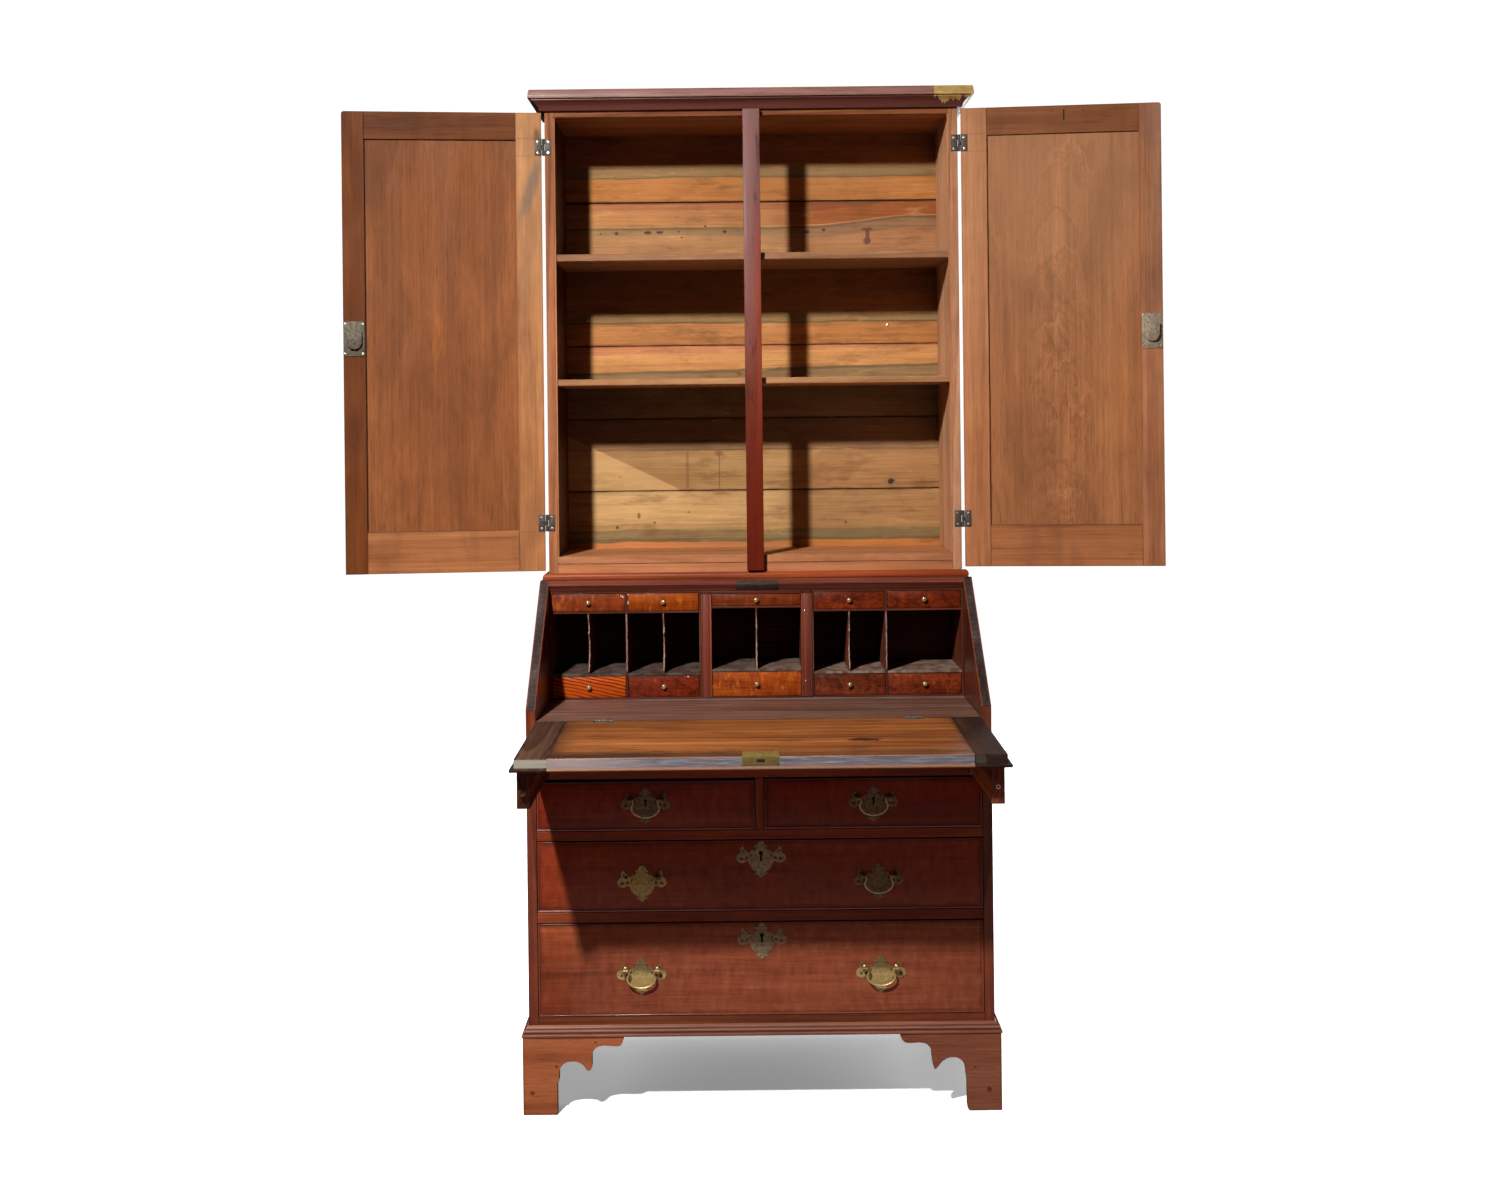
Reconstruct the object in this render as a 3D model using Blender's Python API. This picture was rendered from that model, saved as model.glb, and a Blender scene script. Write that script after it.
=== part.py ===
"""Slant-front secretary bookcase, shown open: doors swung back, fall down on its lopers.

Frame: X to the right, Y to the back, Z up, metres. The origin is on the floor, on the
centre line, in the plane of the desk's front (drawer fronts and side edges).
"""
import math

import bmesh
import bpy
from mathutils import Matrix, Vector

# ---------------------------------------------------------------- driving dimensions
GAP = 0.0003            # clearance between pieces that touch

# desk (lower half)
DESK_HALF = 0.4825      # half width over the sides
BOARD = 0.020           # side board thickness
INNER = DESK_HALF - BOARD
DESK_DEPTH = 0.620
FOOT_H = 0.160          # underside of the desk case
FLOOR_TOP = 0.180       # top face of the desk's bottom board
BED_TOP = 0.811         # writing height, and height of the fall's pin
BED_T = 0.022
SLANT_Z0 = 0.834        # where the slanted edge leaves the vertical front
SLANT_Y1 = 0.296        # front edge of the desk top
DESK_TOP = 1.077
TOP_T = 0.025

# drawer openings, bottom to top (z low, z high)
OPEN_LOW = (0.1975, 0.3930)
OPEN_MID = (0.4140, 0.5625)
OPEN_TOP = (0.5820, 0.6900)
DUST_TOP = 0.6970       # top of the dust board, where the lopers slide
DIVIDER = 0.009         # half width of the divider between the short drawers
DRAWER_DEPTH = 0.540
DRAWER_FRONT = 0.020

# fall (writing flap)
FALL_L = 0.378          # inner face, pin to head
FALL_HALF = 0.4605
FALL_T = 0.0253
LIP = 0.008             # how far the lip laps the case
LIP_DEPTH = 0.0183      # inner face to the lip
FALL_GAP = 0.0006
FALL_SAG = math.radians(1.4)    # the open fall leans this far below level, down onto its lopers

# lopers
LOPER_T = 0.025
LOPER_Z = (0.6975, 0.7850)
LOPER_OUT = 0.3235
LOPER_L = 0.500

# gallery
GAL_Y = 0.2945          # front plane
GAL_BACK = 0.520
GAL_Z = (0.8113, 1.0512)

# bookcase (upper half)
CASE_HALF = 0.4655
CASE_Y = 0.330          # front plane of the bookcase
CASE_BACK = 0.615
CASE_IN = CASE_HALF - BOARD
CASE_Z = (DESK_TOP + GAP, 2.150)
SHELF_LOW = (1.514, 1.528)
SHELF_UP = (1.795, 1.8105)
DOOR_Z = (1.097, 2.130)
DOOR_IN = 0.0225        # edge of the lock stile when closed
DOOR_T = 0.020
DOOR_BACK = 0.3295      # inner face of a closed door
DOOR_OPEN = math.radians(173.4)
PIN_X = 0.4691          # door pins
PIN_Y = 0.32975
CORNICE_Z = 2.132
CORNICE_H = 0.0445

SLANT_LEN = math.hypot(SLANT_Y1, DESK_TOP - SLANT_Z0)
SLANT = math.atan2(DESK_TOP - SLANT_Z0, SLANT_Y1)

# ---------------------------------------------------------------- scene
for old in list(bpy.data.objects):
    bpy.data.objects.remove(old, do_unlink=True)

PARTS = bpy.data.collections.new("secretary_bookcase")
TOOLS = bpy.data.collections.new("cutters")
bpy.context.scene.collection.children.link(PARTS)
bpy.context.scene.collection.children.link(TOOLS)
tools_of = {}


def material(name, rgb, roughness, metallic=0.0):
    mat = bpy.data.materials.new(name)
    mat.use_nodes = True
    shader = mat.node_tree.nodes["Principled BSDF"]
    shader.inputs["Base Color"].default_value = (*rgb, 1.0)
    shader.inputs["Roughness"].default_value = roughness
    shader.inputs["Metallic"].default_value = metallic
    mat.diffuse_color = (*rgb, 1.0)
    return mat


MAHOGANY = ((0.20, 0.055, 0.022), 0.42, 0.0)
MAHOGANY_IN = ((0.30, 0.115, 0.050), 0.50, 0.0)
DARK = ((0.09, 0.026, 0.014), 0.45, 0.0)
PINE = ((0.50, 0.29, 0.14), 0.62, 0.0)
BRASS = ((0.36, 0.26, 0.12), 0.38, 1.0)
IRON = ((0.16, 0.14, 0.12), 0.55, 1.0)


# ---------------------------------------------------------------- mesh makers
def box_mesh(lo, hi):
    bm = bmesh.new()
    bmesh.ops.create_cube(bm, size=1.0)
    size = Vector(hi) - Vector(lo)
    middle = (Vector(hi) + Vector(lo)) / 2
    bmesh.ops.scale(bm, vec=size, verts=bm.verts)
    bmesh.ops.translate(bm, vec=middle, verts=bm.verts)
    mesh = bpy.data.meshes.new("box")
    bm.to_mesh(mesh)
    bm.free()
    return mesh


AXIS_TURN = {
    "x": Matrix.Rotation(math.pi / 2, 4, "Y"),
    "y": Matrix.Rotation(-math.pi / 2, 4, "X"),
    "z": Matrix.Identity(4),
}


def rod_mesh(centre, axis, radius, length, sides=12, radius2=None):
    bm = bmesh.new()
    turn = Matrix.Translation(centre) @ AXIS_TURN[axis] @ Matrix.Rotation(math.pi / sides, 4, "Z")
    bmesh.ops.create_cone(bm, cap_ends=True, segments=sides, radius1=radius,
                          radius2=radius if radius2 is None else radius2, depth=length, matrix=turn)
    bmesh.ops.recalc_face_normals(bm, faces=bm.faces)
    mesh = bpy.data.meshes.new("rod")
    bm.to_mesh(mesh)
    bm.free()
    mesh.shade_smooth()
    mesh.set_sharp_from_angle(angle=math.radians(40))
    return mesh


# frames for flat outlines: where the outline's own x, y and thickness point
PLANE_YZ = Matrix(((0, 0, 1), (1, 0, 0), (0, 1, 0))).to_4x4()    # outline (Y, Z), thick along X
PLANE_XZ = Matrix(((1, 0, 0), (0, 0, -1), (0, 1, 0))).to_4x4()   # outline (X, Z), thick along -Y


def outline_mesh(points, thickness, plane, middle):
    """A flat outline of even thickness; middle is where its mid-plane lies."""
    curve = bpy.data.curves.new("outline", "CURVE")
    curve.dimensions = "2D"
    curve.fill_mode = "BOTH"
    curve.extrude = thickness / 2
    spline = curve.splines.new("POLY")
    spline.points.add(len(points) - 1)
    for slot, (a, b) in zip(spline.points, points):
        slot.co = (a, b, 0, 1)
    spline.use_cyclic_u = True
    return curve_to_mesh(curve, Matrix.Translation(middle) @ plane)


def curve_to_mesh(curve, matrix):
    guide = bpy.data.objects.new("guide", curve)
    TOOLS.objects.link(guide)
    bpy.context.view_layer.update()
    depsgraph = bpy.context.evaluated_depsgraph_get()
    mesh = bpy.data.meshes.new_from_object(guide.evaluated_get(depsgraph))
    bpy.data.objects.remove(guide, do_unlink=True)
    bm = bmesh.new()
    bm.from_mesh(mesh)
    bmesh.ops.remove_doubles(bm, verts=bm.verts, dist=0.00002)
    bmesh.ops.transform(bm, matrix=matrix, verts=bm.verts)
    bmesh.ops.recalc_face_normals(bm, faces=bm.faces)
    bm.to_mesh(mesh)
    bm.free()
    return mesh


def moulding_mesh(profile, corners, base):
    """A moulding round three sides, mitred at the two front corners.

    profile: (projection, height) points; corners: the case's outline at the back left,
    front left, front right and back right; base: height of the profile's zero.
    """
    outward = ((-1, 0), (-1, -1), (1, -1), (1, 0))
    bm = bmesh.new()
    rings = []
    for (x, y), (ox, oy) in zip(corners, outward):
        ring = [bm.verts.new((x + ox * p, y + oy * p, base + z)) for p, z in profile]
        rings.append([bm.edges.new((a, b)) for a, b in zip(ring, ring[1:] + ring[:1])])
    for first, second in zip(rings, rings[1:]):
        bmesh.ops.bridge_loops(bm, edges=first + second)
    for end in (rings[0], rings[-1]):
        bmesh.ops.contextual_create(bm, geom=end)
    bmesh.ops.recalc_face_normals(bm, faces=bm.faces)
    mesh = bpy.data.meshes.new("moulding")
    bm.to_mesh(mesh)
    bm.free()
    return mesh


def wire_mesh(points, radius, resolution=1):
    curve = bpy.data.curves.new("wire", "CURVE")
    curve.dimensions = "3D"
    curve.bevel_depth = radius
    curve.bevel_resolution = resolution
    curve.use_fill_caps = True
    spline = curve.splines.new("POLY")
    spline.points.add(len(points) - 1)
    for slot, p in zip(spline.points, points):
        slot.co = (*p, 1)
    return curve_to_mesh(curve, Matrix.Identity(4))


# ---------------------------------------------------------------- objects
def node(name, mesh, look):
    mesh.name = name
    obj = bpy.data.objects.new(name, mesh)
    PARTS.objects.link(obj)
    mesh.materials.clear()
    mesh.materials.append(material(name + "_finish", *look))
    tools_of[name] = []
    return obj


def shape(obj, mesh, operation):
    """Boolean on obj with a hidden tool of this mesh."""
    tool = bpy.data.objects.new(obj.name + "_tool", mesh)
    TOOLS.objects.link(tool)
    tool.hide_render = True
    tool.display_type = "WIRE"
    modifier = obj.modifiers.new(operation.lower(), "BOOLEAN")
    modifier.operation = operation
    modifier.solver = "EXACT"
    modifier.object = tool
    tools_of[obj.name].append(tool)
    return obj


def cut(obj, mesh):
    return shape(obj, mesh, "DIFFERENCE")


def join(obj, mesh):
    return shape(obj, mesh, "UNION")


def cut_box(obj, lo, hi):
    return cut(obj, box_mesh(lo, hi))


def join_box(obj, lo, hi):
    return join(obj, box_mesh(lo, hi))


def origin_at(obj, point, parent=None):
    """Give obj (and its tools) an origin at point, or hang them from a parent there."""
    shift = Matrix.Translation(-Vector(point))
    for piece in [obj] + tools_of[obj.name]:
        piece.data.transform(shift)
        if parent is None:
            piece.location = point
        else:
            piece.parent = parent
    return obj


def axis_empty(name, point):
    empty = bpy.data.objects.new(name, None)
    empty.empty_display_size = 0.05
    empty.location = point
    PARTS.objects.link(empty)
    return empty


def span(side, a, b):
    """The x range from a to b on one side (-1 left, +1 right), low to high."""
    return (a, b) if side > 0 else (-b, -a)


def sided_box(side, xa, xb, ya, yb, za, zb):
    lo, hi = span(side, xa, xb)
    return (lo, ya, za), (hi, yb, zb)


# ================================================================ upper half
upper = node("upper_case", box_mesh((-CASE_HALF, CASE_Y, CASE_Z[0]), (CASE_HALF, CASE_BACK, CASE_Z[1])), MAHOGANY_IN)
cut_box(upper, (-CASE_IN, 0.30, 1.128), (CASE_IN, 0.70, 2.119))          # bookcase interior
cut_box(upper, (-CASE_IN, 0.350, 1.05), (CASE_IN, 0.70, 1.112))          # under the bottom board
cut_box(upper, (-CASE_IN, 0.350, 2.136), (CASE_IN, 0.70, 2.20))          # above the top board
cut_box(upper, (-0.4535, 0.6027, 1.100), (0.4535, 0.70, 2.1450))         # rabbet for the backboards
for z0, z1 in (SHELF_LOW, SHELF_UP):                                     # shelf dadoes
    cut_box(upper, (-0.4505, 0.334, z0 - GAP), (0.4505, 0.70, z1 + GAP))
for side in (-1, 1):                                                     # hinge mortises
    for z in (1.205, 2.052):
        cut_box(upper, *sided_box(side, 0.4500, 0.48, 0.32, 0.3322, z - 0.0193, z + 0.0193))

back = node("upper_backboard", box_mesh((-0.4531, 0.6030, 1.1004), (0.4531, CASE_BACK, 2.1446)), PINE)
for z in (1.266, 1.439, 1.6145, 1.826, 1.959):                           # joints between the boards
    cut_box(back, (-0.5, 0.60, z - 0.0012), (0.5, 0.6055, z + 0.0012))

node("shelf_lower", box_mesh((-0.4500, 0.3350, SHELF_LOW[0]), (0.4500, 0.6025, SHELF_LOW[1])), MAHOGANY_IN)
node("shelf_upper", box_mesh((-0.4500, 0.3350, SHELF_UP[0]), (0.4500, 0.6025, SHELF_UP[1])), MAHOGANY_IN)

stile = node("centre_stile", box_mesh((-0.019, 0.3105, 1.0945), (0.019, CASE_Y - GAP, 2.1315)), DARK)
for side in (-1, 1):                                                     # mortises for the lock bolts
    cut_box(stile, *sided_box(side, 0.0090, 0.03, 0.3180, 0.3260, 1.6080, 1.6360))

cornice_profile = [(0, 0), (0.010, 0), (0.011, 0.003), (0.0125, 0.008), (0.016, 0.014), (0.022, 0.0195),
                   (0.027, 0.022), (0.027, 0.025), (0.034, 0.025), (0.0315, CORNICE_H), (0, CORNICE_H)]
hx, fy = CASE_HALF + GAP, CASE_Y - GAP
node("cornice", moulding_mesh(cornice_profile, ((-hx, CASE_BACK), (-hx, fy), (hx, fy), (hx, CASE_BACK)), CORNICE_Z), DARK)

waist_profile = [(0, 0), (0.013, 0), (0.013, 0.007), (0.0115, 0.011), (0.008, 0.0142), (0, 0.0142)]
node("waist_moulding", moulding_mesh(waist_profile, ((-hx, CASE_BACK), (-hx, fy), (hx, fy), (hx, CASE_BACK)),
                                     DESK_TOP + GAP), MAHOGANY)

# ---------------------------------------------------------------- doors
STILE_HINGE, STILE_LOCK, RAIL_TOP, RAIL_LOW = 0.058, 0.049, 0.062, 0.093
LOCK_Z = 1.622
for side, word in ((-1, "left"), (1, "right")):
    pin = Vector((side * PIN_X, PIN_Y, 0))
    hang = axis_empty(f"door_{word}_axis", pin)
    y0, y1 = DOOR_BACK - DOOR_T, DOOR_BACK
    ox, ix = CASE_HALF, DOOR_IN
    px0, px1 = ix + STILE_LOCK, ox - STILE_HINGE           # panel opening
    pz0, pz1 = DOOR_Z[0] + RAIL_LOW, DOOR_Z[1] - RAIL_TOP

    frame = node(f"door_{word}_frame", box_mesh(*sided_box(side, ix, ox, y0, y1, *DOOR_Z)), MAHOGANY_IN)
    cut_box(frame, *sided_box(side, px0, px1, 0.2, 0.4, pz0, pz1))
    cut_box(frame, *sided_box(side, px0 - 0.010, px1 + 0.010, y0 + 0.0065, y0 + 0.0145, pz0 - 0.010, pz1 + 0.010))
    for z in (1.205, 2.052):
        cut_box(frame, *sided_box(side, 0.4500, 0.48, DOOR_BACK - 0.0022, 0.34, z - 0.0193, z + 0.0193))
    origin_at(frame, pin, hang)

    panel = node(f"door_{word}_panel",
                 box_mesh(*sided_box(side, px0 - 0.0085, px1 + 0.0085, y0 + 0.0070, y0 + 0.0140, pz0 - 0.0085, pz1 + 0.0085)),
                 MAHOGANY_IN)
    bm = bmesh.new()                                        # raised field on the outer face
    bm.from_mesh(panel.data)
    outer = [f for f in bm.faces if f.normal.y < -0.9]
    bmesh.ops.inset_region(bm, faces=outer, thickness=0.012)
    bmesh.ops.inset_region(bm, faces=outer, thickness=0.030)
    bmesh.ops.translate(bm, vec=(0, -0.0055, 0), verts=[v for f in outer for v in f.verts])
    bm.to_mesh(panel.data)
    bm.free()
    origin_at(panel, pin, hang)

    lock = node(f"door_{word}_lock",
                box_mesh(*sided_box(side, ix + 0.0010, ix + 0.0470, y1 + GAP, y1 + 0.0028, LOCK_Z - 0.039, LOCK_Z + 0.039)),
                IRON)
    join_box(lock, *sided_box(side, ix + 0.0040, ix + 0.0400, y1 + 0.0010, y1 + 0.0120, LOCK_Z - 0.028, LOCK_Z + 0.028))
    origin_at(lock, pin, hang)

    for z, place in ((1.205, "lower"), (2.052, "upper")):
        leaf = node(f"hinge_{word}_{place}_case_leaf",
                    box_mesh(*sided_box(side, 0.4503, PIN_X, CASE_Y + 0.0002, CASE_Y + 0.0019, z - 0.019, z + 0.019)), IRON)
        for dz in (-0.0127, 0.0127):
            join(leaf, rod_mesh((side * PIN_X, PIN_Y, z + dz), "z", 0.0032, 0.0122))
        cut(leaf, rod_mesh((side * PIN_X, PIN_Y, z), "z", 0.0020, 0.05, 8))
        cut_box(leaf, *sided_box(side, 0.4655, 0.48, 0.32, 0.34, z - 0.0064, z + 0.0064))

        swing = node(f"hinge_{word}_{place}_door_leaf",
                     box_mesh(*sided_box(side, 0.4503, 0.4652, DOOR_BACK - 0.0019, DOOR_BACK - 0.0002, z - 0.019, z + 0.019)), IRON)
        join_box(swing, *sided_box(side, 0.460, PIN_X, DOOR_BACK - 0.0019, DOOR_BACK - 0.0002, z - 0.0060, z + 0.0060))
        join(swing, rod_mesh((side * PIN_X, PIN_Y, z), "z", 0.0032, 0.0120))
        join(swing, rod_mesh((side * PIN_X, PIN_Y, z), "z", 0.0015, 0.0376, 8))
        origin_at(swing, pin, hang)
    hang.rotation_euler = (0, 0, side * DOOR_OPEN)

# ================================================================ lower half
case = node("base_case", box_mesh((-DESK_HALF, 0, FOOT_H), (DESK_HALF, DESK_DEPTH, DESK_TOP)), MAHOGANY)
cut_box(case, (-INNER, -0.2, FLOOR_TOP), (INNER, 0.9, DESK_TOP - TOP_T))
slope = (SLANT_Y1) / (DESK_TOP - SLANT_Z0)
cut(case, outline_mesh([(-0.1, SLANT_Z0), (0, SLANT_Z0), ((1.2 - SLANT_Z0) * slope, 1.2), (-0.1, 1.2)],
                       1.2, PLANE_YZ, (0, 0, 0)))


def from_pin(u, n):
    """(Y, Z) of a point u along the slant from the fall's pin and n inside its inner face."""
    return (u * math.cos(SLANT) + n * math.sin(SLANT), BED_TOP + u * math.sin(SLANT) - n * math.cos(SLANT))


cut(case, outline_mesh([from_pin(0.30, -0.030), from_pin(FALL_L + 0.0025, -0.030), from_pin(FALL_L + 0.0025, 0.0012),
                        from_pin(0.30, 0.0012)], 2 * INNER, PLANE_YZ, (0, 0, 0)))    # rebate for the fall's head
cut_box(case, (-0.4705, 0.6060, 0.1600), (0.4705, 0.7, 1.0600))                      # rabbet for the backboard

node("base_backboard", box_mesh((-0.4701, 0.6063, 0.1604), (0.4701, DESK_DEPTH, 1.0596)), PINE)

bed = node("writing_bed", box_mesh((-INNER + GAP, FALL_GAP, BED_TOP - BED_T), (INNER - GAP, 0.6057, BED_TOP)), MAHOGANY)

# drawer frame: frieze rail, blades, divider, guides, runners, dust board and back posts
edge = INNER - GAP
blades = node("drawer_frame", box_mesh((-edge, GAP, FLOOR_TOP + GAP), (edge, 0.600, BED_TOP - BED_T - GAP)), MAHOGANY)
cut_box(blades, (-0.4300, 0.0200, DUST_TOP), (0.4300, 0.70, 0.90))                   # behind the frieze rail
cut_box(blades, (-0.60, -0.1, OPEN_MID[0]), (0.60, 0.5800, OPEN_MID[1]))             # middle long drawer
cut_box(blades, (-0.60, -0.1, OPEN_LOW[0]), (0.60, 0.5805, OPEN_LOW[1]))             # bottom long drawer
cut_box(blades, (-0.4290, 0.0220, 0.150), (0.4290, 0.70, 0.220))                     # between the bottom runners
cut_box(blades, (-0.4285, 0.0600, 0.370), (0.4285, 0.71, 0.440))                     # between the middle runners
cut_box(blades, (-0.4280, 0.5600, 0.210), (0.4280, 0.72, 0.550))                     # open back
for side in (-1, 1):
    cut_box(blades, *sided_box(side, 0.4365, 0.60, -0.1, 0.5790, DUST_TOP, 0.91))    # loper slots
    cut_box(blades, *sided_box(side, DIVIDER, 0.61, -0.1, 0.5785, *OPEN_TOP))        # short drawers
    cut_box(blades, *sided_box(side, 0.0300, 0.4285, 0.0600, 0.5780, 0.550, 0.600))  # between the short drawers' runners

base_profile = [(0, 0), (0.0140, 0), (0.0140, 0.0040), (0.0128, 0.0062), (0.0098, 0.0078), (0.0098, 0.0100),
                (0.0106, 0.0112), (0.0106, 0.0140), (0.0080, 0.0158), (0.0045, 0.0180), (0.0028, 0.0220), (0, 0.0220)]
hx = DESK_HALF + GAP
node("base_moulding", moulding_mesh(base_profile, ((-hx, 0.618), (-hx, -GAP), (hx, -GAP), (hx, 0.618)), FOOT_H), MAHOGANY)

# ---------------------------------------------------------------- bracket feet
FOOT_TOP = FOOT_H - GAP
BRACKET = [(0, 0), (0.0710, 0), (0.0710, 0.0650), (0.0746, 0.0700), (0.0755, 0.0910), (0.0835, 0.1040), (0.0960, 0.1090),
           (0.1120, 0.1090), (0.1260, 0.1000), (0.1295, 0.0950), (0.1330, 0.0910), (0.1400, 0.0910), (0.1430, 0.0990),
           (0.1430, 0.1220), (0.1470, 0.1320), (0.1560, 0.1390), (0.1690, 0.1420), (0.1860, 0.1400), (0.2010, 0.1410),
           (0.2060, 0.1460), (0.2095, 0.1570), (0.2100, FOOT_TOP), (0, FOOT_TOP)]
PLAIN = [(0, 0), (0.070, 0), (0.074, 0.080), (0.105, 0.115), (0.150, 0.130), (0.170, FOOT_TOP), (0, FOOT_TOP)]
FOOT_X, FOOT_Y, FOOT_T, FOOT_BACK = DESK_HALF + 0.012, -0.012, 0.020, 0.618
for side, word in ((-1, "left"), (1, "right")):
    front = node(f"foot_front_{word}",
                 outline_mesh([(side * (FOOT_X - d), z) for d, z in BRACKET], FOOT_T, PLANE_XZ, (0, FOOT_Y + FOOT_T / 2, 0)), MAHOGANY)
    join(front, outline_mesh([(FOOT_Y + d, z) for d, z in BRACKET], FOOT_T, PLANE_YZ, (side * (FOOT_X - FOOT_T / 2), 0, 0)))
    rear = node(f"foot_rear_{word}",
                outline_mesh([(FOOT_BACK - d, z) for d, z in BRACKET], FOOT_T, PLANE_YZ, (side * (FOOT_X - FOOT_T / 2), 0, 0)), MAHOGANY)
    join(rear, outline_mesh([(side * (FOOT_X - 0.003 - d), z) for d, z in PLAIN], FOOT_T, PLANE_XZ,
                            (0, FOOT_BACK - 0.0015 - FOOT_T / 2, 0)))

# ---------------------------------------------------------------- fall
PIN = Vector((0, 0, BED_TOP))
z = BED_TOP
fall_axis = axis_empty("fall_axis", PIN)
fall_profile = [(-FALL_GAP, z), (-FALL_L, z), (-FALL_L, z - LIP_DEPTH), (-FALL_L - LIP, z - LIP_DEPTH),
                (-FALL_L - LIP, z - FALL_T), (-0.016, z - FALL_T), (-FALL_GAP, z - 0.00644)]
fall = node("fall_board", outline_mesh(fall_profile, 2 * FALL_HALF, PLANE_YZ, (0, 0, 0)), MAHOGANY)
join(fall, outline_mesh([(-FALL_L - LIP, z - LIP_DEPTH), (-FALL_L - LIP, z - FALL_T), (-0.016, z - FALL_T),
                         (-0.0103, z - LIP_DEPTH)], 2 * (INNER + LIP), PLANE_YZ, (0, 0, 0)))
cut_box(fall, (-0.0348, -FALL_L - 0.01, z - 0.0160), (0.0348, -FALL_L + 0.0024, z + 0.01))    # lock: edge plate
cut_box(fall, (-0.0348, -FALL_L - 0.01, z - 0.0022), (0.0348, -0.3277, z + 0.01))             # lock: face plate
cut_box(fall, (-0.0303, -FALL_L - 0.01, z - 0.0123), (0.0303, -0.3327, z + 0.01))             # lock: body
for side in (-1, 1):
    x = side * 0.320
    cut_box(fall, (x - 0.020, -0.0040, z - 0.0040), (x + 0.020, 0.01, z + 0.01))
    cut_box(fall, (x - 0.020, -0.0204, z - 0.0019), (x + 0.020, 0.01, z + 0.01))
    cut_box(bed, (x - 0.020, -0.01, z - 0.0040), (x + 0.020, 0.0040, z + 0.01))
    cut_box(bed, (x - 0.020, -0.01, z - 0.0019), (x + 0.020, 0.0204, z + 0.01))

lock = node("fall_lock", box_mesh((-0.0345, -FALL_L, z - 0.0157), (0.0345, -FALL_L + 0.0021, z)), BRASS)
join_box(lock, (-0.0345, -FALL_L, z - 0.0019), (0.0345, -0.3280, z))
join_box(lock, (-0.0300, -FALL_L + 0.001, z - 0.0120), (0.0300, -0.3330, z - 0.001))

for side, word in ((-1, "left"), (1, "right")):
    x = side * 0.320
    leaf = node(f"fall_hinge_{word}_bed_leaf", box_mesh((x - 0.0195, 0.0036, z - 0.0016), (x + 0.0195, 0.0200, z - 0.0002)), IRON)
    for dx in (-0.01315, 0.01315):
        join_box(leaf, (x + dx - 0.00635, 0, z - 0.0016), (x + dx + 0.00635, 0.006, z - 0.0002))
        join(leaf, rod_mesh((x + dx, 0, z), "x", 0.0030, 0.0127))
    cut(leaf, rod_mesh((x, 0, z), "x", 0.0019, 0.06, 8))
    flap = node(f"fall_hinge_{word}_fall_leaf", box_mesh((x - 0.0195, -0.0200, z - 0.0016), (x + 0.0195, -0.0036, z - 0.0002)), IRON)
    join_box(flap, (x - 0.0062, -0.006, z - 0.0016), (x + 0.0062, 0, z - 0.0002))
    join(flap, rod_mesh((x, 0, z), "x", 0.0030, 0.0124))
    join(flap, rod_mesh((x, 0, z), "x", 0.0014, 0.0388, 8))
    origin_at(flap, PIN, fall_axis)
origin_at(fall, PIN, fall_axis)
origin_at(lock, PIN, fall_axis)
fall_axis.rotation_euler = (FALL_SAG, 0, 0)

# ---------------------------------------------------------------- lopers
for side, word in ((-1, "left"), (1, "right")):
    x0, x1 = INNER - 0.0005 - LOPER_T, INNER - 0.0005
    za, zb = LOPER_Z
    head = -LOPER_OUT
    low = zb + (head + 0.013) * math.tan(FALL_SAG)      # its top is worn down to the lean of the fall
    loper = node(f"loper_{word}",
                 outline_mesh([(head, za), (head + LOPER_L, za), (head + LOPER_L, zb), (0, zb), (head + 0.013, low),
                               (head + 0.0065, low - 0.0018), (head + 0.0018, low - 0.0065), (head, low - 0.013)],
                              LOPER_T, PLANE_YZ, (side * (x0 + x1) / 2, 0, 0)), MAHOGANY)
    kx, kz = side * (x0 + x1) / 2, 0.7300
    if side < 0:
        join(loper, rod_mesh((kx, head - 0.004, kz), "y", 0.0035, 0.010, 8))
        join(loper, rod_mesh((kx, head - 0.0115, kz), "y", 0.0070, 0.007, 10, 0.0055))
    else:
        cut(loper, rod_mesh((kx, head, kz), "y", 0.0021, 0.020, 8))
    origin_at(loper, (kx, head, (za + zb) / 2))

# ---------------------------------------------------------------- gallery
CELL_Y = GAL_BACK - 0.006
ROWS = {"under": (0.8145, 0.8635), "hole": (0.8685, 1.0030), "over": (1.0075, 1.0480)}
MID_ROWS = {"under": (0.8145, 0.8705), "hole": (0.8755, 1.0120), "over": (1.0165, 1.0440)}
SIDE_HALF = (0.1280, 0.2875), (0.2925, 0.4580)     # the two drawer columns of a side bay
MID_X = 0.1000


def gallery(name, x0, x1, cells):
    block = node(name, box_mesh((x0, GAL_Y, GAL_Z[0]), (x1, GAL_BACK, GAL_Z[1])), MAHOGANY)
    for (a, b), (low, high), setback in cells:
        cut_box(block, (a, 0.2, low), (b, CELL_Y, high))
    return block


def halves(pair, wall=0.004):
    a, b = pair
    m = (a + b) / 2
    return (a, m - wall / 2), (m + wall / 2, b)


def flip(pair):
    return (-pair[1], -pair[0])


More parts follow.
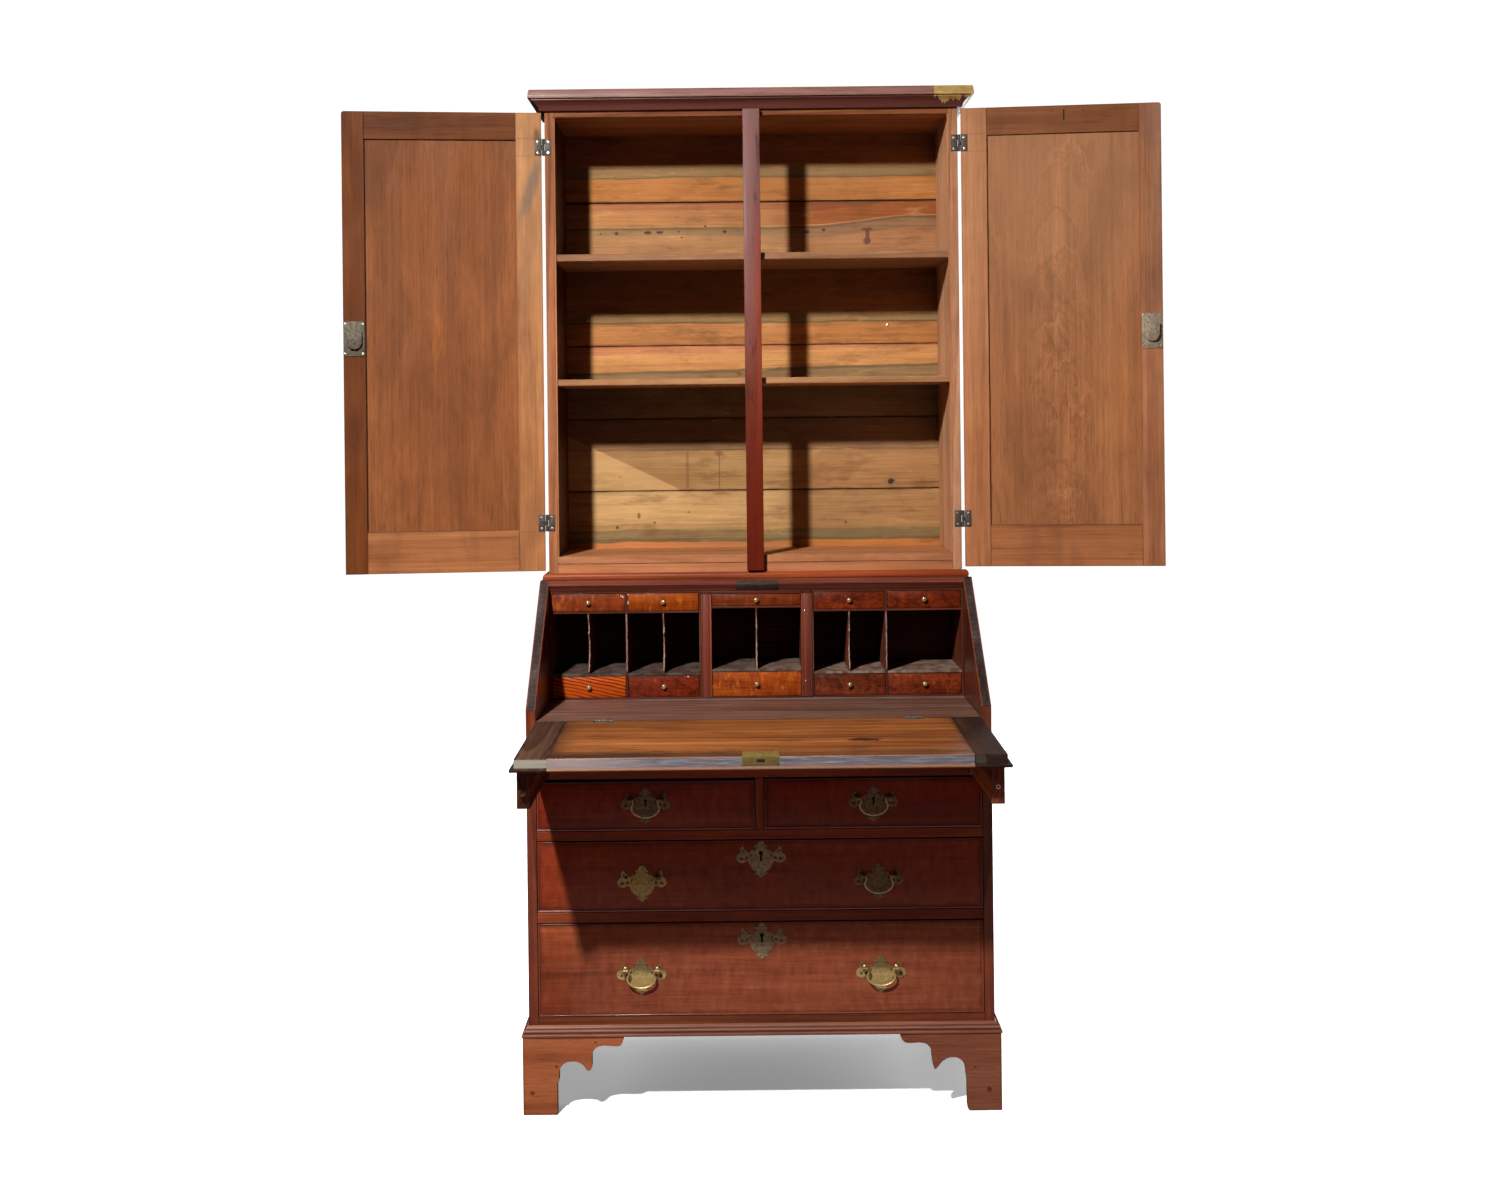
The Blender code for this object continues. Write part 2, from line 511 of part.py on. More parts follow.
left_cells, right_cells = [], []
for column in SIDE_HALF:
    for row in ("under", "over"):
        left_cells.append((flip(column), ROWS[row], 0))
        right_cells.append((column, ROWS[row], 0))
    for pigeon in halves(column):
        left_cells.append((flip(pigeon), ROWS["hole"], 0))
for pigeon in halves(SIDE_HALF[0]):
    right_cells.append((pigeon, ROWS["hole"], 0))
right_cells.append((SIDE_HALF[1], ROWS["hole"], 0))         # double-width pigeonhole
mid_cells = [((-MID_X, MID_X), MID_ROWS["under"], 0), ((-MID_X, MID_X), MID_ROWS["over"], 0)]
mid_cells += [(pigeon, MID_ROWS["hole"], 0) for pigeon in halves((-MID_X, MID_X))]
gallery("gallery_left", -INNER + GAP, -0.1248, left_cells)
gallery("gallery_right", 0.1248, INNER - GAP, right_cells)
gallery("gallery_centre", -0.1245, 0.1245, mid_cells)


def small_drawer(name, column, row):
    a, b = column[0] + 0.0007, column[1] - 0.0007
    low, high = row[0] + 0.0006, row[1] - 0.0010
    y0, y1 = GAL_Y + 0.0015, GAL_Y + 0.195
    drawer = node(name, box_mesh((a, y0, low), (b, y1, high)), MAHOGANY)
    cut_box(drawer, (a + 0.0045, y0 + 0.008, low + 0.004), (b - 0.0045, y1 - 0.0045, high + 0.01))
    cut_box(drawer, (a - 0.01, y0 + 0.008, high - 0.004), (b + 0.01, y1 + 0.01, high + 0.01))   # sides lower than the front
    x, z = (a + b) / 2, (low + high) / 2
    join(drawer, rod_mesh((x, y0 - 0.0025, z), "y", 0.0022, 0.009, 8))
    join(drawer, rod_mesh((x, y0 - 0.0080, z), "y", 0.0055, 0.0045, 8, 0.0040))
    return origin_at(drawer, (x, y0, z))


COLUMNS = [("far_left", flip(SIDE_HALF[1]), ROWS), ("left", flip(SIDE_HALF[0]), ROWS), ("centre", (-MID_X, MID_X), MID_ROWS),
           ("right", SIDE_HALF[0], ROWS), ("far_right", SIDE_HALF[1], ROWS)]
for word, column, rows in COLUMNS:
    small_drawer(f"small_drawer_upper_{word}", column, rows["over"])
    small_drawer(f"small_drawer_lower_{word}", column, rows["under"])

# ---------------------------------------------------------------- large drawers and their handles
POST_X = 0.033          # post to handle centre
POST_Y = -0.0105        # bail pivot, in front of the desk front
PLATE = [(0.0, -0.041), (0.014, -0.030), (0.030, -0.022), (0.046, -0.014), (0.052, -0.002), (0.046, 0.014), (0.034, 0.016),
         (0.022, 0.022), (0.012, 0.032), (0.0, 0.037)]
SHIELD = [(0.0, -0.026), (0.010, -0.016), (0.020, -0.006), (0.020, 0.008), (0.010, 0.020), (0.0, 0.026)]
FRONT_Y = 0.0010


def mirrored(points):
    return points + [(-a, b) for a, b in reversed(points[1:-1])]


def handle_on(drawer, x, z, post_z, both_posts=True):
    join(drawer, outline_mesh([(x + a, z + b) for a, b in mirrored(PLATE)], 0.0030, PLANE_XZ, (0, FRONT_Y, 0)))
    for dx in (-POST_X, POST_X):
        if both_posts or dx > 0:
            join(drawer, rod_mesh((x + dx, -0.0065, post_z), "y", 0.0046, 0.019, 10))
            cut(drawer, rod_mesh((x + dx, POST_Y, post_z), "x", 0.0027, 0.012, 8))


def large_drawer(name, x0, x1, z0, z1, handles, shields):
    drawer = node(name, box_mesh((x0, FRONT_Y, z0), (x1, FRONT_Y + DRAWER_FRONT, z1)), MAHOGANY)
    join_box(drawer, (x0 + 0.001, FRONT_Y + 0.005, z0), (x1 - 0.001, DRAWER_DEPTH, z1 - 0.012))
    cut_box(drawer, (x0 + 0.011, FRONT_Y + DRAWER_FRONT, z0 + 0.011), (x1 - 0.011, DRAWER_DEPTH - 0.010, z1 + 0.05))
    for x, z, post_z, both in handles:
        handle_on(drawer, x, z, post_z, both)
    for x, z in shields:
        join(drawer, outline_mesh([(x + a, z + b) for a, b in mirrored(SHIELD)], 0.0030, PLANE_XZ, (0, FRONT_Y, 0)))
    return origin_at(drawer, ((x0 + x1) / 2, FRONT_Y, (z0 + z1) / 2))


side_x = INNER - 0.001
HANDLES = {
    "short_left": (-0.2360, 0.6360, 0.6470), "short_right": (0.2360, 0.6360, 0.6470),
    "middle_left": (-0.2450, 0.4750, 0.4860), "middle_right": (0.2450, 0.4750, 0.4860),
    "bottom_left": (-0.2480, 0.2830, 0.2940), "bottom_right": (0.2480, 0.2830, 0.2940),
}
large_drawer("drawer_short_left", -side_x, -0.010, OPEN_TOP[0] + 0.0012, 0.6850, [(*HANDLES["short_left"], True)], [])
large_drawer("drawer_short_right", 0.010, side_x, OPEN_TOP[0] + 0.0012, 0.6875, [(*HANDLES["short_right"], True)], [])
large_drawer("drawer_middle", -side_x, side_x, OPEN_MID[0] + 0.0012, OPEN_MID[1] - 0.0018,
             [(*HANDLES["middle_left"], False), (*HANDLES["middle_right"], True)], [(0.002, 0.5235)])
large_drawer("drawer_bottom", -side_x, side_x, OPEN_LOW[0] + 0.0012, OPEN_LOW[1] - 0.0018,
             [(*HANDLES["bottom_left"], True), (*HANDLES["bottom_right"], True)], [(0.002, 0.3540)])

BAIL = [(0.0376, 0), (0.0262, 0), (0.0255, -0.0015), (0.0255, -0.0060), (0.0275, -0.0105), (0.0288, -0.0150),
        (0.0275, -0.0215), (0.0235, -0.0280), (0.0150, -0.0330), (0.0, -0.0350)]    # hangs between the posts
for word, (x, _, post_z) in HANDLES.items():
    if word == "middle_left":
        continue                                            # this bail is lost
    path = [(x - a, POST_Y, post_z + b) for a, b in BAIL] + [(x + a, POST_Y, post_z + b) for a, b in reversed(BAIL[:-1])]
    bail = node(f"bail_{word}", wire_mesh(path, 0.0020), BRASS)
    origin_at(bail, (x, POST_Y, post_z))

bpy.context.view_layer.update()
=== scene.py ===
import math
import random

import bmesh
import bpy
from mathutils import Matrix, Vector, noise as mnoise


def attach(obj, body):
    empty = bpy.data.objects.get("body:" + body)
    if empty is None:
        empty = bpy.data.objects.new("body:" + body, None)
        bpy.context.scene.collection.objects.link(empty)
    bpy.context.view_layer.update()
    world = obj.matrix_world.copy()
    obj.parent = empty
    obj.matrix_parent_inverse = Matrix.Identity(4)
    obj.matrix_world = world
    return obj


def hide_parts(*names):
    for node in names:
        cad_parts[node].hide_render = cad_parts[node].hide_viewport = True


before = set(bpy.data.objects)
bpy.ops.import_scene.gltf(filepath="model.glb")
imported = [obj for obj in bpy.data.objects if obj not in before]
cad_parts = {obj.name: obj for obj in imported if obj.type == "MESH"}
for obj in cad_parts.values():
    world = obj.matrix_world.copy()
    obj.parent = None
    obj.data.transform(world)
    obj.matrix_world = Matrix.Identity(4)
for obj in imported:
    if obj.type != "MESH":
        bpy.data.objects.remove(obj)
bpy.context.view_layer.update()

scene = bpy.context.scene


# =================================================================== colour and nodes
def lin(r, g, b):
    """An 8-bit display colour as linear light."""
    out = []
    for c in (r, g, b):
        c = c / 255
        out.append(c / 12.92 if c <= 0.04045 else ((c + 0.055) / 1.055) ** 2.4)
    return tuple(out)


class Graph:
    """Short hands for building a material's nodes."""

    def __init__(self, name):
        self.mat = bpy.data.materials.new(name)
        self.mat.use_nodes = True
        self.tree = self.mat.node_tree
        self.shader = self.tree.nodes["Principled BSDF"]

    def add(self, kind, **settings):
        item = self.tree.nodes.new(kind)
        for key, value in settings.items():
            setattr(item, key, value)
        return item

    def put(self, socket, value):
        if isinstance(value, bpy.types.NodeSocket):
            self.tree.links.new(value, socket)
        elif isinstance(value, (tuple, list)) and socket.type == "RGBA" and len(value) == 3:
            socket.default_value = (*value, 1)
        else:
            socket.default_value = value

    def math(self, op, a, b=0.0, c=0.0, clamp=False):
        item = self.add("ShaderNodeMath", operation=op, use_clamp=clamp)
        for slot, value in zip(item.inputs, (a, b, c)):
            self.put(slot, value)
        return item.outputs[0]

    def vec(self, op, a, b=(0, 0, 0), out=0):
        item = self.add("ShaderNodeVectorMath", operation=op)
        self.put(item.inputs[0], a)
        if op == "SCALE":
            self.put(item.inputs["Scale"], b)
        else:
            self.put(item.inputs[1], b)
        return item.outputs[out]

    def xyz(self, v):
        item = self.add("ShaderNodeSeparateXYZ")
        self.put(item.inputs[0], v)
        return item.outputs

    def join(self, x, y, z):
        item = self.add("ShaderNodeCombineXYZ")
        for slot, value in zip(item.inputs, (x, y, z)):
            self.put(slot, value)
        return item.outputs[0]

    def attr(self, name, out="Vector"):
        return self.add("ShaderNodeAttribute", attribute_name=name).outputs[out]

    def noise(self, v, scale=1.0, detail=2.0, rough=0.5, warp=0.0, out="Fac"):
        item = self.add("ShaderNodeTexNoise")
        self.put(item.inputs["Vector"], v)
        item.inputs["Scale"].default_value = scale
        item.inputs["Detail"].default_value = detail
        item.inputs["Roughness"].default_value = rough
        item.inputs["Distortion"].default_value = warp
        return item.outputs[out]

    def voronoi(self, v, scale=1.0, feature="F1", out="Distance", random_=1.0):
        item = self.add("ShaderNodeTexVoronoi", feature=feature)
        self.put(item.inputs["Vector"], v)
        item.inputs["Scale"].default_value = scale
        item.inputs["Randomness"].default_value = random_
        return item.outputs[out]

    def ramp(self, fac, stops, mode="LINEAR"):
        item = self.add("ShaderNodeValToRGB")
        item.color_ramp.interpolation = mode
        marks = item.color_ramp.elements
        while len(marks) < len(stops):
            marks.new(0.5)
        for mark, (pos, colour) in zip(marks, stops):
            mark.position = pos
            mark.color = (*colour, 1) if not isinstance(colour, (int, float)) else (colour, colour, colour, 1)
        self.put(item.inputs[0], fac)
        return item.outputs[0]

    def mix(self, fac, a, b, blend="MIX"):
        item = self.add("ShaderNodeMix", data_type="RGBA", blend_type=blend)
        item.clamp_factor = True
        self.put(item.inputs[0], fac)
        self.put(item.inputs[6], a)
        self.put(item.inputs[7], b)
        return item.outputs[2]

    def span(self, v, a, b, c=0.0, d=1.0, smooth=True):
        item = self.add("ShaderNodeMapRange", interpolation_type="SMOOTHSTEP" if smooth else "LINEAR")
        item.clamp = True
        for slot, value in zip(item.inputs, (v, a, b, c, d)):
            self.put(slot, value)
        return item.outputs[0]

    def bump(self, height, strength=0.3, distance=0.0004, normal=None):
        item = self.add("ShaderNodeBump")
        item.inputs["Strength"].default_value = strength
        item.inputs["Distance"].default_value = distance
        self.put(item.inputs["Height"], height)
        if normal is not None:
            self.put(item.inputs["Normal"], normal)
        return item.outputs[0]

    def finish(self, colour, roughness, normal=None, metallic=0.0, coat=0.0, coat_rough=0.2, specular=0.5, ior=1.45):
        s = self.shader.inputs
        self.put(s["Base Color"], colour)
        self.put(s["Roughness"], roughness)
        if normal is not None:
            self.put(s["Normal"], normal)
        s["Metallic"].default_value = metallic
        s["Coat Weight"].default_value = coat
        s["Coat Roughness"].default_value = coat_rough
        s["Specular IOR Level"].default_value = specular
        s["IOR"].default_value = ior
        return self.mat


def wood(name, stops, wave=0.010, wide=(26, 1.0), fine=(150, 4.0), rings=0.30, ring_gap=0.010, slope=0.02,
         mottle=0.0, mottle_size=(30, 60), pores=0.35, grime=lin(35, 20, 14), grime_width=0.006, grime_amount=0.5,
         roughness=(0.40, 0.60), coat=0.0, coat_rough=0.25, bump=0.25, blotch=0.15, extra=None, specular=0.5):
    """Solid wood. Every board carries its own coordinates: x across, y in depth, z along the grain (metres).

    stops: colour over the grain value 0 (dark) to 1 (light).
    """
    g = Graph(name)
    local, seed, half, tint, heart = (g.attr(n) for n in ("local", "seed", "half", "tint", "heart"))
    p = g.vec("ADD", local, seed)
    bend = g.noise(g.vec("MULTIPLY", p, (5, 5, 1.3)), 1.0, 2.0, 0.5, out="Color")
    bend = g.vec("SCALE", g.vec("SUBTRACT", bend, (0.5, 0.5, 0.5)), wave * 2)
    bend = g.vec("MULTIPLY", bend, (1, 1, 0))
    q = g.vec("ADD", p, bend)
    broad = g.noise(g.vec("MULTIPLY", q, (wide[0], wide[0], wide[1])), 1.0, 3.0, 0.55)
    thin = g.noise(g.vec("MULTIPLY", q, (fine[0], fine[0], fine[1])), 1.0, 3.0, 0.6)
    # growth rings round the heart of the tree
    hx, hy, hz = g.xyz(g.vec("ADD", heart, bend))
    lean = g.math("MULTIPLY", hz, slope)
    radius = g.math("SQRT", g.math("ADD", g.math("POWER", g.math("ADD", hx, lean), 2.0), g.math("POWER", hy, 2.0)))
    swell = g.math("MULTIPLY", g.noise(g.vec("MULTIPLY", q, (9, 9, 0.8)), 1.0, 1.0, 0.5), ring_gap * 1.5)
    turn = g.math("FRACT", g.math("DIVIDE", g.math("ADD", radius, swell), ring_gap))
    ring = g.ramp(turn, [(0.0, 0.85), (0.55, 0.6), (0.88, 0.12), (1.0, 0.8)], "EASE")
    value = g.math("ADD", g.math("MULTIPLY", broad, 0.62 * (1 - rings)), g.math("MULTIPLY", thin, 0.38 * (1 - rings)))
    value = g.math("ADD", value, g.math("MULTIPLY", ring, rings))
    if mottle:
        cross = g.noise(g.vec("MULTIPLY", p, (mottle_size[0], mottle_size[0], mottle_size[1])), 1.0, 2.0, 0.5, 0.4)
        value = g.math("ADD", value, g.math("MULTIPLY", g.math("SUBTRACT", cross, 0.5), mottle))
    value = g.span(value, 0.30, 0.72, smooth=False)
    colour = g.ramp(value, stops)
    patch = g.noise(g.vec("MULTIPLY", p, (4, 4, 2.2)), 1.0, 2.0, 0.5)
    shade = g.span(patch, 0.3, 0.7, 1 - blotch, 1 + blotch, smooth=False)
    colour = g.vec("SCALE", colour, shade)
    speck = g.noise(g.vec("MULTIPLY", q, (650, 650, 16)), 1.0, 1.0, 0.5)
    pore = g.span(speck, 0.60, 0.72)
    colour = g.mix(g.math("MULTIPLY", pore, pores), colour, g.vec("SCALE", colour, 0.45))
    # dirt along the board's edges
    lx, _, lz = g.xyz(g.vec("ABSOLUTE", local))
    ex, _, ez = g.xyz(half)
    edge = g.math("MINIMUM", g.math("SUBTRACT", ex, lx), g.math("SUBTRACT", ez, lz))
    rag = g.noise(g.vec("MULTIPLY", p, (60, 60, 22)), 1.0, 3.0, 0.6)
    edge = g.math("ADD", edge, g.math("MULTIPLY", g.math("SUBTRACT", rag, 0.5), grime_width * 1.6))
    dirt = g.math("MULTIPLY", g.span(edge, grime_width, -0.001), grime_amount)
    colour = g.mix(dirt, colour, grime)
    if extra is not None:
        colour = extra(g, colour, p, local)
    colour = g.vec("MULTIPLY", colour, tint)
    rub = g.noise(g.vec("MULTIPLY", p, (18, 18, 7)), 1.0, 3.0, 0.6)
    rough = g.span(rub, 0.3, 0.7, roughness[0], roughness[1], smooth=False)
    rough = g.math("ADD", rough, g.math("MULTIPLY", pore, 0.12))
    height = g.math("SUBTRACT", g.math("MULTIPLY", thin, 0.5), g.math("MULTIPLY", pore, 0.6))
    normal = g.bump(height, bump, 0.0004)
    return g.finish(colour, rough, normal, coat=coat, coat_rough=coat_rough, specular=specular)


def metal(name, colour, dark, roughness=(0.35, 0.6), amount=0.5, size=120, metallic=1.0, bump=0.2, spots=None, extra=None):
    """Worn metal: tarnish in patches, brighter where it is handled."""
    g = Graph(name)
    p = g.add("ShaderNodeTexCoord").outputs["Object"]
    cloud = g.noise(p, size, 4.0, 0.6)
    small = g.noise(p, size * 7, 3.0, 0.6)
    t = g.math("ADD", g.math("MULTIPLY", cloud, 0.7), g.math("MULTIPLY", small, 0.3))
    mask = g.span(t, 0.5 - 0.25 * amount - 0.08, 0.5 + 0.12)
    col = g.mix(mask, dark, colour)
    if spots is not None:
        dots = g.span(g.noise(p, size * 3.1, 2.0, 0.5), 0.60, 0.66)
        col = g.mix(g.math("MULTIPLY", dots, 0.8), col, spots)
    if extra is not None:
        col = extra(g, col, p)
    rough = g.span(t, 0.3, 0.7, roughness[1], roughness[0], smooth=False)
    return g.finish(col, rough, g.bump(t, bump, 0.0003), metallic=metallic)


# =================================================================== meshes
class Piece:
    """Collects boards, mouldings and fittings into one mesh object that stands for a CAD node."""

    FIELDS = ("local", "seed", "half", "tint", "heart")

    def __init__(self, name):
        self.name = name
        self.verts, self.faces, self.slots, self.smooth = [], [], [], []
        self.data = {f: [] for f in self.FIELDS}
        self.mats = []
        self.rand = random.Random(name)

    def take(self, bm, mat, coords, smooth=False):
        """Adds a bmesh; coords(co) gives the five vectors of a point."""
        if mat not in self.mats:
            self.mats.append(mat)
        slot = self.mats.index(mat)
        base = len(self.verts)
        bm.verts.index_update()
        for v in bm.verts:
            self.verts.append(tuple(v.co))
            for field, value in zip(self.FIELDS, coords(v.co)):
                self.data[field].append(value)
        for f in bm.faces:
            self.faces.append([base + v.index for v in f.verts])
            self.slots.append(slot)
            self.smooth.append(smooth)
        bm.free()

    def done(self, body, slot, *nodes):
        mesh = bpy.data.meshes.new(self.name)
        mesh.from_pydata(self.verts, [], self.faces)
        for m in self.mats:
            mesh.materials.append(m)
        mesh.polygons.foreach_set("material_index", self.slots)
        mesh.polygons.foreach_set("use_smooth", self.smooth)
        for field, values in self.data.items():
            layer = mesh.attributes.new(field, "FLOAT_VECTOR", "POINT")
            layer.data.foreach_set("vector", [c for v in values for c in v])
        mesh.update()
        if any(self.smooth):
            mesh.set_sharp_from_angle(angle=math.radians(42))
        mesh.validate()
        obj = bpy.data.objects.new(self.name, mesh)
        scene.collection.objects.link(obj)
        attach(obj, body)
        if nodes:
            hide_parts(*nodes)
        return obj

    # ---- coordinates for a board between two corners
    def board_coords(self, lo, hi, along, tint=(1, 1, 1), heart=None, across=None):
        centre = (Vector(lo) + Vector(hi)) / 2
        size = Vector(hi) - Vector(lo)
        k = "xyz".index(along)
        rest = [i for i in range(3) if i != k]
        if across is None:
            wide = max(rest, key=lambda i: size[i])
        else:
            wide = "xyz".index(across)
        deep = [i for i in rest if i != wide][0]
        r = self.rand
        seed = (r.uniform(1, 40), r.uniform(1, 40), r.uniform(1, 40))
        half = (size[wide] / 2, size[deep] / 2, size[k] / 2)
        if heart is None:
            heart = (r.uniform(-0.35, 0.35) * size[wide], r.uniform(0.05, 0.14) * r.choice((-1, 1)))

        def coords(co):
            d = co - centre
            local = (d[wide], d[deep], d[k])
            return local, seed, half, tint, (d[wide] + heart[0], d[deep] + heart[1], d[k])
        return coords

    def board(self, lo, hi, along, mat, tint=(1, 1, 1), bevel=0.0008, heart=None, across=None, segments=2, edges=None):
        bm = bmesh.new()
        bmesh.ops.create_cube(bm, size=1.0)
        size = Vector(hi) - Vector(lo)
        bmesh.ops.scale(bm, vec=size, verts=bm.verts)
        bmesh.ops.translate(bm, vec=(Vector(lo) + Vector(hi)) / 2, verts=bm.verts)
        if bevel:
            geom = [e for e in bm.edges if edges is None or edges(e)]
            bmesh.ops.bevel(bm, geom=geom, offset=min(bevel, 0.45 * min(size)), segments=segments, affect="EDGES", profile=0.5)
        self.take(bm, mat, self.board_coords(lo, hi, along, tint, heart, across))

    def prism(self, points, axis, a, b, mat, along, tint=(1, 1, 1), bevel=0.0008, heart=None, across=None, smooth=False,
              segments=2):
        """A flat outline in the two other axes, pushed along axis from a to b."""
        k = "xyz".index(axis)
        u, v = [i for i in range(3) if i != k]
        bm = bmesh.new()
        rings = []
        for depth in (a, b):
            ring = []
            for pu, pv in points:
                co = [0.0, 0.0, 0.0]
                co[k], co[u], co[v] = depth, pu, pv
                ring.append(bm.verts.new(co))
            rings.append(ring)
        caps = [bm.faces.new(rings[0]), bm.faces.new(rings[1])]
        n = len(points)
        for i in range(n):
            j = (i + 1) % n
            bm.faces.new((rings[0][i], rings[0][j], rings[1][j], rings[1][i]))
        bmesh.ops.recalc_face_normals(bm, faces=bm.faces)
        if bevel:
            geom = list({e for f in caps for e in f.edges})
            bmesh.ops.bevel(bm, geom=geom, offset=bevel, segments=segments, affect="EDGES", profile=0.5)
        lo = [min(p[i] for p in self._box(points, k, u, v, a, b)) for i in range(3)]
        hi = [max(p[i] for p in self._box(points, k, u, v, a, b)) for i in range(3)]
        self.take(bm, mat, self.board_coords(lo, hi, along, tint, heart, across), smooth)

    @staticmethod
    def _box(points, k, u, v, a, b):
        out = []
        for pu, pv in points:
            for d in (a, b):
                co = [0.0, 0.0, 0.0]
                co[k], co[u], co[v] = d, pu, pv
                out.append(co)
        return out

    def sweep(self, profile, corners, base, mat, tint=(1, 1, 1), caps=True, smooth=True, steps=1, jitter=0.0):
        """A mitred moulding on three sides; profile of (projection, height), corners as for a U."""
        outward = ((-1, 0), (-1, -1), (1, -1), (1, 0))
        r = self.rand
        length = 0.0
        for i in range(3):
            (x0, y0), (x1, y1) = corners[i], corners[i + 1]
            o0, o1 = outward[i], outward[i + 1]
            run = math.hypot(x1 - x0, y1 - y0)
            seed = (r.uniform(1, 40), r.uniform(1, 40), r.uniform(1, 40))
            bm = bmesh.new()
            tags = {}
            n = max(1, steps if i == 1 else steps // 3 + 1)
            rings = []
            for s in range(n + 1):
                t = s / n
                ring = []
                for p, z in profile:
                    ax, ay = x0 + o0[0] * p, y0 + o0[1] * p
                    bx, by = x1 + o1[0] * p, y1 + o1[1] * p
                    ring.append(bm.verts.new((ax + (bx - ax) * t, ay + (by - ay) * t, base + z)))
                rings.append(ring)
            m = len(profile)
            for ra, rb in zip(rings, rings[1:]):
                for j in range(m):
                    k = (j + 1) % m
                    bm.faces.new((ra[j], ra[k], rb[k], rb[j]))
            bm.faces.new(rings[0])
            bm.faces.new(rings[-1])
            bmesh.ops.recalc_face_normals(bm, faces=bm.faces)
            mx, my = (x0 + x1) / 2, (y0 + y1) / 2
            ux, uy = (x1 - x0) / run, (y1 - y0) / run
            tall = max(z for _, z in profile)
            half = (tall / 2, 0.02, run / 2)

            def coords(co, mx=mx, my=my, ux=ux, uy=uy, seed=seed, half=half):
                dx, dy = co.x - mx, co.y - my
                along = dx * ux + dy * uy
                deep = -dx * uy + dy * ux
                local = (co.z - base - half[0], deep, along)
                return local, seed, (half[0] + 0.02, half[1], half[2] + 0.02), tint, (local[0] + 0.03, deep + 0.06, along)
            self.take(bm, mat, coords, smooth)
            length += run

    def lathe(self, profile, origin, axis, mat, sides=20, smooth=True):
        """profile: (radius, distance along axis) from one end to the other; closed at both ends."""
        turn = axis_matrix(origin, axis)
        bm = bmesh.new()
        rings = []
        for r, h in profile:
            if r < 1e-6:
                rings.append([bm.verts.new(turn @ Vector((0, 0, h)))])
            else:
                rings.append([bm.verts.new(turn @ Vector((r * math.cos(2 * math.pi * i / sides),
                                                          r * math.sin(2 * math.pi * i / sides), h))) for i in range(sides)])
        for ra, rb in zip(rings, rings[1:]):
            for i in range(sides):
                j = (i + 1) % sides
                if len(ra) == 1 and len(rb) > 1:
                    bm.faces.new((ra[0], rb[i], rb[j]))
                elif len(rb) == 1 and len(ra) > 1:
                    bm.faces.new((ra[i], ra[j], rb[0]))
                elif len(ra) > 1 and len(rb) > 1:
                    bm.faces.new((ra[i], ra[j], rb[j], rb[i]))
        for ring in (rings[0], rings[-1]):
            if len(ring) > 1:
                bm.faces.new(ring)
        bmesh.ops.recalc_face_normals(bm, faces=bm.faces)
        self.take(bm, mat, flat_coords, smooth)

    def tube(self, points, radii, mat, sides=12):
        """A bent rod; radii is one number or one per point."""
        if not isinstance(radii, (list, tuple)):
            radii = [radii] * len(points)
        pts = [Vector(p) for p in points]
        bm = bmesh.new()
        rings = []
        up = Vector((0, -1, 0))
        for i, p in enumerate(pts):
            d = (pts[min(i + 1, len(pts) - 1)] - pts[max(i - 1, 0)]).normalized()
            side = d.cross(up)
            if side.length < 1e-4:
                side = d.cross(Vector((1, 0, 0)))
            side.normalize()
            top = side.cross(d).normalized()
            rings.append([bm.verts.new(p + radii[i] * (math.cos(2 * math.pi * k / sides) * side + math.sin(2 * math.pi * k / sides) * top))
                          for k in range(sides)])
        for ra, rb in zip(rings, rings[1:]):
            for k in range(sides):
                j = (k + 1) % sides
                bm.faces.new((ra[k], ra[j], rb[j], rb[k]))
        bm.faces.new(rings[0])
        bm.faces.new(rings[-1])
        bmesh.ops.recalc_face_normals(bm, faces=bm.faces)
        self.take(bm, mat, flat_coords, True)

    def plate(self, outlines, thickness, mat, matrix, bevel=0.0003, tint=(1, 1, 1), smooth=True):
        """A flat sheet with holes: outlines[0] is the edge, the others are holes. It lies on the matrix's XY plane, +Z out."""
        curve = bpy.data.curves.new("sheet", "CURVE")
        curve.dimensions = "2D"
        curve.fill_mode = "BOTH"
        curve.extrude = thickness / 2 - bevel
        curve.bevel_depth = bevel
        curve.bevel_resolution = 1
        curve.offset = -bevel
        for points in outlines:
            spline = curve.splines.new("POLY")
            spline.points.add(len(points) - 1)
            for slot, (a, b) in zip(spline.points, points):
                slot.co = (a, b, 0, 1)
            spline.use_cyclic_u = True
        guide = bpy.data.objects.new("guide", curve)
        scene.collection.objects.link(guide)
        bpy.context.view_layer.update()
        mesh = bpy.data.meshes.new_from_object(guide.evaluated_get(bpy.context.evaluated_depsgraph_get()))
        bpy.data.objects.remove(guide, do_unlink=True)
        bpy.data.curves.remove(curve)
        bm = bmesh.new()
        bm.from_mesh(mesh)
        bpy.data.meshes.remove(mesh)
        bmesh.ops.remove_doubles(bm, verts=bm.verts, dist=0.00001)
        bmesh.ops.translate(bm, vec=(0, 0, thickness / 2), verts=bm.verts)
        bmesh.ops.transform(bm, matrix=matrix, verts=bm.verts)
        bmesh.ops.recalc_face_normals(bm, faces=bm.faces)
        self.take(bm, mat, lambda co: ((co.x, co.y, co.z), (3, 5, 7), (9, 9, 9), tint, (co.x, co.y, co.z)), smooth)


def flat_coords(co):
    return (co.x, co.y, co.z), (3, 5, 7), (9, 9, 9), (1, 1, 1), (co.x, co.y, co.z)


